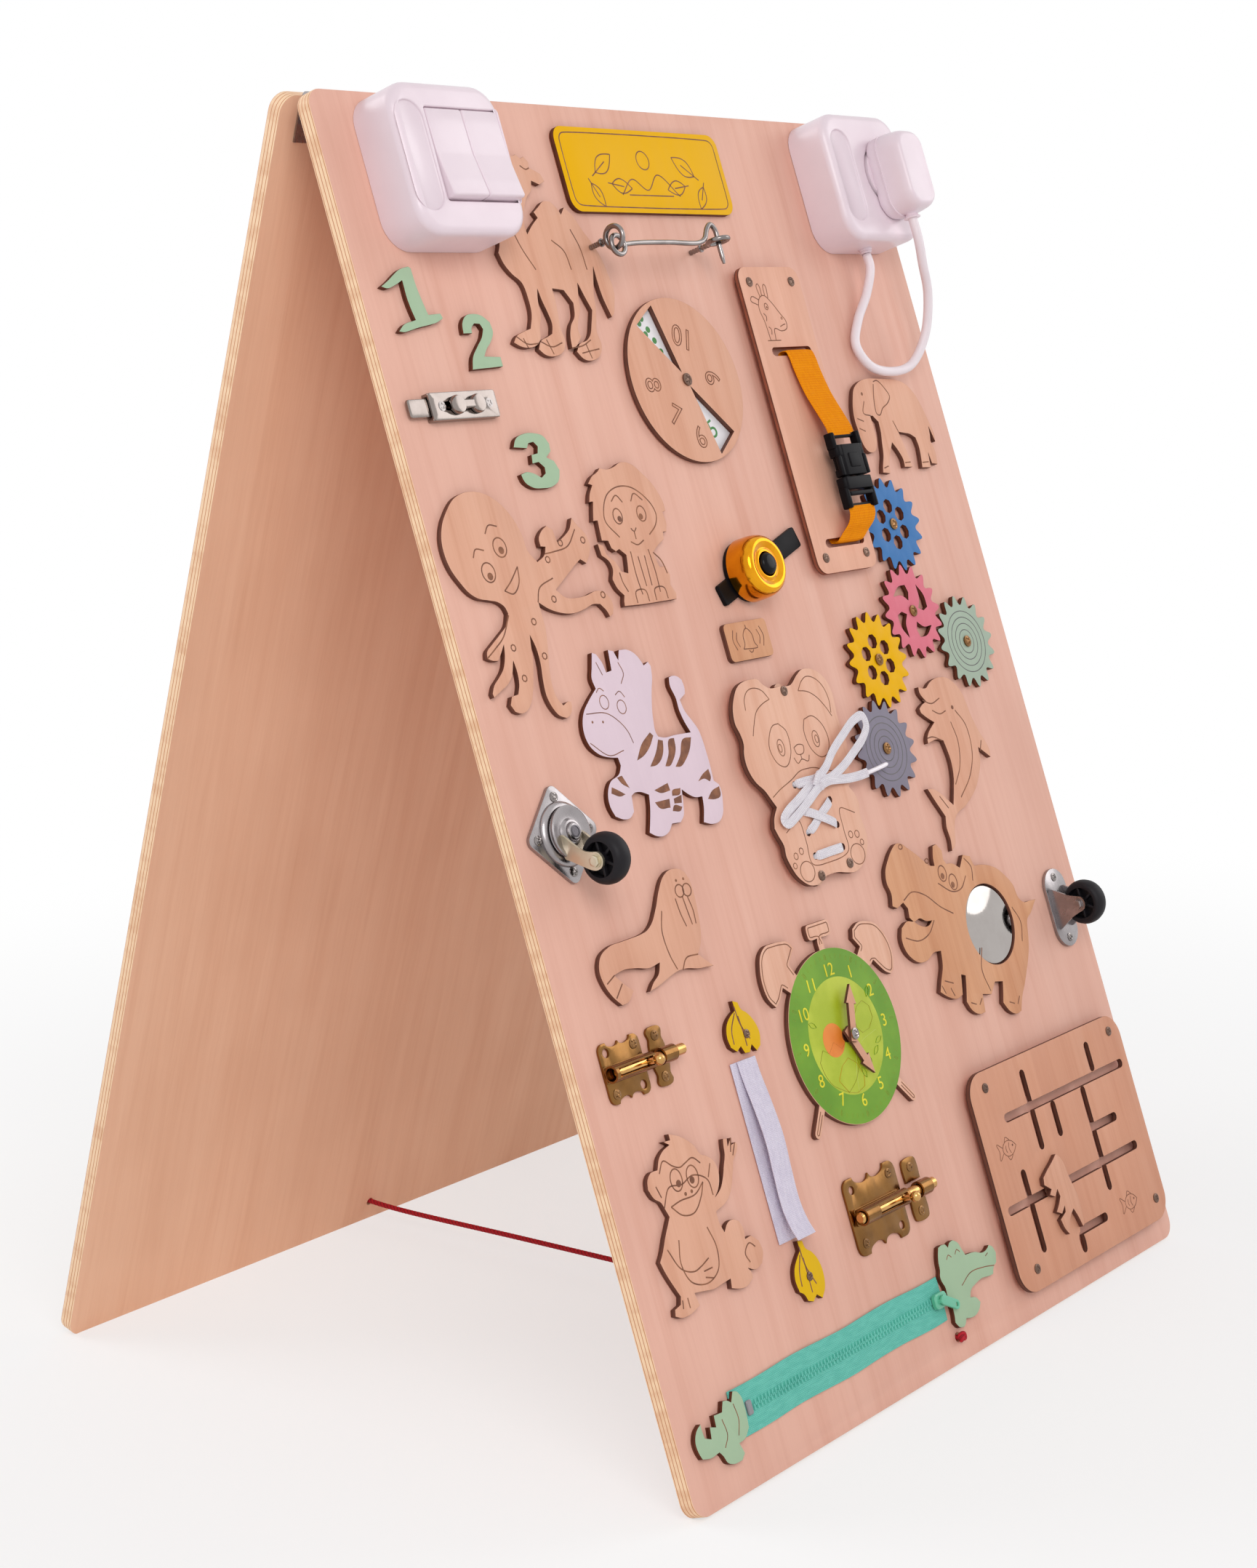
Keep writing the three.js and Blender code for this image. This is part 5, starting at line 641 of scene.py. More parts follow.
OCTOPUS_LINES = [
    [(37, 225), (41, 221), (47, 222)], [(24, 236), (27, 232), (33, 233)],
    [(40, 254), (46, 256), (52, 251), (54, 243)], [(40, 254), (46, 250), (54, 243)],
    [(14.5, 285), (22, 281), (30, 276), (38, 266)], [(62, 262), (66, 255), (78, 251)],
    [(77, 238.5), (84, 238), (96, 236), (105, 228)],
]
LION_LINES = [
    [(139, 235), (131, 226), (132, 220), (137, 213), (144, 209.5), (152, 208.5), (160, 210), (168, 215),
     (173, 221), (174, 226), (171, 231), (164, 235.5)],
    [(131, 253), (131.5, 258), (134, 263.5)], [(144.5, 243), (144, 256), (145, 266)],
    [(149.5, 246), (150, 262)], [(155, 246), (154.5, 262)], [(159.5, 243), (160.5, 256), (160, 266)],
    [(150, 231), (152, 233), (154.5, 231)], [(152, 233), (152, 237)], [(147, 238), (152, 240), (158, 238)],
    [(139, 270), (140, 264), (148, 264), (149, 270)], [(155, 270), (156, 264), (164, 264), (165, 270)],
    [(140, 216), (145, 213), (149, 217)], [(156, 217), (160, 213),
     (166, 217)], [(163, 245), (168, 250), (170, 257)],
]
WALRUS_LINES = [
    [(91, 424), (87, 434), (88, 446), (91, 454)], [(104, 420), (105, 428), (107, 435)],
    [(110, 420), (111, 428),
     (112, 435)], [(114, 421), (115.5, 428), (115, 435)], [(36, 450), (43, 447)], [(40, 458), (47, 452)],
    [(95, 455), (100, 450), (110, 450)],
]
MONKEY_LINES = [
    [(38, 561), (45, 567), (54, 568), (62, 562), (66, 556)], [(38, 561), (46, 560), (58, 560), (66, 556)],
    [(33, 560), (40, 552), (50, 553), (60, 551), (70, 556), (71, 564)], [(31, 549), (33, 555)],
    [(75, 549), (71, 555)], [(37, 577), (34, 588), (38, 598), (50, 602), (60, 598), (63, 588), (60, 577)],
    [(27, 579), (33, 590), (42, 594), (49, 593)], [(49, 593), (55, 591)], [(49, 596), (56, 596)],
    [(49, 599), (55, 601)], [(96, 541.5), (93, 548)], [(98, 544.5), (94, 550)], [(27, 608), (28, 604)],
    [(32, 609), (32, 604)], [(36, 544), (41, 539), (47, 543), (52, 545), (57, 544), (63, 543), (68, 547)],
    [(92, 596), (88, 593), (83, 597),
     (85, 602)],
]
DOLPHIN_LINES = [
    [(381, 359), (388, 362), (395, 361)], [(374, 352), (382, 355), (392, 353)],
    [(397, 368), (399, 380), (394, 394),
     (384, 404)], [(405, 362), (412, 372), (411, 388), (402, 401), (386, 412)],
    [(368, 374), (374, 374), (382, 377)], [(420, 389), (424, 383)], [(364, 408), (370, 416)],
]
HIPPO_LINES = [
    [(300, 458), (310, 455), (322, 459), (334, 468), (345, 474)], [(292, 478), (304, 482), (316, 480),
                                                                   (324, 474)],
    [(338, 455), (350, 462), (360, 462), (368, 456)], [(371, 446), (376, 452), (374, 460)],
    [(318, 508), (326, 511)], [(338, 525), (343, 527)], [(346, 528), (350, 525)], [(377, 533), (382, 535)],
    [(385, 536), (389, 532)], [(314, 510), (316, 515)], [(322, 513), (324, 518)],
    [(361, 523), (358, 510), (364, 498)], [(407, 482), (412, 492), (408, 503)],
]
PLATE_PIECES = [
    ("camel", cut_birch, CAMEL_LINES, [], [((128, 37), 0.9)]),
    ("elephant", cut_birch, ELEPHANT_LINES, [], [((400, 168.5), 1.1)]),
    ("octopus", cut_birch, OCTOPUS_LINES,
     [((45, 232.5), 4.7, 1.1, 8), ((32, 244), 4.7, 1.1, 8)] + [(place, 1.7) for place in (
         (55, 271), (35, 282), (56, 288.5), (37, 297.5), (78, 241.5), (74.5, 261.5), (91, 234), (109, 234),
         (113, 263))], [((45.5, 234), 2.0), ((32.5, 246), 2.0)]),
    ("lion", cut_birch, LION_LINES, [((142, 224), 3.6, 1.2), ((162, 224), 3.6, 1.2)],
     [((143, 225.5), 1.7), ((161, 225.5), 1.7)]),
    ("walrus", cut_birch, WALRUS_LINES, [((109, 417), 3.4), ((115, 417.5), 3.4)],
     [((108.5, 411.5), 0.8), ((114.5, 411.7), 0.8)]),
    ("monkey", cut_birch, MONKEY_LINES, [((47, 550), 4.4, 1.3), ((59.5, 551.5), 4.4, 1.3)],
     [((48, 552), 1.9), ((58.5, 553), 1.9), ((51, 558), 1.0), ((56, 558), 1.0)]),
    ("dolphin", cut_birch, DOLPHIN_LINES, [], [((403, 360), 1.3)]),
    ("hippo", toasted, HIPPO_LINES, [((311, 429), 2.0, 0.7), ((333, 441), 2.0, 0.7), ((345, 450.5), 4.0, 1.2),
                                     ((353.5, 457), 4.0, 1.2)], [((344.5, 452), 1.9), ((352.5, 458.5), 1.9)]),
]
for name, wood, strokes, ovals, dots in PLATE_PIECES:
    piece(name + "_plate", "board", wood, *cut(name, LEVEL["plate"], THIN), stands_for=(name,),
          slot="cut_plywood")
    engrave(name + "_lines", "board", LEVEL["plate"], strokes, 0.75, ovals, dots)

# Zebra: the same ply painted white, with its stripes cut through the paint by the beam.
white_paint = ply("white_painted_ply", (230, 208, 218), (214, 190, 202), BURNT, CHARRED, cover=0.75,
                  gloss=0.42)
piece("zebra_plate", "board", white_paint, *cut("zebra", LEVEL["plate"], THIN), stands_for=("zebra",),
      slot="white_wood")
STRIPES = [
    [(120, 336), (122, 338), (117, 343), (110, 347), (104, 348.5), (111, 341)],
    [(125, 340.5), (128.5, 341.5), (127, 346), (124, 350), (118, 353), (113, 353), (121, 346)],
    [(134, 341.5), (138, 341.5), (137, 347), (133, 352), (128, 355), (125, 354.5), (130, 349)],
    [(145, 343), (152, 343), (149, 348), (143, 353.5), (137, 356.5), (133, 356), (139, 351)],
    [(85, 354.5), (89, 354), (92.5, 361), (87, 357.5)], [(79, 358.5), (82, 360), (88, 363.5), (84, 364),
                                                         (77.5, 361.5)],
    [(111, 365), (123, 363), (123.5, 367), (115, 367)], [(109, 371), (121, 371), (120, 375.5), (111, 374)],
    [(124.5, 368), (132, 367), (131, 369.5), (124, 370)], [(124.5, 371.5), (131.5, 370.5), (130, 374.5),
                                                           (124, 374)],
    [(123, 375), (129.5, 376.5), (128, 378), (121, 377.5)], [(159, 361), (159, 366), (157.5, 367.5),
                                                             (154, 365.5), (148, 366), (153, 363)],
    [(164, 371), (163, 376), (158, 377), (152, 376), (157, 372.5)],
]


def patch(outline, level, rise=0.06):
    """Flat burnt patch inside a closed line, its foot sunk in the face."""
    loop = spot(np.array(outline, float))
    loop = loop if signed(loop) > 0 else loop[::-1]
    return slab(smoothed(loop, 1.0, 70), [], level - SUNK, level + rise, edge=0.02)


stripes = [shell for stripe in STRIPES for shell in patch(stripe, LEVEL["plate"])]
piece("zebra_stripes", "board", burn, *stripes, weld=0)
engrave("zebra_lines", "board", LEVEL["plate"], [
    [(75, 320.5), (90, 322), (98, 327), (103, 333), (105, 339.5)], [(72, 335), (84, 343), (96, 342)],
    [(87, 311), (90, 309), (93, 311)], [(101, 314), (105, 312.5), (108, 316)], [(93, 296), (95.5, 303)],
    [(110, 298), (112, 304), (108, 309)]], 0.5, [((91, 316.5), 3.4, 1.1), ((103.5, 320.5), 3.4, 1.1)],
    [((78, 325), 0.7), ((86, 326), 0.7)])

# Numerals, bananas and crocodile: joined to the panel, mint and yellow paint over ply.
mint_paint = ply("mint_painted_ply", (170, 196, 164), (156, 182, 150), BURNT, CHARRED, cover=0.85, gloss=0.45)
yellow_paint = ply("yellow_painted_ply", (238, 180, 0), (224, 162, 0), BURNT, CHARRED, cover=1.0, gloss=0.42)
banana_paint = ply("banana_painted_ply", (230, 186, 24), (206, 158, 12), BURNT, CHARRED, cover=0.85,
                   gloss=0.45)
JOINED = {
    "numeral_one": ((30, 107), mint_paint), "numeral_two": ((73, 129), mint_paint),
    "numeral_three": ((91, 191), mint_paint), "upper_banana": ((128, 492), banana_paint),
    "lower_banana": ((128, 619), banana_paint), "crocodile_head": ((266, 663), mint_paint),
    "crocodile_tail": ((31, 670), mint_paint), "bell_plaque": ((224.5, 299), toasted),
}
# An island of the panel's node belongs to the place that its middle is this near to.
NEAR = 15
for middle, parts in plates("front_panel", LEVEL["joined"], THIN):
    near = {name: np.linalg.norm(spot(place) - middle) for name, (place, _) in JOINED.items()}
    name = min(near, key=near.get)
    if near[name] < NEAR and name not in bpy.data.objects:
        piece(name, "board", JOINED[name][1], *parts, slot="cut_plywood")
engrave("crocodile_lines", "board", LEVEL["joined"], [
    [(247.5, 648.5), (250, 646.5), (252.5, 648.5)], [(256.5, 648), (259, 646), (261.5, 648)],
    [(255, 665), (266, 661), (280, 662), (290, 664)], [(284, 657), (287, 656)],
    [(33, 664), (34, 672), (30, 677)], [(44, 660), (45, 668), (42, 675)]], 0.55)
engrave("banana_lines", "board", LEVEL["joined"], [
    [(127, 481), (128, 490), (133, 499)], [(126, 484), (120, 492), (119, 499)],
    [(128, 486), (129, 496), (129, 502)], [(126, 606), (127, 616), (132, 627)],
    [(125, 610), (121, 618), (120, 625)], [(127, 612), (127, 622), (127, 630)]], 0.8)
BANANA_SCREWS = [(131, 496), (128, 622)]
engrave("plaque_lines", "board", LEVEL["joined"], [
    [(218, 303.5), (220, 301), (220.5, 296), (224.5, 292.5), (228.5, 296), (229, 301), (231, 303.5),
     (218, 303.5)],
    [(222.5, 304.5), (224.5, 306.2), (226.5, 304.5)], [(224.5, 292.5), (224.5, 290.6)],
    [(215.5, 294), (213.8, 298), (215.5, 302)], [(212.5, 292.5), (210.4, 298), (212.5, 303.5)],
    [(233.5, 294), (235.2, 298), (233.5, 302)], [(236.5, 292.5), (238.6, 298), (236.5, 303.5)]], 0.6)

# Sign: yellow painted board; its face carries a plain border, leaves, a line of hills and a sun.
SIGN = {"middle": (248.8, 36.4), "border": (138, 42, 5)}
piece("sign_plate", "board", yellow_paint, *cut("sign_board", LEVEL["plate"], THIN),
      stands_for=("sign_board",), slot="yellow_wood")


def leaf(place, length, turn):
    """Leaf outline with its middle rib, as strokes in squares."""
    angle = math.radians(turn)
    way, side = np.array([math.cos(angle), math.sin(angle)]), np.array([-math.sin(angle), math.cos(angle)])
    share, bow = np.linspace(0, 1, 6)[:, None], np.array([0, 0.16, 0.24, 0.22, 0.13, 0])[:, None]
    rib = np.array(place) + share * length * way
    stalk = np.array(place) - 0.2 * length * way + share[:5] * length * way
    return [rib + bow * length * side, rib - bow * length * side, stalk]


border = oblong(*SIGN["border"], per=4) / SQUARE + SIGN["middle"]
LEAVES = [((203, 38), 20, -32), ((215, 44), 17, 8), ((197, 44), 15, 60), ((292, 38), 20, -148),
          ((281, 44), 17, 172), ((298, 44), 15, 120)]
sprig = [stroke for place, length, turn in LEAVES for stroke in leaf(place, length, turn)]
hills = [[(222, 50), (234, 41), (246, 47), (258, 38), (274, 50)], [(228, 50), (250, 50), (268, 50)]]
engrave("sign_lines", "board", LEVEL["plate"], sprig + hills + [np.vstack([border, border[:1]])], 0.7,
        [((248, 30), 5.5)])

# Studio: a floor that keeps the board's shadow and turns plain white farther off, an even pale sky and three
# large soft lamps that face one point in the board.
LAMPS = [("key_lamp", (-1.5, -1.9, 1.9), 1.5, 27), ("side_lamp", (1.9, -1.3, 1.4), 1.6, 10.5),
         ("rear_lamp", (-0.9, 2.0, 1.5), 1.7, 18)]
LIT_POINT = (0, 0, 0.35)
AMBIENT = 0.5


def seen_rays(tree):
    """1 for camera, mirror and glass rays, else 0."""
    rays = [Shade(tree).make("ShaderNodeLightPath", out=name)
            for name in ("Is Camera Ray", "Is Glossy Ray", "Is Transmission Ray")]
    return rays[0].maths("MAXIMUM", rays[1]).maths("MAXIMUM", rays[2])


def studio():
    """Sky, floor and lamps."""
    world = bpy.data.worlds.new("studio_sky")
    bpy.context.scene.world = world
    world.use_nodes = True
    tree = world.node_tree
    output = tree.nodes["World Output"]
    white = Shade(tree).make("ShaderNodeBackground", {"Color": (1, 1, 1, 1), "Strength": 1.0})
    sky = Shade(tree).make("ShaderNodeBackground", {"Color": (1, 0.985, 0.99, 1), "Strength": AMBIENT})
    blend = Shade(tree).make("ShaderNodeMixShader", {0: seen_rays(tree), 1: sky, 2: white})
    tree.links.new(blend.socket, output.inputs["Surface"])
    mesh = bpy.data.meshes.new("studio_floor")
    mesh.from_pydata([(-9, -9, 0), (9, -9, 0), (9, 9, 0), (-9, 9, 0)], [], [(0, 1, 2, 3)])
    floor = bpy.data.objects.new("studio_floor", mesh)
    bpy.context.scene.collection.objects.link(floor)
    pale = bpy.data.materials.new("pale_floor")
    pale.use_nodes = True
    tree = pale.node_tree
    shader = tree.nodes["Principled BSDF"]
    shader.inputs["Base Color"].default_value = (0.93, 0.93, 0.93, 1)
    shader.inputs["Roughness"].default_value = 0.9
    away = Shade(tree).make("ShaderNodeVectorMath", {0: Shade(tree).make("ShaderNodeTexCoord", out=3)}, out=1,
                            operation="LENGTH").step(0.4, 1.4, 0.6, 1.0)
    glow = Shade(tree).make("ShaderNodeEmission", {"Color": (1, 1, 1, 1), "Strength": 1.0})
    far = Shade(tree).make("ShaderNodeMixShader", {0: away * seen_rays(tree),
                                                   1: Shade(tree, shader.outputs[0]), 2: glow})
    tree.links.new(far.socket, tree.nodes["Material Output"].inputs["Surface"])
    mesh.materials.append(pale)
    for name, place, size, power in LAMPS:
        lamp = bpy.data.lights.new(name, "AREA")
        lamp.shape, lamp.size, lamp.energy = "DISK", size, power
        lamp.use_shadow = True
        back = np.array(place) - LIT_POINT
        back = back / np.linalg.norm(back)
        right = np.cross([0, 0, 1], back)
        right /= np.linalg.norm(right)
        stand(bpy.data.objects.new(name, lamp), right, np.cross(back, right), back, place)
    bpy.context.scene.view_settings.view_transform = "Standard"


studio()

# Limit string: red twisted cord, 3.2 mm thick, drawn tight through both panels and knotted outside them.
STRANDS, TWIST = 3, 9.0


def twisted(path, radius, sides=21):
    """Twisted cord: a tube whose radius swells over each strand, the strands turning once in each twist."""
    points, faces, lay = tube(path, 1.0, sides, (1, 0, 0))
    centre = np.repeat(np.asarray(path, float), sides, 0)
    swell = np.abs(np.cos(STRANDS / 2 * (2 * np.pi * lay[:, 1] + 2 * np.pi * lay[:, 0] / TWIST)))
    return centre + (points - centre) * (radius * (0.9 + 0.12 * swell))[:, None], faces, lay


def fibres(colour, shadow):
    """Twisted fibres: dark between the strands, fine hairs along them."""
    colour, shadow = tints(colour, shadow)

    def paint(start):
        lay = start.make("ShaderNodeAttribute", out=1, attribute_name="lay")
        strand = (lay.part("Y") * (math.pi * STRANDS)
                  + lay.part("X") * (math.pi * STRANDS / TWIST)).maths("COSINE")
        strand = strand.maths("ABSOLUTE")
        hair = lay.place(1.2, 30, 1).noise(3.0)
        return {"Base Color": (strand.step(0.0, 0.7) * 0.75 + hair.step(0.3, 0.7) * 0.25).mix(shadow, colour),
                "Roughness": hair.step(0, 1, 0.7, 0.9), "Bump": (strand + hair * 0.4, 0.5, 0.0006)}
    return paint


red_cord = finish("red_twisted_cord", fibres((196, 18, 40), (112, 4, 20)))
DROP = -spot(STRING["place"])[1]


def string_point(side, out):
    """World millimetres of a point on the string's line, out of one panel's face."""
    reach = PANEL["thickness"] + out
    return [STRING["place"][0] - PANEL["width"] / 2, side * (PANEL["gap"] / 2 + DROP * SINE + reach * COSINE),
            PANEL["height"] * COSINE - PANEL["foot"] - DROP * COSINE + reach * SINE]


# The route: from each knot straight through its panel, and a straight run between the panels' inner faces.
KNOT_AT, IN_HOLE, INNER_FACE = 2.2, -4, -PANEL["thickness"] - 0.6 * STRING["hole"]
front_end, rear_end = (np.array(string_point(side, INNER_FACE)) for side in (-1, 1))
chord = [front_end + (rear_end - front_end) * share for share in (0.04, 0.3, 0.7, 0.96)]
string_route = curve([string_point(-1, KNOT_AT), string_point(-1, IN_HOLE), *chord, string_point(1, IN_HOLE),
                      string_point(1, KNOT_AT)], 420)


def knot(place, radius, size):
    """Overhand knot: a trefoil line in the board's plane, as a tube."""
    turn = np.linspace(0, 2 * np.pi, 73)[:-1]
    loop = np.column_stack([(2 + np.cos(3 * turn)) * np.cos(2 * turn), np.sin(3 * turn),
                            (2 + np.cos(3 * turn)) * np.sin(2 * turn)]) * size
    return tube(loop + place, radius, 12, (0.02, 1, 0.01), closed=True)


def world(points):
    """World metres of world millimetres."""
    return np.asarray(points, float) * MM


string = piece("red_limit_string", None, red_cord, twisted(string_route, STRING["radius"]), at=world,
               stands_for=("limit_string",), slot="red_string", weld=0, sharp=180)
knots = [piece(name, body, red_cord, knot(string_point(side, 3.0), 1.25, 0.74), at=world, slot="red_string",
               weld=0, sharp=180)
         for name, body, side in (("front_string_knot", "board", -1), ("rear_string_knot", "rear", 1))]
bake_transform(string)

# Switch box and socket box: white moulded housings with a sunk capsule beside a well. The switch's two
# rockers lie tilted in theirs; the socket's round well takes the plug.
BOX = {"width": 80, "height": 81.5, "depth": 28, "corner": 16, "round": 5, "capsule": (20, 58), "recess": 1.5}
TOP = GLUE + BOX["depth"]
SWITCH, SOCKET = spot((67, 43)), spot((440, 42.5))
SWITCH_WELL, SOCKET_WELL = spot((77.2, 41)), spot((453.5, 41.5))
WELL = {"width": 54.5, "height": 50.1, "depth": 10, "corner": 1.6}
ROCKER = {"width": 26.575, "height": 48.3, "level": 24.3, "front": 6.4, "dip": 1.7, "tilt": -5.7}
ROUND_WELL = {"radius": 19.8, "depth": 9, "pin": 2.65, "spread": 9.5}


def moulded(colour, deep, roughness=0.36, grain=0.05):
    """Moulded plastic: fine pits, faint flow clouds and slightly uneven gloss."""
    colour, deep = tints(colour, deep)

    def paint(start):
        source = start.make("ShaderNodeTexCoord", out=3)
        cloud = source.place(22, 22, 22).noise(3.0)
        pits = source.place(1500, 1500, 1500).noise(2.0)
        return {"Base Color": (cloud.step(0.3, 0.75) * 0.5 + pits.step(0.5, 0.9) * 0.25).mix(colour, deep),
                "Roughness": cloud.step(0.2, 0.8, roughness - 0.06, roughness + 0.08),
                "Bump": (pits, grain, 0.0002)}
    return paint


white_plastic = finish("white_moulded_plastic", moulded((238, 221, 229), (226, 207, 216)),
                       Coat_Weight=0.25, Coat_Roughness=0.2)


def arc_rings(width, height, corner, low, high, radius, steps=6, middle=(0, 0), per=6):
    """Box wall from low to high whose upper edge is a quarter circle of the given radius."""
    angle = np.linspace(0, np.pi / 2, steps)
    levels = [(0.0, low)] + [(radius * (1 - math.cos(a)), high - radius * (1 - math.sin(a))) for a in angle]
    rings = []
    for step, level in levels:
        loop = oblong(width - 2 * step, height - 2 * step, max(corner - step, 0.4), per, middle)
        rings.append(raise_loop(loop, level))
    return np.array(rings)


def lid(outer, holes, level, up=True):
    """Flat face with holes at one level."""
    return face_over([raise_loop(loop, level) for loop in [outer] + list(holes)], up)


def cavity(loop, top, floor, lip=0.8, closed=True):
    """Well under an anticlockwise mouth: a rounded lip, walls going down and a floor that faces up."""
    angle = np.linspace(0, np.pi / 2, 4)
    rings = [raise_loop(inset(loop, -lip * (1 - math.sin(a))), top - lip * (1 - math.cos(a))) for a in angle]
    rings = np.array(rings + [raise_loop(loop, floor + 0.5), raise_loop(inset(loop, 0.5), floor)])
    points, faces = skin(rings, caps=False)
    count = len(loop)
    return points, faces + ([list(range(len(points) - count, len(points)))] if closed else [])


def housing(middle, capsule_place, mouth, floor, extra=()):
    """Box with its capsule and its well; more cavities may open in the well's floor."""
    outer = arc_rings(BOX["width"], BOX["height"], BOX["corner"], GLUE, TOP, BOX["round"], middle=middle,
                      per=8)
    foot = oblong(BOX["width"], BOX["height"], BOX["corner"], 8, middle)
    capsule = oblong(*BOX["capsule"], BOX["capsule"][0] / 2 - 0.1, 8, capsule_place)
    shells = [skin(outer, caps=False), lid(outer[-1][:, :2], [inset(capsule, -0.8), inset(mouth, -0.8)], TOP),
              cavity(capsule, TOP, TOP - BOX["recess"]), cavity(mouth, TOP, floor, closed=not extra)]
    if extra:
        shells.append(lid(inset(mouth, 0.5), [inset(loop, -0.3) for loop in extra], floor))
        shells += [cavity(loop, floor, floor - 7, 0.3) for loop in extra]
    shells.append(lid(foot, [], GLUE, up=False))
    return shells


mouth = oblong(WELL["width"], WELL["height"], WELL["corner"], 6, SWITCH_WELL)
piece("switch_box", "board", white_plastic, *housing(SWITCH, spot((38, 42)), mouth, TOP - WELL["depth"]),
      stands_for=("switch_housing",), slot="white_plastic", sharp=50)


def rocker(place):
    """Rocker: rounded sections along its height, its face dipping to the middle in a shallow V."""
    half = ROCKER["height"] / 2
    along = np.array([-1, -0.985, -0.95, -0.6, -0.2, -0.06, 0, 0.06, 0.2, 0.6, 0.95, 0.985, 1]) * half
    ease = np.array([1.3, 0.5, 0, 0, 0, 0, 0, 0, 0, 0, 0, 0.5, 1.3])
    rings = []
    for station, inward in zip(along, ease):
        high = ROCKER["front"] - ROCKER["dip"] * (1 - abs(station) / half) - inward
        section = oblong(ROCKER["width"] - 2 * inward * 0.6, high + 3, 1.1, 5)
        rings.append(np.column_stack([-section[:, 0], np.full(len(section), station),
                                      section[:, 1] + (high - 3) / 2]))
    return moved(skin(np.array(rings)), np.append(place, ROCKER["level"]), ROCKER["tilt"], "x")


for name, side in (("left_rocker", -1), ("right_rocker", 1)):
    place = SWITCH_WELL + (side * (ROCKER["width"] + 0.45) / 2, 0)
    piece(name + "_paddle", name, white_plastic, rocker(place), stands_for=(name,), slot="white_plastic",
          sharp=50)

mouth = circle(ROUND_WELL["radius"], SOCKET_WELL, 48)[::-1]
pins = [circle(ROUND_WELL["pin"], SOCKET_WELL + (side * ROUND_WELL["spread"], 0), 16)[::-1]
        for side in (-1, 1)]
GLAND_X = 438
GLAND = [(3.5, -3), (3.5, -2.6), (4.0, -2.2), (3.7, -1.5), (4.2, -1.2), (4.3, -0.4), (4.3, 0.6)]
gland = moved(along_y(lathe(GLAND, 24)), (GLAND_X, SOCKET[1] - BOX["height"] / 2, 9.6))
piece("socket_box", "board", white_plastic,
      *housing(SOCKET, spot((415, 42)), mouth, TOP - ROUND_WELL["depth"], pins), gland,
      stands_for=("socket_housing",), slot="white_plastic", sharp=50)

# Plug: white moulded grip on a round foot with two pins; its cord loops back to the box's gland.
PLUG = {"foot": 18.6, "level": 19.9, "rest": 28.8, "depth": 24.6, "width": 31, "height": 52, "corner": 12,
        "top": (21, 41, 8), "drop": 3.5}
PLUG_MIDDLE = SOCKET_WELL - (0, PLUG["drop"])


def grip_ring(wider, taller, rounder, level):
    """Rounded section of the grip at a level over its rest, by what it differs from the widest one."""
    loop = oblong(PLUG["width"] + wider, PLUG["height"] + taller, PLUG["corner"] + rounder, 8, PLUG_MIDDLE)
    return raise_loop(loop, PLUG["rest"] + level)


rise_shares = np.array([0.0, 0.04, 0.12, 0.3, 0.5, 0.66, 0.78, 0.87, 0.93, 0.97, 1.0])
narrow_shares = np.array([1.6, 0.5, 0.0, 0.0, 0.5, 1.1, 1.8, 2.8, 4.2, 5.6, 8.0]) / 8
rings = [grip_ring(-8 * narrow, -9 * narrow, -4 * narrow, rise * PLUG["depth"])
         for rise, narrow in zip(rise_shares, narrow_shares)]
rings.append(raise_loop(oblong(*PLUG["top"], 8, PLUG_MIDDLE), PLUG["rest"] + PLUG["depth"] - 0.3))
foot = lathe([(PLUG["foot"] - 1, PLUG["level"]), (PLUG["foot"], PLUG["level"] + 1),
              (PLUG["foot"], PLUG["rest"] + 0.6)],
             48, SOCKET_WELL)
pins = [lathe([(1.2, PLUG["level"] - 7.5), (2.3, PLUG["level"] - 6.6), (2.3, PLUG["level"] + 0.5)], 16,
              SOCKET_WELL + (side * ROUND_WELL["spread"], 0)) for side in (-1, 1)]
seam = skin(np.array([grip_ring(grow, grow, 0, level)
                      for level, grow in ((7.2, -1), (7.3, 0.9), (8.3, 1.1), (8.4, -1))]))
collar = moved(along_y(lathe([(3.1, 0), (5.2, 0.2), (5.4, 0.8), (4.4, 1.5), (3.6, 3.0), (4.8, 4.2)], 28)),
               (452, PLUG_MIDDLE[1] - PLUG["height"] / 2 - 3.2, 40.6))
plug = piece("cord_plug", "plug", white_plastic, skin(np.array(rings)), seam, collar, foot, *pins,
             stands_for=("plug",), slot="white_plastic", sharp=60)
CORD_RADIUS = 2.9
cord_stations = spot([(438, 86.2, 9.6), (438, 93, 9.6), (431, 108, 6.5), (417, 124, 4), (408, 139, 3.6),
                      (415, 152, 5), (433, 157, 7.4), (452, 154, 11), (464, 138, 19), (464, 116, 29),
                      (455, 99, 37), (452, 86, 40.6), (452, 74.3, 40.6)])
cord_stations[0, 1] = SOCKET[1] - BOX["height"] / 2 - 3.3
cord_stations[-1, 1] = PLUG_MIDDLE[1] - PLUG["height"] / 2 - 0.3
cord_route = curve(cord_stations, 120)
white_lead = finish("white_flexible_lead", moulded((242, 230, 234), (230, 216, 222), 0.45), Coat_Weight=0.1)
cord = piece("plug_lead", None, white_lead, tube(cord_route, CORD_RADIUS, 20, (0.3, 0.12, 1)), at=front,
             stands_for=("plug_cord",), slot="white_rubber", weld=0, sharp=180)
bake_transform(cord)

# Screws: small pan heads with a cross recess, in brass, bright steel or darkened steel.


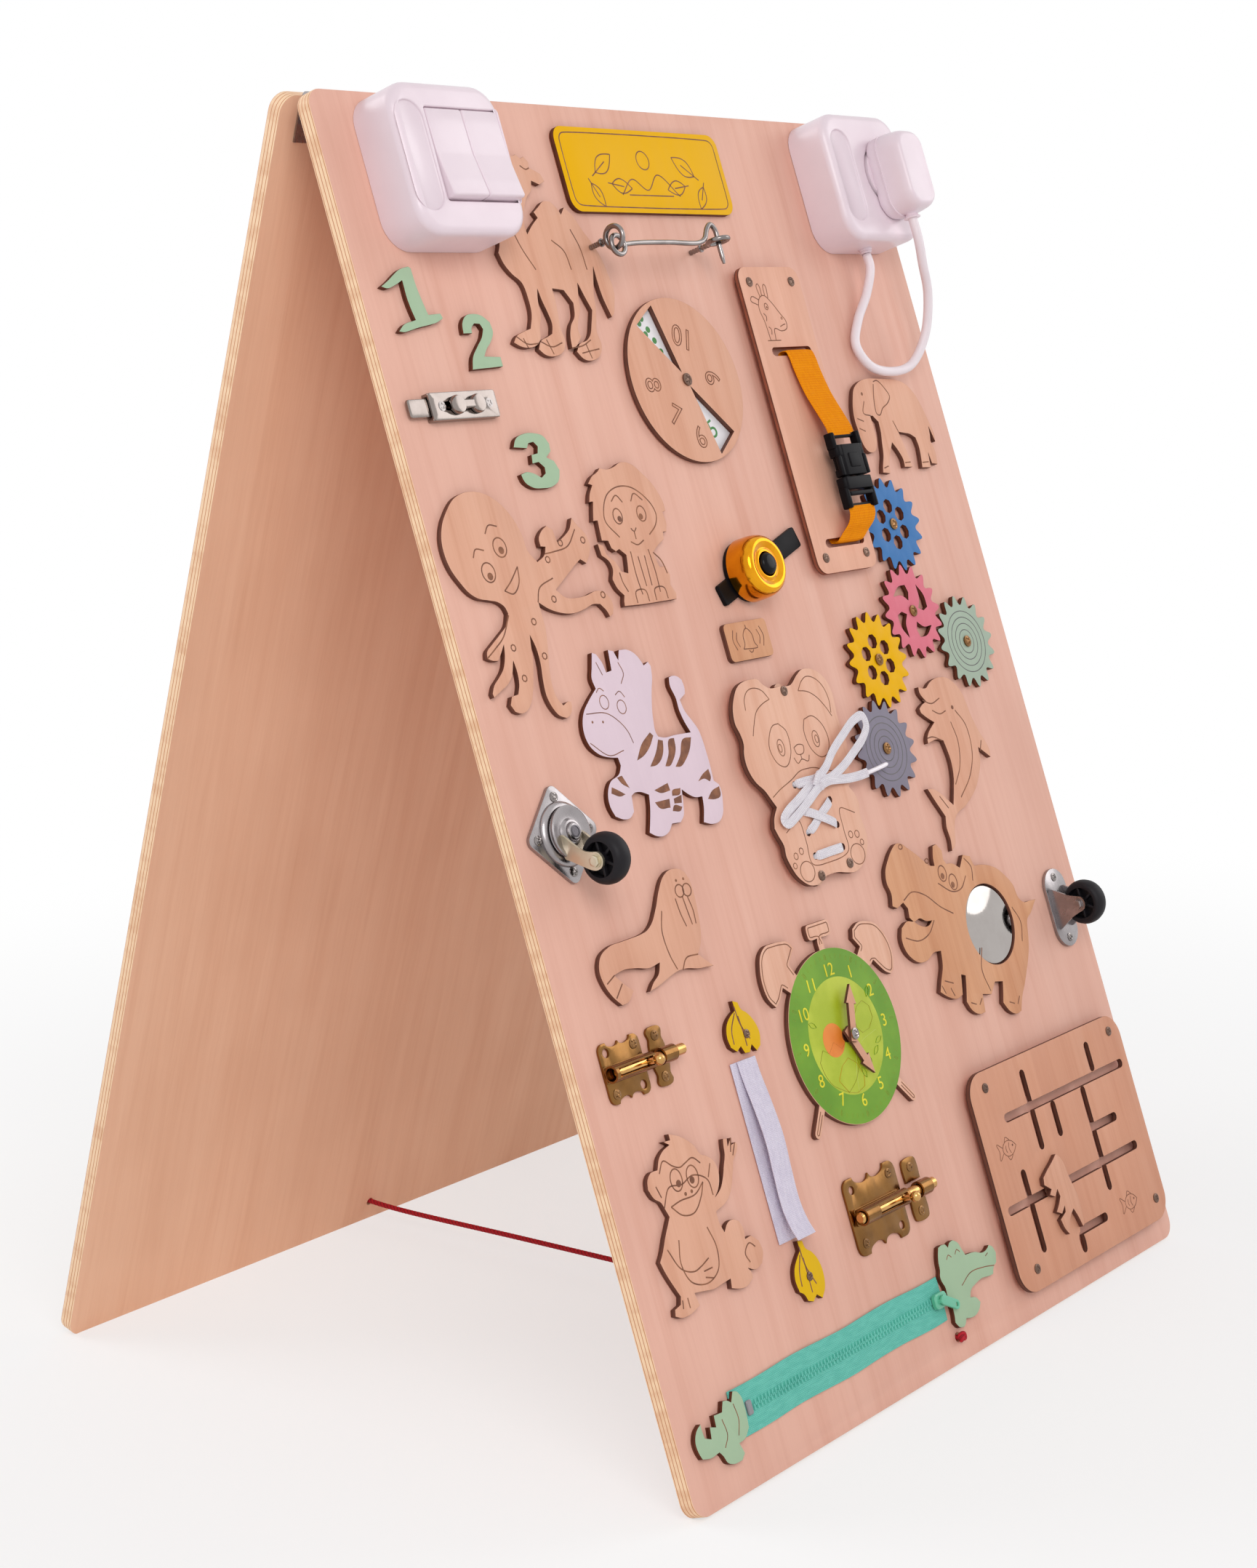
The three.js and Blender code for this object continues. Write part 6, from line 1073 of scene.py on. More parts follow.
def metal(colour, deep, roughness, scuff=0.5):
    """Polished or plated metal: fine rubbed lines, cloudy wear in the gloss and darker hollows."""
    colour, deep = tints(colour, deep)

    def paint(start):
        source = start.make("ShaderNodeTexCoord", out=3)
        cloud = source.place(70, 70, 70).noise(4.0)
        rubbed = source.place(900, 140, 140).noise(2.0)
        return {"Base Color": (cloud.step(0.35, 0.75) * scuff).mix(colour, deep),
                "Roughness": (cloud * 0.6 + rubbed * 0.4).step(0.25, 0.75, roughness * 0.65, roughness * 1.5),
                "Bump": (rubbed, 0.05, 0.0002)}
    return paint


brass = finish("brass_plate", metal((140, 100, 56), (94, 62, 31), 0.2), Metallic=1.0)
screw_brass = finish("screw_brass", metal((146, 108, 70), (74, 50, 32), 0.3), Metallic=1.0)
dark_steel = finish("darkened_screw_steel", metal((120, 96, 84), (70, 52, 46), 0.35), Metallic=1.0)
zinc = finish("zinc_plated_steel", metal((168, 162, 163), (126, 120, 121), 0.24), Metallic=1.0)
steel = finish("bright_steel_wire", metal((150, 143, 141), (92, 84, 82), 0.18), Metallic=1.0)


def screw(place, level, radius=3.3, height=1.5, turn=20.0, count=15):
    """Pan head on a grid squeezed into a disc: height falls off with the square of the distance, and the
    cells near either middle line drop by the recess."""
    line = np.linspace(-1, 1, count)
    u, v = np.meshgrid(line, line, indexing="ij")
    x, y = u * np.sqrt(1 - v**2 / 2), v * np.sqrt(1 - u**2 / 2)
    away = x**2 + y**2
    cross = ((np.abs(u) < 0.16) & (np.abs(v) < 0.62)) | ((np.abs(v) < 0.16) & (np.abs(u) < 0.62))
    z = height * (1 - 0.55 * away) - cross * height * 0.55
    top = np.stack([x * radius, y * radius, z], -1).reshape(-1, 3)
    rim = np.concatenate([np.arange(count) * count, (count - 1) * count + np.arange(1, count),
                          (np.arange(count - 1)[::-1]) * count + count - 1, np.arange(1, count - 1)[::-1]])
    foot = top[rim] * (1.02, 1.02, 0)
    cell = np.arange((count - 1) ** 2) // (count - 1) * count + np.arange((count - 1) ** 2) % (count - 1)
    faces = np.column_stack([cell, cell + count, cell + count + 1, cell + 1]).tolist()
    low = len(top) + np.arange(len(rim))
    faces += np.column_stack([rim, low, np.roll(low, -1), np.roll(rim, -1)]).tolist() + [low.tolist()]
    return moved((np.vstack([top, foot - (0, 0, 0.1)]), faces), np.append(spot(place), level), turn)


def screws(name, body, finish_used, level, places, radius=3.3, height=1.4, slot="steel"):
    """A set of like screws."""
    shells = [screw(place, level, radius, height, 20 + 37 * index) for index, place in enumerate(places)]
    return piece(name, body, finish_used, *shells, slot=slot, weld=0, sharp=30)


screws("banana_screws", "board", dark_steel, LEVEL["joined"], BANANA_SCREWS, 2.4, 1.0)

# Gears: five painted ply wheels that turn on screws. The pink one meets three others, and the yellow one of
# these meets the grey one.
TOOTH = {"root": 1.3, "tip": 0.2, "narrow": 1.25}
STEP = 54.8
PIVOT_SCREW = LEVEL["turning"] + 0.3


def gear_paint(colour, face, deep):
    """Satin paint of one wheel, over its ply."""
    return ply(colour + "_painted_ply", face, deep, BURNT, CHARRED, cover=0.8, gloss=0.45)


GEARS = {
    "blue_gear": (gear_paint("blue", (74, 126, 184), (58, 104, 162)), "blue_wood"),
    "pink_gear": (gear_paint("pink", (226, 124, 140), (208, 104, 122)), "pink_wood"),
    "yellow_gear": (yellow_paint, "yellow_wood"),
    "green_gear": (gear_paint("sage", (170, 186, 168), (152, 170, 152)), "grey_green_wood"),
    "grey_gear": (gear_paint("violet_grey", (138, 132, 146), (118, 112, 128)), "grey_wood"),
}
PINK = spot((389, 300))


def toward(place, degrees):
    """Next wheel's middle: one centre distance away in a direction."""
    return place + STEP * np.array([math.cos(math.radians(degrees)), math.sin(math.radians(degrees))])


CENTRES = {"pink_gear": PINK, "blue_gear": toward(PINK, 85), "yellow_gear": toward(PINK, 207),
           "green_gear": toward(PINK, -27), "grey_gear": toward(toward(PINK, 207), 252.3)}


def toothed(loop, place):
    """Wheel's rim: the root radius plus a narrowed cosine for each tooth. The count and turn of the teeth are
    those of the solid's own outline, read from the strongest wave in its radius."""
    away = loop - place
    angle, radius = np.arctan2(away[:, 1], away[:, 0]), np.hypot(away[:, 0], away[:, 1])
    turn = np.linspace(-np.pi, np.pi, 541)[:-1]
    order = np.argsort(angle)
    wave = np.fft.rfft(np.interp(turn, angle[order], radius[order], period=2 * np.pi))
    count = 6 + int(np.argmax(np.abs(wave[6:])))
    tooth = (0.5 + 0.5 * np.cos(count * (turn + np.pi) + np.angle(wave[count]))) ** TOOTH["narrow"]
    root, tip = radius.min() - TOOTH["root"], radius.max() + TOOTH["tip"]
    return place + np.column_stack([np.cos(turn), np.sin(turn)]) * (root + (tip - root) * tooth)[:, None]


for name, (paint_used, slot_used) in GEARS.items():
    parts = cut(name, LEVEL["turning"], THIN, small=GEAR_HOLE, rim=lambda loop: toothed(loop, CENTRES[name]))
    piece(name + "_wheel", name, paint_used, *parts, stands_for=(name,), slot=slot_used)


def grooved(start):
    """Turned groove: dark and dull."""
    cloud = start.make("ShaderNodeTexCoord", out=3).place(90, 90, 90).noise(2.0)
    return {"Base Color": cloud.step(0.3, 0.7).mix(tint(86, 84, 86), tint(116, 112, 112)),
            "Roughness": cloud.step(0.2, 0.8, 0.6, 0.8)}


groove = finish("groove_line", grooved)
for name in ("green_gear", "grey_gear"):
    place = CENTRES[name] / SQUARE
    rings = [ring_line(place, radius, 0.55, LEVEL["turning"], count=28) for radius in (7.5, 11.5, 15.5, 19.5)]
    piece(name + "_rings", name, groove, *rings, weld=0)
screws("gear_screws", "board", screw_brass, PIVOT_SCREW, [CENTRES[name] / SQUARE for name in GEARS], 3.5, 1.4,
       "brass")

# Spinner: a ply disc with two wedge windows, turning over a printed card of green counters and numerals.
SPINNER = spot((232.4, 154.2))


def lettering(text, size, place, turn, level, rise=0.08, outline=0.0):
    """Numerals as a mesh: filled and raised a little, or only their outline as a fine bead."""
    font = bpy.data.curves.new("numeral", "FONT")
    font.body, font.size, font.align_x, font.align_y = text, size, "CENTER", "CENTER"
    font.resolution_u = 4
    if outline:
        font.fill_mode, font.bevel_depth, font.bevel_resolution = "NONE", outline, 1
    else:
        font.extrude = (rise + SUNK) / 2
    made = bpy.data.objects.new("numeral", font)
    bpy.context.scene.collection.objects.link(made)
    mesh = bpy.data.meshes.new_from_object(made.evaluated_get(bpy.context.evaluated_depsgraph_get()))
    bpy.data.objects.remove(made)
    points = np.array([vertex.co for vertex in mesh.vertices])
    faces = [list(face.vertices) for face in mesh.polygons]
    height = level if outline else level + (rise - SUNK) / 2
    return moved((points, faces), np.append(spot(place), height), turn)


piece("spinner_wheel", "spinner", cut_birch, *cut("spinner_disc", LEVEL["turning"], THIN),
      stands_for=("spinner_disc",), slot="cut_plywood")
piece("spinner_numerals", "spinner", burn, *[
    lettering(text, 18, place, turn, LEVEL["turning"], outline=0.3)
    for text, place, turn in (("10", (239, 130), 160), ("9", (257, 154), 90), ("6", (231, 187), 10),
                              ("7", (214, 174), -28), ("8", (201, 156), -90))], weld=0, sharp=180)
card = finish("white_card", moulded((238, 234, 236), (222, 216, 220), 0.5))
leaf_green = finish("green_print", moulded((52, 128, 50), (36, 104, 40), 0.5))
piece("spinner_card", "board", card, lathe([(45, 0.02), (45, 0.5), (44.8, 0.55)], 48, SPINNER),
      slot="white_plastic")
counters = [spot_disc((208.5 + 3.2 * row + 3.0 * column, 121 + 6.2 * row - 2.6 * column), 1.9, 0.55)
            for row in range(4) for column in range(2)]
piece("card_counters", "board", leaf_green, *counters, lettering("5", 15, (248, 182), 25, 0.55), weld=0)
screws("spinner_screw", "board", dark_steel, PIVOT_SCREW, [SPINNER / SQUARE], 3.6, 1.4)

# Strap board: a tall ply plate on four spacers, held by screws, with two slots for the webbing and a
# giraffe's head burnt in over the upper one.
board_wood = ply("laser_cut_warm", (236, 180, 154), (216, 156, 130), (150, 80, 56), CHARRED, figure=0.7)


def raised_board(name, node, wood, screw_places):
    """Board on spacers, with its screws."""
    parts = cut(node, LEVEL["raised"], THIN)
    parts += [lathe([(5, GLUE), (5, LEVEL["raised"] - THIN + 0.1)], 20, spot(place))
              for place in screw_places]
    piece(name, "board", wood, *parts, stands_for=(node,), slot="cut_plywood")
    screws(name + "_screws", "board", dark_steel, LEVEL["raised"], screw_places, 2.9, 1.0)


raised_board("strap_plate", "strap_board", board_wood, [(312.4, 100.5), (354, 100.5), (312.4, 262),
                                                        (354, 262)])
engrave("giraffe_lines", "board", LEVEL["raised"], [
    [(318, 135), (317, 124), (315, 116), (318, 110), (323, 108.5), (328, 112), (334, 119), (338, 124),
     (337, 128), (331, 129.5), (325, 128), (323, 135)],
    [(317, 111), (311, 109), (309, 111.5), (315, 114)], [(319, 109), (318, 103), (319.5, 101.5), (321, 103),
                                                         (321, 108.5)],
    [(324, 108.5), (324.5, 103), (326, 101.8), (327.2, 103.5), (326.5, 110)],
    [(331, 127), (334, 126), (336.5, 125.5)], [(318, 119), (320, 121), (319, 123.5)],
    [(319.5, 127), (321.5, 128.5), (320.5, 131.5)], [(315, 135), (328, 135)],
], 0.6, [((322.5, 115), 1.7, 1.2), ((334.5, 122), 0.8)], [((322.8, 115.4), 0.7)])

# Webbing: 26 mm woven orange tape through both slots and round the bars of the buckle, 1.3 mm thick.
WEBBING = {"width": 26, "thickness": 1.3, "shift": 8}


def woven(colour, shadow, along=1.5, across=1.1, rough=0.75, deep=0.0005):
    """Plain weave read from the piece's own lengths: two crossed rows of humps, plus loose fibre noise."""
    colour, shadow = tints(colour, shadow)

    def paint(start):
        lay = start.make("ShaderNodeAttribute", out=1, attribute_name="lay")
        warp = (lay.part("X") * (math.pi / along)).maths("SINE")
        weft = (lay.part("Y") * (math.pi / across)).maths("SINE")
        hump = (warp * weft).maths("ABSOLUTE")
        fuzz = lay.place(2.2, 2.2, 2.2).noise(4.0)
        slub = lay.place(0.12, 0.5, 0.1).noise(2.0)
        tone = hump.step(0.0, 0.8) * 0.5 + fuzz.step(0.3, 0.7) * 0.22 + slub.step(0.3, 0.7) * 0.28
        return {"Base Color": tone.mix(shadow, colour),
                "Roughness": fuzz.step(0, 1, rough - 0.1, rough + 0.1),
                "Bump": (hump + fuzz * 0.5, 0.5, deep)}
    return paint


orange_webbing = finish("orange_webbing", woven((252, 160, 0), (232, 126, 0)), Specular_IOR_Level=0.1)


def tape(path, width, thickness, across=None, columns=9):
    """Woven tape: a thin rounded section carried along a path, its width along one line or square to the path
    in the board's plane."""
    path = np.asarray(path, float)
    way = unit(np.gradient(path, axis=0))
    side = unit(np.cross(way, [0, 0, 1.0])) if across is None else np.broadcast_to(across, path.shape)
    up = np.cross(side, way)
    share = np.linspace(-1, 1, columns)
    belly = thickness / 2 * np.sqrt(np.maximum(1 - share**6, 0.1))
    u = np.concatenate([share, share[::-1]]) * width / 2
    v = np.concatenate([-belly, belly])
    rings = path[:, None] + u[None, :, None] * side[:, None] + v[None, :, None] * up[:, None]
    return *skin(rings), lay_of(path, u, v).reshape(-1, 3)


STATIONS = spot([(340.5, 194.6, 16), (340.5, 190.5, 15.8), (340.5, 182, 14), (340.5, 168, 11.2),
                 (340.5, 154, 9.8), (340.5, 146, 9.3), (340.5, 142.2, 8.2), (340.5, 141.5, 6.8),
                 (340.5, 141.5, 3.6), (340.5, 142.2, 2.4), (340.5, 145.4, 1.7), (340.5, 198, 1.6),
                 (340.5, 250.1, 1.7), (340.5, 253.3, 2.4), (340.5, 254, 3.6), (340.5, 254, 6.8),
                 (340.5, 253.3, 8.4), (340.5, 250, 10.4), (340.5, 245, 14), (340.5, 240.5, 15.9),
                 (340.5, 236.1, 16)])
STATIONS[:, 0] += WEBBING["shift"] * np.array([1, 1, 0.8, 0.4, 0.12, 0.02, 0, 0, 0, 0, 0, 0, 0, 0, 0, 0, 0,
                                               0.4, 0.9, 1, 1])
strap_path = curve(STATIONS, 240)
strap = piece("orange_strap", None, orange_webbing, tape(strap_path, WEBBING["width"], WEBBING["thickness"],
                                                         (1, 0, 0)),
              stands_for=("buckle_strap",), slot="orange_webbing", weld=0, sharp=60)

# Buckle: black moulded side-release halves; the socket half has a barred window, the tongue half a bar.
black_plastic = finish("black_moulded_plastic", moulded((21, 19, 22), (13, 12, 14), 0.4, 0.08),
                       Specular_IOR_Level=0.08)
SOCKET_HALF, TONGUE_HALF = spot((348.5, 206)), spot((348.5, 228.5))


def bar(width, height, corner, start, end, middle, ease=0.7):
    """Bar along y with eased ends: rounded sections (x, z) at stations from start to end."""
    stations = [(start, 0.3 * ease + ease), (start + ease * 0.4, 0.25 * ease), (start + ease, 0),
                (end - ease, 0), (end - ease * 0.4, 0.25 * ease), (end, 0.3 * ease + ease)]
    rings = []
    for y, less in stations:
        section = oblong(width - 2 * less, height - 2 * less, max(corner - less, 0.2), 4)
        rings.append(np.column_stack([-section[:, 0], np.full(len(section), y), section[:, 1]]))
    return moved(skin(np.array(rings)), middle)


def buckle_shells():
    """Both halves, as (socket shells, tongue shells)."""
    level = 16.0
    one, two = np.append(SOCKET_HALF, level), np.append(TONGUE_HALF, level)
    socket = [bar(22, 8.6, 2.6, -13.4, 5.5, one), bar(27, 6.4, 2.2, -13.4, -9.0, one),
              bar(28, 8.0, 2.6, -1.5, 5.5, one),
              bar(3.6, 6.6, 1.6, 3.5, 13.4, one + (-13, 0, 0)),
              bar(3.6, 6.6, 1.6, 3.5, 13.4, one + (13, 0, 0)),
              bar(29, 3.6, 1.5, 10.4, 13.4, one + (0, 0, -1.2)),
              bar(3.2, 3.4, 1.2, -13.2, -1, one + (-12.6, 0, 2.4)),
              bar(3.2, 3.4, 1.2, -13.2, -1, one + (12.6, 0, 2.4)),
              bar(10, 1.6, 0.7, -9, 0, one + (0, 0, 4.2))]
    tongue = [bar(28.5, 8.2, 2.8, 1.5, 9.3, two), bar(3.8, 6.6, 1.6, -9.4, 3, two + (-12.9, 0, 0)),
              bar(3.8, 6.6, 1.6, -9.4, 3, two + (12.9, 0, 0)),
              bar(29, 3.6, 1.5, -9.4, -6.4, two + (0, 0, -1.2)),
              bar(24, 3.0, 1.3, -2.2, 0.4, two + (0, 0, 2.2)), bar(5.6, 3.2, 1.3, 8, 26, two + (-7.3, 0, 0)),
              bar(5.6, 3.2, 1.3, 8, 26, two + (7.3, 0, 0))]
    return socket, tongue


socket_shells, tongue_shells = buckle_shells()
piece("buckle_socket_half", "board", black_plastic, *socket_shells, stands_for=("buckle_socket",),
      slot="black_plastic")
piece("buckle_tongue_half", "buckle_tongue", black_plastic, *tongue_shells, stands_for=("buckle_tongue",),
      slot="black_plastic")
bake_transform(strap)

# Latch: chromed sliding door bolt; its blade runs in a folded case and carries a grip of two round lobes.
chrome = finish("chromed_steel", metal((150, 140, 135), (128, 118, 113), 0.13), Metallic=1.0)
LATCH = spot((46.5, 160.8))
case = oblong(49, 14.6, 1.6, 4, LATCH)
slot_loop = oblong(30, 4.8, 2.3, 6, LATCH)[::-1]
parts = slab(case, [slot_loop], 3.7, 4.9, edge=0.35)
for side in (-1, 1):
    parts.append(skin(arc_rings(49, 1.9, 0.5, GLUE, 4.4, 0.3, middle=LATCH + (0, side * 6.3))))
piece("latch_cover", "board", chrome, *parts, stands_for=("latch_case",), slot="steel")
blade = slab(oblong(52, 9.6, 1.2, 4, LATCH + (-24.5 - 14 + 26, 0)), [], 1.75, 3.25, edge=0.4)
LOBES = [LATCH + (49 * share, 0) for share in (-0.13, 0.17)]
grips = [lathe([(2, 3.2), (2, 5.2), (5, 5.25), (5, 6.8), (4.4, 7.9), (3.0, 8.2)], 28, place)
         for place in LOBES]
grips.append(skin(arc_rings(15.5, 4.6, 1.4, 5.25, 8.0, 0.9, middle=(LOBES[0] + LOBES[1]) / 2)))
piece("latch_blade", "latch_bolt", chrome, *blade, *grips, stands_for=("latch_bolt",), slot="steel")
screws("latch_screws", "board", steel, 4.85, [(30, 160.8), (65, 160.5)], 2.6, 0.32)

# Hook and eyes: bent steel wire, 3 mm thick; two screw eyes stand on the board and one carries the hook.
WIRE = 1.5
EYES = {"left": (181, 80, 3.8), "right": (273, 81.5, 0.3)}
HOOK_LEVEL = 21.4


def eye(name, square_way):
    """Screw eye: a wire ring on a threaded stem with a collar, the ring's plane across or along the board."""
    u, v, seat = EYES[name]
    middle = spot((u, v))
    angle = np.linspace(0, 2 * np.pi, 41)[:-1]
    ring = np.column_stack([np.cos(angle) * 6, np.zeros(40), np.sin(angle) * 6])
    ring = ring[:, [1, 0, 2]] if square_way else ring
    ref = (1, 0, 0) if square_way else (0, 1, 0)
    loop = tube(ring + np.append(middle, HOOK_LEVEL), WIRE, 12, ref, closed=True)
    turns = np.linspace(0, 1, 40)
    thread = WIRE + 0.12 * np.sin(turns * 2 * np.pi * 7)
    stem = lathe(np.column_stack([thread, seat + turns * (HOOK_LEVEL - 6.2 - seat)]), 14, middle)
    collar = lathe([(1.5, seat + 7), (2.3, seat + 7.4), (2.4, seat + 8.4), (1.5, seat + 9)], 16, middle)
    return [loop, stem, collar]


piece("left_screw_eye", "board", steel, *eye("left", True), stands_for=("left_hook_eye",), slot="steel",
      weld=0)
piece("right_screw_eye", "board", steel, *eye("right", False), stands_for=("right_hook_eye",), slot="steel",
      weld=0)
pivot = spot(EYES["left"][:2]) - (0, 6)
reach = EYES["right"][0] - EYES["left"][0]
bar_route = curve(np.array([(0.07, 0.02), (0.2, 0.03), (0.5, 0.035), (0.8, 0.035), (0.87, 0.06),
                            (0.92, 0.125), (0.965, 0.155), (1, 0.12), (1, 0.03), (1, -0.1)]) * reach, 90)
bar_route = np.column_stack([bar_route + pivot, np.full(90, HOOK_LEVEL)])
angle = np.linspace(0, 2 * np.pi, 37)[:-1]
eye_loop = np.column_stack([5.4 * np.cos(angle) + WIRE, 5.4 * np.sin(angle) + 1.56,
                            np.zeros(36)]) + np.append(pivot, HOOK_LEVEL)
thick = WIRE * np.r_[np.ones(86), 0.95, 0.85, 0.7, 0.5]
piece("wire_hook", "hook", steel, tube(eye_loop, WIRE, 12, (0, 0, 1), closed=True),
      tube(bar_route, thick, 12), stands_for=("hook",), slot="steel", weld=0)

# Bell: a gilded dome on a black base and strap; its glossy button sinks and springs back.
BELL = spot((239.5, 262))
gilt = finish("gilded_dome", metal((232, 160, 32), (184, 104, 12), 0.12), Metallic=1.0)
glossy_black = finish("glossy_black_button", moulded((20, 18, 20), (11, 10, 12), 0.16, 0.02),
                      Specular_IOR_Level=0.12)


def turned(loop, degrees, place=(0, 0)):
    """Flat outline turned, then moved."""
    cosine, sine = math.cos(math.radians(degrees)), math.sin(math.radians(degrees))
    return loop @ np.array([[cosine, sine], [-sine, cosine]]) + place


base = lathe([(17.0, GLUE), (17.5, 0.8), (17.5, 3.4), (16.6, 4.2), (3.6, 4.3), (2.9, 9.7)], 40, BELL)
band = slab(turned(oblong(88, 12.5, 1.6), 18.6, spot((254.5, 260))), [], GLUE, 2.6)
piece("bell_foot", "board", black_plastic, base, *band, stands_for=("bell_base",), slot="black_plastic")
piece("bell_cup", "board", gilt, lathe([
    (17.9, 3.6), (18.5, 4.1), (18.45, 9.2), (18.2, 13.2), (17.6, 16), (16.6, 18.2), (15.2, 19.5),
    (13.8, 19.9), (12.2, 19.5), (10.8, 18.7), (9.8, 18.3), (8.8, 18.6), (8, 19), (7.3, 18.9), (6.9, 18.2),
    (6.8, 15.2), (12.5, 15.1),
    (15.9, 13.5), (17.5, 9), (17.5, 3.6), (17.9, 3.6)], 64, BELL, caps=False), stands_for=("bell_dome",),
      slot="brass")
piece("bell_push", "bell_button", glossy_black, lathe([
    (2.2, 12.4), (6.2, 13.6), (6.5, 14), (6.5, 19.2), (6.2, 20.3), (5.2, 21.2), (3.4, 21.7), (1.2, 21.8)], 40,
                                                      BELL),
      stands_for=("bell_button",), slot="black_plastic")

# Lacing board: a pale panda cut from ply, on three spacers, with eight lacing holes.
pale_wood = ply("laser_cut_pale", (236, 186, 160), (218, 160, 132), BURNT, CHARRED, figure=0.9)
raised_board("panda_plate", "panda_board", pale_wood, [(238.5, 330), (226.5, 431), (255, 429)])
engrave("panda_lines", "board", LEVEL["raised"], [
    [(223.4, 332.7), (218.9, 327.5), (212.6, 325.2), (206, 326), (201.5, 330), (200, 336)],
    [(223.4, 332.7), (216.2, 334.4), (209, 337.8), (203.7, 344.6), (200.5, 350)],
    [(251.4, 331.5), (256.4, 327), (262.2, 324.8), (270, 327), (275.5, 332.5), (277.5, 340), (276.2, 347)],
    [(251.4, 331.5), (259.5, 333), (266.7, 337), (273, 343.9), (276.2, 349)],
    [(225.2, 346.5), (230.6, 351.6), (229.7, 362.9), (222.5, 369.8), (215.3, 367.2), (211.7, 358.5),
     (215.3, 350.8), (219.8, 347), (225.2, 346.5)],
    [(249.6, 347.3), (257.7, 346.5), (264.9, 352.5), (267, 361.1), (263.1, 368), (255.9, 369.4),
     (248.7, 363.7), (246.5, 353.4), (249.6, 347.3)],
    [(233.3, 361.1), (237.8, 359.8), (242.3, 361.1), (241.1, 364.6), (237.8, 365.4), (234.6, 364.6),
     (233.3, 361.1)],
    [(237.8, 365.4), (237.8, 368)], [(231, 366.3), (233.3, 369.8), (237.8, 368), (243.2, 369.8),
                                     (245.4, 366.7)],
    [(203, 384), (210.8, 381), (223.4, 377.4), (232.4, 374.1), (238.7, 373.6), (246.9, 374.1), (256, 376.7),
     (270, 380)],
    [(206, 404), (212, 401.5), (219.8, 399.4), (221.3, 411.2), (221.3, 423.3), (236, 425.3), (257.3, 422),
     (258, 411.2), (259.5, 399.1), (268, 401.5), (272.5, 403.5)],
], 0.55, [((222, 359.4), 3, 1.6), ((221.2, 359.6), 1.5, 1.6), ((255.5, 359.1), 3, 1.6),
          ((256.2, 359.3), 1.5, 1.6), ((215.3, 426.7), 6.4, 0.9), ((205.8, 422), 1.7), ((208.8, 417.2), 1.9),
          ((214.6, 415.4), 1.9), ((264.8, 425.6), 6.6, 0.9), ((263.1, 414.3), 2), ((269, 415), 2.1),
          ((271.6, 420), 1.7)])

# Lace: one flat white lace, 5.5 mm wide. It runs across the lowest pair of holes, up behind the board, over
# in a cross, up behind again and out to a bow; its path is the centre of the flat section.
LACE = {"width": 5.5, "thickness": 1.2, "in_hole": 3.2}
HALF_BOW = [(210, 396.5, 7.5), (222, 391, 7.8), (234, 385.5, 8.5), (243, 382, 10), (254, 381.8, 9.8),
            (268.5, 377.5, 10.2), (281, 371.5, 11), (293.7, 364.6, 11.4), (299.5, 358.5, 11.6),
            (298.2, 353, 11.5), (290, 354, 11.1), (275.7, 361, 10.5), (263, 368, 10.2), (252.3, 375.8, 10),
            (243, 380, 9.2), (233, 380.2, 8.4), (227.4, 380.4, 7.6)]
LACING = [(225, 380.5, 5), (224.9, 383.5, 2.2), (225, 387.7, 1.9), (225, 392, 2.2), (225, 395, 5),
          (227.4, 395.9, 7.6), (239.5, 401.2, 8.9), (251.1, 406.2, 7.6), (253.5, 407, 5), (253.5, 410, 2.2),
          (253.2, 413.2, 1.9), (253, 416.6, 2.2), (253, 419.5, 5), (250.6, 419.6, 7.5), (239.5, 419.8, 7.6),
          (228.4, 420.1, 7.5), (226, 420, 5), (226, 417, 2.2), (225.8, 413.5, 1.9), (225.5, 410, 2.2),
          (225.5, 407, 5), (227.9, 405.7, 7.6), (239.5, 399.7, 7.4), (250.7, 393.9, 7.6), (253, 393, 5),
          (252.8, 390, 2.2), (252, 386.5, 1.9), (251.2, 383, 2.2), (251, 380, 5)]
OTHER_BOW = [(248.6, 380.3, 7.7), (242, 381, 8.6), (232, 384.5, 9.1), (220, 389, 9.5), (208, 393.6, 9.5),
             (203.6, 397, 9.2), (206.5, 399.5, 8.9), (216, 396.8, 9.1), (230, 390.6, 9.6), (241, 385, 10.6),
             (250, 383, 11), (260, 383.4, 9.8), (272, 384.4, 8.7), (284, 384.6, 8.3), (293, 384.1, 8.2)]
lace_path = curve(spot(HALF_BOW + LACING + OTHER_BOW), 620)


def lace_shell(path):
    """Flat lace: a rounded section that stays level in the loops, and narrows and stands where it goes
    through a hole."""
    way = unit(np.gradient(path, axis=0))
    level_way = way[:, :2].copy()
    for _ in range(6):
        level_way[1:-1] = (level_way[:-2] + 2 * level_way[1:-1] + level_way[2:]) / 4
    side = unit(np.column_stack([level_way[:, 1], -level_way[:, 0], np.zeros(len(path))]))
    up = unit(np.cross(side, way))
    deep = np.clip((LEVEL["raised"] + 0.7 - path[:, 2]) / 1.2, 0, 1)
    width = LACE["width"] + (LACE["in_hole"] - LACE["width"]) * deep * deep * (3 - 2 * deep)
    angle = np.arange(14) * 2 * np.pi / 14
    u = np.sign(np.cos(angle)) * np.abs(np.cos(angle)) ** 0.6
    v = np.sin(angle) * LACE["thickness"] / 2
    rings = path[:, None] + (u * width[:, None] / 2)[:, :,
                                                     None] * side[:, None] + v[None, :, None] * up[:, None]
    return *skin(rings), lay_of(path, u * LACE["width"] / 2, v).reshape(-1, 3)


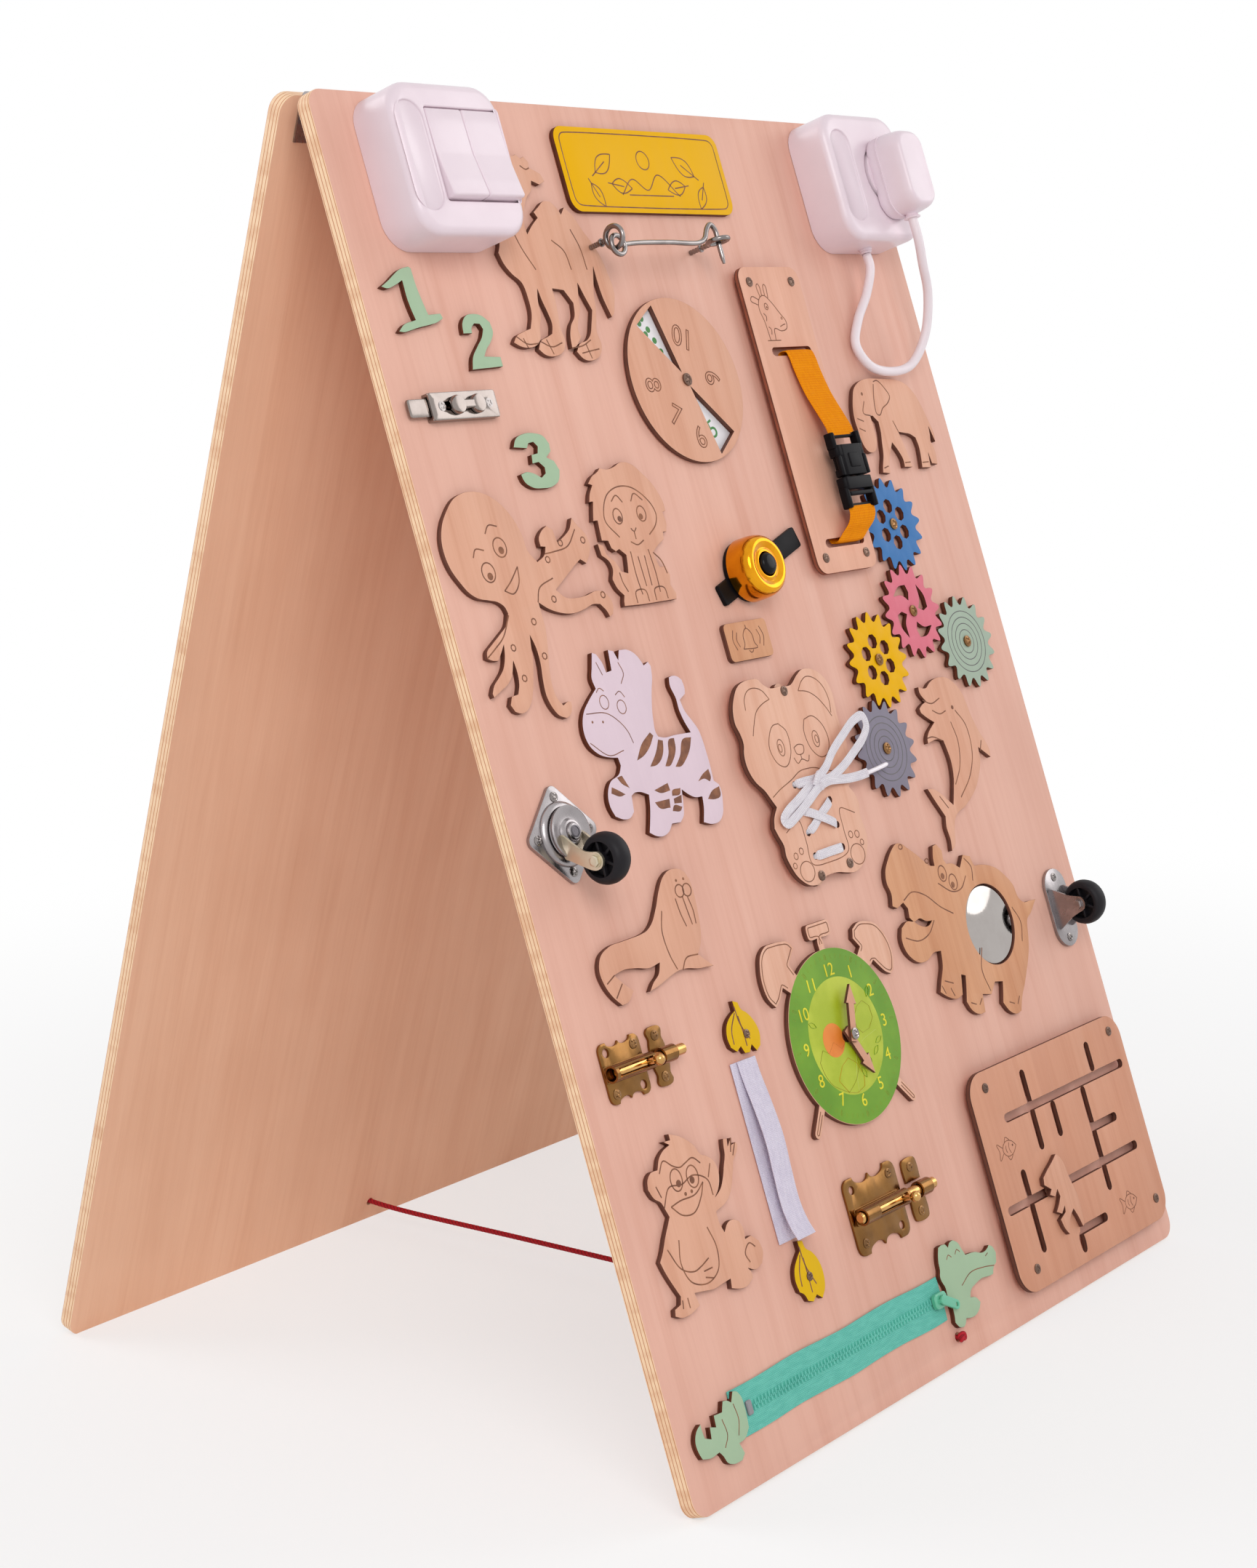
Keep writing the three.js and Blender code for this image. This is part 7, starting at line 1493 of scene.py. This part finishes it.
white_lace = finish("white_woven_lace", woven((250, 246, 250), (212, 204, 214), 1.3, 1.0, 0.8, 0.0006))
aglet_plastic = finish("clear_white_tip", moulded((246, 240, 246), (228, 220, 230), 0.2), Coat_Weight=0.4)
lace = piece("white_lace", "board", white_lace, lace_shell(lace_path), stands_for=("lace",),
             slot="white_tape", weld=0, sharp=70)
tip_route = curve([lace_path[-3], lace_path[-1] + (1, 0, 0), *spot([(303, 383.4, 8.2), (314, 382.2, 8.4)])],
                  24)
tip = piece("lace_tip", "board", aglet_plastic, tube(tip_route, np.r_[1.9, 1.8, 1.6, np.full(19, 1.4), 1.2,
                                                                      0.7], 14),
            slot="white_tape", weld=0)
wrap_route = curve(spot([(238.5, 383.4, 10.2), (239.6, 380.4, 11.9), (243.2, 378.2, 11.2),
                         (246.4, 380.2, 9.4), (245.4, 383.6, 10.4), (241.6, 385.2, 12)]), 40)
wrap = piece("lace_knot_turn", "board", white_lace, tape(wrap_route, 4.4, 1.6), slot="white_tape", weld=0,
             sharp=70)

# Casters: one swivels on a race over a square plate, one is fixed on a rounded plate; black wheels on steel
# axles between pressed arms.
rubber = finish("black_rubber_tyre", moulded((30, 27, 31), (20, 18, 21), 0.5, 0.12), Specular_IOR_Level=0.2)
yellow_zinc = finish("yellow_passivated_zinc", metal((214, 204, 182), (172, 160, 134), 0.42), Metallic=1.0)
SWIVEL, FIXED = spot((35.5, 375)), spot((463, 492.5))
AXLE = {"trail": 17.2, "level": 25.7, "fixed": 20, "inner": 6.5, "outer": 8.3}


def wheel(radius, place):
    """Wheel on an axle along x: a barrel-shaped tyre, a thin web, six spokes and a hub."""
    tyre = lathe([(radius - 4.2, -5.6), (radius - 2.9, -5.7), (radius - 1.6, -5), (radius - 0.6, -3.4),
                  (radius, -1.2), (radius, 1.2), (radius - 0.6, 3.4), (radius - 1.6, 5), (radius - 2.9, 5.7),
                  (radius - 4.2, 5.6),
                  (radius - 4.5, 3.5), (radius - 4.5, -3.5), (radius - 4.2, -5.6)], 48, caps=False)
    web = lathe([(radius - 4.2, -1.2), (radius - 4.2, 1.2), (3, 1.2), (3, -1.2), (radius - 4.2, -1.2)], 40,
                caps=False)
    hub = lathe([(2.9, -5.7), (3.5, -5.3), (3.5, 5.3), (2.9, 5.7)], 24)
    shells = [along_x(shell) for shell in (tyre, web, hub)]
    spokes = [moved(bar(9.2, 1.5, 0.5, 2.8, radius - 4.1, (0, 0, 0), 0.3), (0, 0, 0), 60 * step, "x")
              for step in range(6)]
    return [moved(shell, place) for shell in shells + spokes]


def fork_arms(outline, place, axle_place):
    """Two arms of one side outline (y, z), with the axle, its hexagon nuts and washers."""
    outline = curve(outline, 70, closed=True)
    shells = []
    for low, high in ((AXLE["inner"], AXLE["outer"]), (-AXLE["outer"], -AXLE["inner"])):
        shells += [moved(along_x(shell), place) for shell in slab(outline, [], low, high, 0.35)]
    ends = [lathe([(1.9, -10.2), (1.9, 10.2)], 16)]
    for side in (-1, 1):
        ends.append(lathe([(3.6, side * 8.2), (3.6, side * 8.8), (2, side * 8.8)][::side], 20))
        ends.append(lathe([(2.9, side * 8.7), (3.1, side * 9), (3.1, side * 9.9), (2.7, side * 10.1)][::side],
                          6))
    return shells + [moved(along_x(shell), axle_place) for shell in ends]


square_plate = slab(turned(oblong(38.5, 38.5, 4.5), 45, SWIVEL), [], GLUE, 2.5, 0.5)
race = lathe([(17, 2.3), (17, 3.2), (16.5, 4.1), (15.3, 4.9), (14, 5.2), (13.3, 4.7), (12.5, 4.8),
              (11.9, 5.7), (10.6, 6.1), (4.6, 6.1)], 56, SWIVEL)
piece("swivel_base", "board", zinc, *square_plate, race, stands_for=("swivel_plate",), slot="zinc")
screws("swivel_screws", "board", steel, 2.4, [(SWIVEL + offset) / SQUARE for offset in
                                              ((0, 19.5), (19.5, 0), (0, -19.5), (-19.5, 0))], 2.7, 1.0)
disc = lathe([(13.2, 6.5), (14, 6.9), (14, 8.1), (13.3, 8.5), (12.3, 8.3), (10.7, 7.5), (7.4, 7.4),
              (6.7, 8.2),
              (6.2, 9), (5.2, 9.2), (4.7, 8.8), (4.4, 10.2), (3.6, 10.7), (1.2, 10.7)], 56, SWIVEL)
axle_spot = (*(SWIVEL - (0, AXLE["trail"])), AXLE["level"])
piece("swivel_turning_disc", "caster_fork", zinc, disc, lathe([(3.9, 2.5), (3.9, 7)], 24, SWIVEL),
      slot="zinc")
piece("swivel_fork_arms", "caster_fork", yellow_zinc, *fork_arms(
    np.array([(0, 6.9), (-1.5, 9.5), (-6.5, 14.2), (-10.8, 19.6), (-12.4, 24.4), (-13.4, 28.4), (-17.2, 30.5),
              (-20.8, 29), (-22, 25.4), (-21.2, 22), (-18.4, 17), (-15.4, 12), (-13.6, 9), (-12.4, 6.9)]),
    (*SWIVEL, 0), axle_spot), stands_for=("swivel_fork",), slot="yellow_zinc")
piece("swivel_caster_wheel", "caster_wheel", rubber, *wheel(13.4, axle_spot), stands_for=("swivel_wheel",),
      slot="black_rubber")
dark_pin = finish("greased_pin", metal((92, 88, 92), (52, 48, 52), 0.3), Metallic=1.0)
piece("swivel_pin_ring", "caster_fork", dark_pin, lathe([(3.3, 10.5), (3.3, 10.9), (2.5, 11), (2.4, 10.75),
                                                         (0.6, 10.75)],
                                                        24, SWIVEL), slot="zinc")
axle_spot = (*FIXED, AXLE["fixed"])
piece("fixed_caster_fork", "board", zinc, *slab(oblong(24, 50, 11.9, 8, FIXED), [], GLUE, 2.5, 0.5),
      *fork_arms(
    np.array([(13, 2.2), (11.6, 5.4), (7.2, 13.6), (5.2, 19.4), (3.8, 23.4), (0, 25), (-3.8, 23.4),
              (-5.2, 19.4),
              (-7.2, 13.6), (-11.6, 5.4), (-13, 2.2)]), (*FIXED, 0), axle_spot), stands_for=("fixed_fork",),
      slot="zinc")
piece("fixed_caster_wheel", "fixed_wheel", rubber, *wheel(13.9, axle_spot), stands_for=("fixed_wheel",),
      slot="black_rubber")
screws("fixed_caster_screws", "board", steel, 2.4, [(FIXED + (0, side * 19.5)) / SQUARE for side in (-1, 1)],
       2.7, 1.0)

# Barrel bolts: brass, with scalloped plates, a rolled and slotted sleeve, a rod with a ball knob, and a
# keeper with a short sleeve of its own.
polished = finish("brass_rod", metal((214, 168, 104), (150, 102, 54), 0.14), Metallic=1.0)
BOLTS = {
    "small_bolt": {"plate": (34.2, -513.06), "size": (31.5, 31.3, 2.6, 4.2), "corners": (10.6, 10.6),
                   "sleeve": (18.4, 50), "slot": (20.7, 47.7), "axis": 6.15, "radius": 4.45,
                   "rod": (23, 76, 3), "knob": (44.5, 16.35, 3.08),
                   "keeper": (62, -513.06), "keeper_screw": 10.8},
    "big_bolt": {"plate": (201.2, -633.49), "size": (49.5, 42.8, 4.4, 5.6), "corners": (17.6, 14.8),
                 "sleeve": (180.2, 222.2), "slot": (192.3, 220), "axis": 6.45, "radius": 4.75,
                 "rod": (178, 251, 3.3), "knob": (216, 18, 3.09),
                 "keeper": (239.5, -633.49), "keeper_screw": 12.6},
}
SCALLOP = curve([(6, 13), (4.4, 15.1), (-4.4, 15.1), (-6, 13), (-5, 9.4), (-6, 5.5), (-6, -5.5), (-5, -9.4),
                 (-6, -13),
                 (-4.4, -15.1), (4.4, -15.1), (6, -13), (5, -9.4), (6, -5.5), (6, 5.5), (5, 9.4)], 90,
                closed=True)


def scalloped(width, height, middle, scoop, corner):
    """Plate outline: each long edge has a rounded lobe at its ends and two elliptic scoops that meet in a
    point."""
    share = np.linspace(-1, 1, 81)
    across, away = share * width / 2, np.abs(share)
    dip = scoop * np.sqrt(np.clip(1 - ((away - 0.31) / 0.29) ** 2, 0,
                                  1)) + 0.3 * scoop * np.clip(1 - away / 0.4, 0, 1)
    beyond = np.clip(np.abs(across) - width / 2 + corner, 0, corner)
    edge = height / 2 - dip - corner + np.sqrt(corner**2 - beyond**2)
    return np.concatenate([np.column_stack([-across, edge]), np.column_stack([across, -edge])]) + middle


def sleeve(start, end, middle, radius, gap=0.4):
    """Rolled sheet along x, 1 mm thick; gap is the half angle of the slot in its outer side."""
    angle = np.radians(np.linspace(90 + gap, 450 - gap, 34))
    circle_at = np.column_stack([np.cos(angle), np.sin(angle)])
    section = np.concatenate([circle_at * radius, circle_at[::-1] * (radius - 1)])
    return moved(skin(np.array([np.column_stack([np.full(len(section), x), section]) for x in (start, end)])),
                 middle)


for name, size in BOLTS.items():
    line = (0, size["plate"][1], size["axis"])
    wall, slot_ends, radius = size["sleeve"], size["slot"], size["radius"]
    rolled = [sleeve(wall[0], slot_ends[0], line, radius), sleeve(slot_ends[1], wall[1], line, radius),
              sleeve(slot_ends[0] - 0.05, slot_ends[1] + 0.05, line, radius, 34)]
    across, up = size["corners"]
    wide, tall, scoop, corner = size["size"]
    open_holes = [circle(2.3, np.array(size["plate"]) + (side * across, -side * up), 24) for side in (-1, 1)]
    flat = slab(scalloped(wide, tall, size["plate"], scoop, corner), open_holes, GLUE, 1.7, 0.4)
    foot = skin(arc_rings(wall[1] - wall[0], 2 * radius, 1, GLUE, 2.4, 0.3,
                          middle=((wall[0] + wall[1]) / 2, size["plate"][1])))
    piece(name + "_backplate", "board", brass, *flat, foot, *rolled, stands_for=(name + "_plate",),
          slot="brass")
    middle = np.array(size["keeper"])
    keeper_wall = sleeve(-5, 5, (*middle, size["axis"]), radius)
    if name == "big_bolt":
        piece("big_bolt_catch", "board", brass, *cut("big_bolt_keeper", 1.7, 1.4), keeper_wall,
              stands_for=("big_bolt_keeper",), slot="brass")
    else:
        piece("small_bolt_catch", "board", brass, *slab(SCALLOP + middle, [], GLUE, 1.7), keeper_wall,
              slot="brass")
    start, end, thick = size["rod"]
    rod = moved(along_x(lathe([(thick * 0.7, start), (thick, start + 0.9), (thick, end - 1.2),
                               (thick * 0.6, end)], 24)), line)
    at_x, level, ball = size["knob"]
    tilt = np.linspace(-1.1, 1.5, 12)
    knob = lathe([(1.7, size["axis"]), (1.6, level - 3.4)]
                 + [(ball * math.cos(t), level + ball * math.sin(t)) for t in tilt],
                 24, (at_x, line[1]))
    piece(name + "_rod", name, polished, rod, knob, stands_for=(name,), slot="brass")
    places = [(size["plate"][0] + side * across, line[1] + side * up) for side in (-1, 1)]
    places += [(middle[0], line[1] + side * size["keeper_screw"]) for side in (-1, 1)]
    screws(name + "_screws", "board", screw_brass, 1.6, [np.array(place) / SQUARE for place in places], 2.7,
           0.9, "brass")

# Hook and loop strips: a white strip glued down and a second one pressed on it, its lower end peeled up.
fleece = finish("white_hook_and_loop", woven((240, 233, 246), (208, 198, 220), 0.9, 0.8, 0.85, 0.0005))
VELCRO = {"x": 122, "top": -530.6, "down": 97.66, "shift": 4.5}
PEEL = [(0, 0), (0.1, 0.15), (0.25, 0.6), (0.45, 1), (0.65, 0.8), (0.82, 0.75), (0.93, 1.2), (1, 1.8)]


def strip(name, route, width, thickness):
    """One strip on the board."""
    made = piece(name, "board", fleece, tape(route, width, thickness, (1, 0, 0)),
                 stands_for=("velcro_strap",), slot="white_tape", weld=0, sharp=60)
    return made


glued = np.linspace((VELCRO["x"], VELCRO["top"], 0.8), (VELCRO["x"], VELCRO["top"] - VELCRO["down"], 0.8), 60)
strip("velcro_hook_strip", glued, 16, 1.0)
peeled = curve([(VELCRO["x"] + VELCRO["shift"], VELCRO["top"] - VELCRO["down"] * share,
                 2.0 + VELCRO["shift"] * rise)
                for share, rise in PEEL], 80)
strip("velcro_loop_strip", peeled, 15.5, 1.2)

# Clock: a ply alarm clock with a printed green dial; the picture on it is hills, a sun and leaves. Two cut
# hands turn on a screw.
CLOCK = spot((213.4, 515.7))
DIAL_EDGE = 51.5
piece("clock_plate", "board", pale_wood, *cut("clock_body", LEVEL["plate"], THIN, small=SCREW_HOLE),
      stands_for=("clock_body",), slot="cut_plywood")
inner_lines = []
for loop in outlines("clock_body", LEVEL["plate"]):
    if signed(loop) > 4000:
        line = inset(smoothed(loop, 1.0), 1.7)
        away = np.linalg.norm(line - CLOCK, axis=1) > DIAL_EDGE
        starts = np.flatnonzero(away & ~np.roll(away, 1))
        for start in starts:
            run = [line[(start + step) % len(line)] for step in range(len(line))]
            stop = next((step for step,
                         point in enumerate(run) if np.linalg.norm(point - CLOCK) <= DIAL_EDGE), len(run))
            if stop > 4:
                inner_lines.append(ribbon(np.array(run[:stop:2]), 0.6, LEVEL["plate"]))
piece("clock_lines", "board", burn, *inner_lines, weld=0)


def printed(one, two, gloss=0.4, grain=30):
    """Printed ink: two near colours in soft clouds under a satin varnish with a faint dot screen."""
    one, two = tints(one, two)

    def paint(start):
        source = start.make("ShaderNodeTexCoord", out=3)
        cloud = source.place(grain, grain, grain).noise(3.0)
        screen = source.place(2600, 2600, 2600).noise(1.0)
        return {"Base Color": (cloud.step(0.35, 0.65) * 0.85 + screen.step(0.4, 0.6) * 0.15).mix(one, two),
                "Roughness": cloud.step(0.2, 0.8, gloss, gloss + 0.12), "Bump": (screen, 0.04, 0.0001)}
    return paint


def print_piece(name, colour, *shells, gloss=0.4):
    """One ink of the dial."""
    return piece(name, "board", finish(name + "_ink", printed(*colour, gloss=gloss)), *shells, weld=0,
                 slot="green_plastic")


def dial_patch(points, layer):
    """Printed patch from (x, y) millimetres off the dial's middle, on its own thin layer."""
    loop = smoothed(np.asarray(points, float) + CLOCK,
                    1.2) if len(points) > 8 else np.asarray(points, float) + CLOCK
    return slab(loop if signed(loop) > 0 else loop[::-1], [], 3.4, 3.55 + 0.04 * layer, 0.02)[0]


def polar(radius, degrees):
    """(x, y) at an angle clockwise from the top."""
    return np.array([math.sin(math.radians(degrees)), math.cos(math.radians(degrees))]) * radius


DIAL = 49.2
LAYER = 3.5
print_piece("dial_green", ((112, 160, 6), (94, 144, 4)),
            lathe([(DIAL, LAYER - 0.1), (DIAL, LAYER + 0.03), (DIAL - 0.3, LAYER + 0.05)], 72, CLOCK))
print_piece("dial_meadow", ((164, 182, 16), (192, 204, 60)),
            lathe([(33, LAYER - 0.1), (33, LAYER + 0.07), (32.8, LAYER + 0.09)], 60, CLOCK))
print_piece("dial_pale_field", ((240, 246, 224), (222, 236, 178)), dial_patch(
    [(6, -9), (16, -5), (27, -3), (31, -8), (28, -17), (20, -25.5), (8, -31), (-2, -31.5), (0, -22),
     (3, -15)], 2))
print_piece("dial_sun", ((236, 140, 48), (222, 112, 30)), lathe(
    [(9.5, 3.4), (9.5, 3.66), (9.2, 3.68)], 40, CLOCK + (-12, 0)))
print_piece("dial_russet_hill", ((122, 36, 22), (92, 24, 18)), dial_patch(
    [(-29, -9), (-24, -3), (-19, -6), (-13, -1), (-7, -6), (-2, -3), (3, -9), (4, -18), (-2, -25), (-11, -30),
     (-21, -24.5), (-27, -17)], 5))
print_piece("dial_ochre_hill", ((226, 150, 62), (206, 120, 44)), dial_patch(
    [(-17, -22), (-11, -15), (-4, -12), (2, -16), (6, -24), (4, -30), (-4, -32), (-11, -30)], 7))
print_piece("dial_brown_hill", ((158, 92, 72), (128, 66, 52)), dial_patch(
    [(11, 8), (16, 13), (22, 15), (27, 11), (27.5, 4), (22, -1), (15, -2), (11, 2)], 5))
blade = np.array([(0, 0), (2.2, 1.3), (4.6, 1.4), (6.8, 0), (4.6, -1.4), (2.2, -1.3)])
leaves = [dial_patch(turned(blade, turn, (x, y)), 8) for x, y, turn in (
    (20, -16, 40), (14, -22, 80), (24, -10, 20), (8, -26, 110), (-24, 10, 150), (27, 16, 60))]
print_piece("dial_leaves", ((74, 150, 24), (52, 122, 20)), *leaves)
print_piece("dial_numerals", ((236, 226, 40), (222, 208, 24)), *[
    lettering(str(hour), 10.2, tuple((CLOCK + polar(37.2, 30 * hour)) / SQUARE), 0, LAYER + 0.12)
    for hour in range(1, 13)])
tick_shape = np.array([(0.9, 1.9), (0.35, 2.4), (-0.35, 2.4), (-0.9, 1.9), (-0.9, -1.9), (-0.35, -2.4),
                       (0.35, -2.4), (0.9, -1.9)])


def ticks(steps, scale, layer):
    """Rim marks, each pointing at the middle."""
    return [slab(turned(tick_shape * scale, -6 * step, CLOCK + polar(44.6, 6 * step)), [], 3.4,
                 3.56 + 0.03 * layer, 0.01)[0] for step in steps]


print_piece("dial_tick_rims", ((214, 214, 96), (226, 196, 92)), *ticks(range(0, 60, 5), 1.05, 1))
print_piece("dial_red_ticks", ((206, 54, 28), (184, 38, 22)), *ticks(range(0, 60, 5), 0.62, 2))
print_piece("dial_small_ticks", ((196, 168, 74), (206, 146, 70)),
            *ticks([step for step in range(60) if step % 5], 0.55, 1))
hand_wood = ply("hand_ply", (222, 166, 138), (198, 138, 108), BURNT, CHARRED, figure=1.0)
for name, level in (("hour_hand", 6.7), ("minute_hand", 9.1)):
    piece(name + "_arrow", name, hand_wood, *cut(name, level, 1.8, small=SCREW_HOLE), stands_for=(name,),
          slot="cut_plywood")
piece("clock_washers", "board", dark_steel, lathe([(4, 3.5), (4, 4.3), (1.5, 4.4), (1.5, 9.8)], 24, CLOCK),
      slot="steel")
screws("clock_screw", "board", steel, 9.7, [CLOCK / SQUARE], 3.2, 1.4)

# Maze: a ply plate with slots on four spacers; a cut figure slides in its longest slot on a pin with a foot.
maze_wood = ply("laser_cut_maze", (216, 156, 126), (198, 134, 104), BURNT, CHARRED, figure=0.65)
raised_board("maze_plate", "maze_board", maze_wood, [(323.5, 572), (469.5, 572), (325.5, 677), (470.5, 676)])
fish = []
for middle in (np.array((328.5, 608.5)), np.array((439.5, 670))):
    for stroke in ([(10, 0), (6, -3.4), (0, -4.2), (-4, -1.4), (-4, 1.4), (0, 4.2), (6, 3.4), (10, 0)],
                   [(-4, -1.4), (-9.5, -4.8), (-8, 0), (-9.5, 4.8), (-4, 1.4)],
                   [(-1, -4.1), (1, -6.6), (4.6, -4.2)],
                   [(-1, 4.1), (1, 6.6), (4.6, 4.2)], [(3.4, -3), (2.2, 0), (3.4, 3)],
                   [(-0.4, -2), (-1, 0), (-0.4, 2)]):
        fish.append([tuple(middle + offset) for offset in stroke])
engrave("maze_fish", "board", LEVEL["raised"], fish, 0.5, dots=[((335, 607.7), 0.7), ((446, 669.2), 0.7)])
SLIDER_PIN = np.array([365, -669.5])
piece("maze_figure", "maze_slider", hand_wood, *cut("maze_slider", 10.0, 3.0, small=SCREW_HOLE),
      lathe([(2.2, 2.4), (2.2, 7.2)], 20, SLIDER_PIN), lathe([(3.6, 1.2), (4, 1.5), (4, 2.4), (3.6, 2.7)], 28,
                                                             SLIDER_PIN),
      stands_for=("maze_slider",), slot="cut_plywood")

# Zip: teal tape glued down, its coil of teeth, a grey stop, and a slider with a pull tab.
teal_tape = finish("teal_zip_tape", woven((122, 214, 196), (78, 176, 160), 0.9, 0.9, 0.8, 0.0004))
teal_coil = finish("teal_coil", moulded((112, 206, 188), (66, 160, 146), 0.45, 0.05))
green_metal = finish("green_lacquered_metal", moulded((104, 196, 160), (76, 166, 134), 0.32, 0.04),
                     Coat_Weight=0.3)
grey_stop = finish("grey_stop", moulded((150, 148, 152), (120, 118, 124), 0.4, 0.05))
ZIP = {"start": 44, "end": 236.5, "y": -695.6, "width": 25}
zip_x = np.linspace(ZIP["start"], ZIP["end"], 120)
zip_route = np.column_stack([zip_x, ZIP["y"] + 0.5 * np.sin(zip_x / 13), 0.8 + 0.12 * np.sin(zip_x / 5.5)])
zip_tape = piece("zip_cloth", "board", teal_tape, tape(zip_route, ZIP["width"], 0.9, (0, 1, 0)),
                 stands_for=("zip_tape",), slot="teal_tape", weld=0, sharp=60)
tooth = loft([(0.95, 3.3, 0.4, 1.1), (1.0, 3.5, 0.45, 1.7), (0.7, 3.1, 0.3, 2.25)])
teeth = [moved(tooth, (60.5 + 1.45 * step, ZIP["y"] + (1.0 if step % 2 else -1.0), 0)) for step in range(114)]
coil = piece("zip_teeth", "board", teal_coil, *teeth, slot="teal_tape")
piece("zip_end_stop", "board", grey_stop, loft([(4, 7.4, 1, 1), (4.2, 7.6, 1.2, 2.2), (3.2, 6.6, 1, 2.7)],
                                               (56.5, ZIP["y"])), slot="grey_wood")
PULL = (231, ZIP["y"])
pull = slab(turned(oblong(17, 5.5, 2.6) + (5.75, 0), -30, PULL),
            [turned(circle(1.2, (11.6, 0), 16), -30, PULL)], 5.8, 7.1)
piece("zip_puller", "zip_slider", green_metal, loft([(10.6, 7.2, 2.4, 1.75), (12, 8.5, 3, 2.3),
                                                     (12, 8.5, 3, 4.4), (10.4, 6.8, 2.4, 5.1)], PULL),
      loft([(7, 2.4, 1, 5), (6.4, 2.2, 1, 6.9)], PULL), *pull, stands_for=("zip_slider",),
      slot="green_plastic")

# Mirror: a round acrylic mirror with a bevelled rim, glued in the ring of the hippo's belly.
mirror_face = finish("mirror_face", metal((176, 170, 166), (164, 156, 152), 0.05), Metallic=1.0)
piece("round_mirror", "board", mirror_face, lathe([(24.3, GLUE), (24.3, 2.0), (23.9, 2.45), (22.8, 2.7)], 72,
                                                  spot((380, 487))), stands_for=("mirror",), slot="mirror")

# Hinge: the CAD's two leaves, kept as they are and dressed in zinc, with a row of screws on each.
for name in ("hinge_front_leaf", "hinge_rear_leaf"):
    leaf_node = frame["nodes"][name]
    leaf_node.data.materials.clear()
    leaf_node.data.materials.append(zinc)
flipped = [moved(screw((0, 0), 0, 2.9, 1.0, 15 * step), (42 + 58 * step, -14, -10.1), 180, "x")
           for step in range(8)]
piece("front_hinge_screws", "board", steel, *flipped, slot="steel", weld=0, sharp=30)
flipped = [moved(shell, (0, 28, 0)) for shell in flipped]
piece("rear_hinge_screws", "rear", steel, *flipped, at=rear, slot="steel", weld=0, sharp=30)
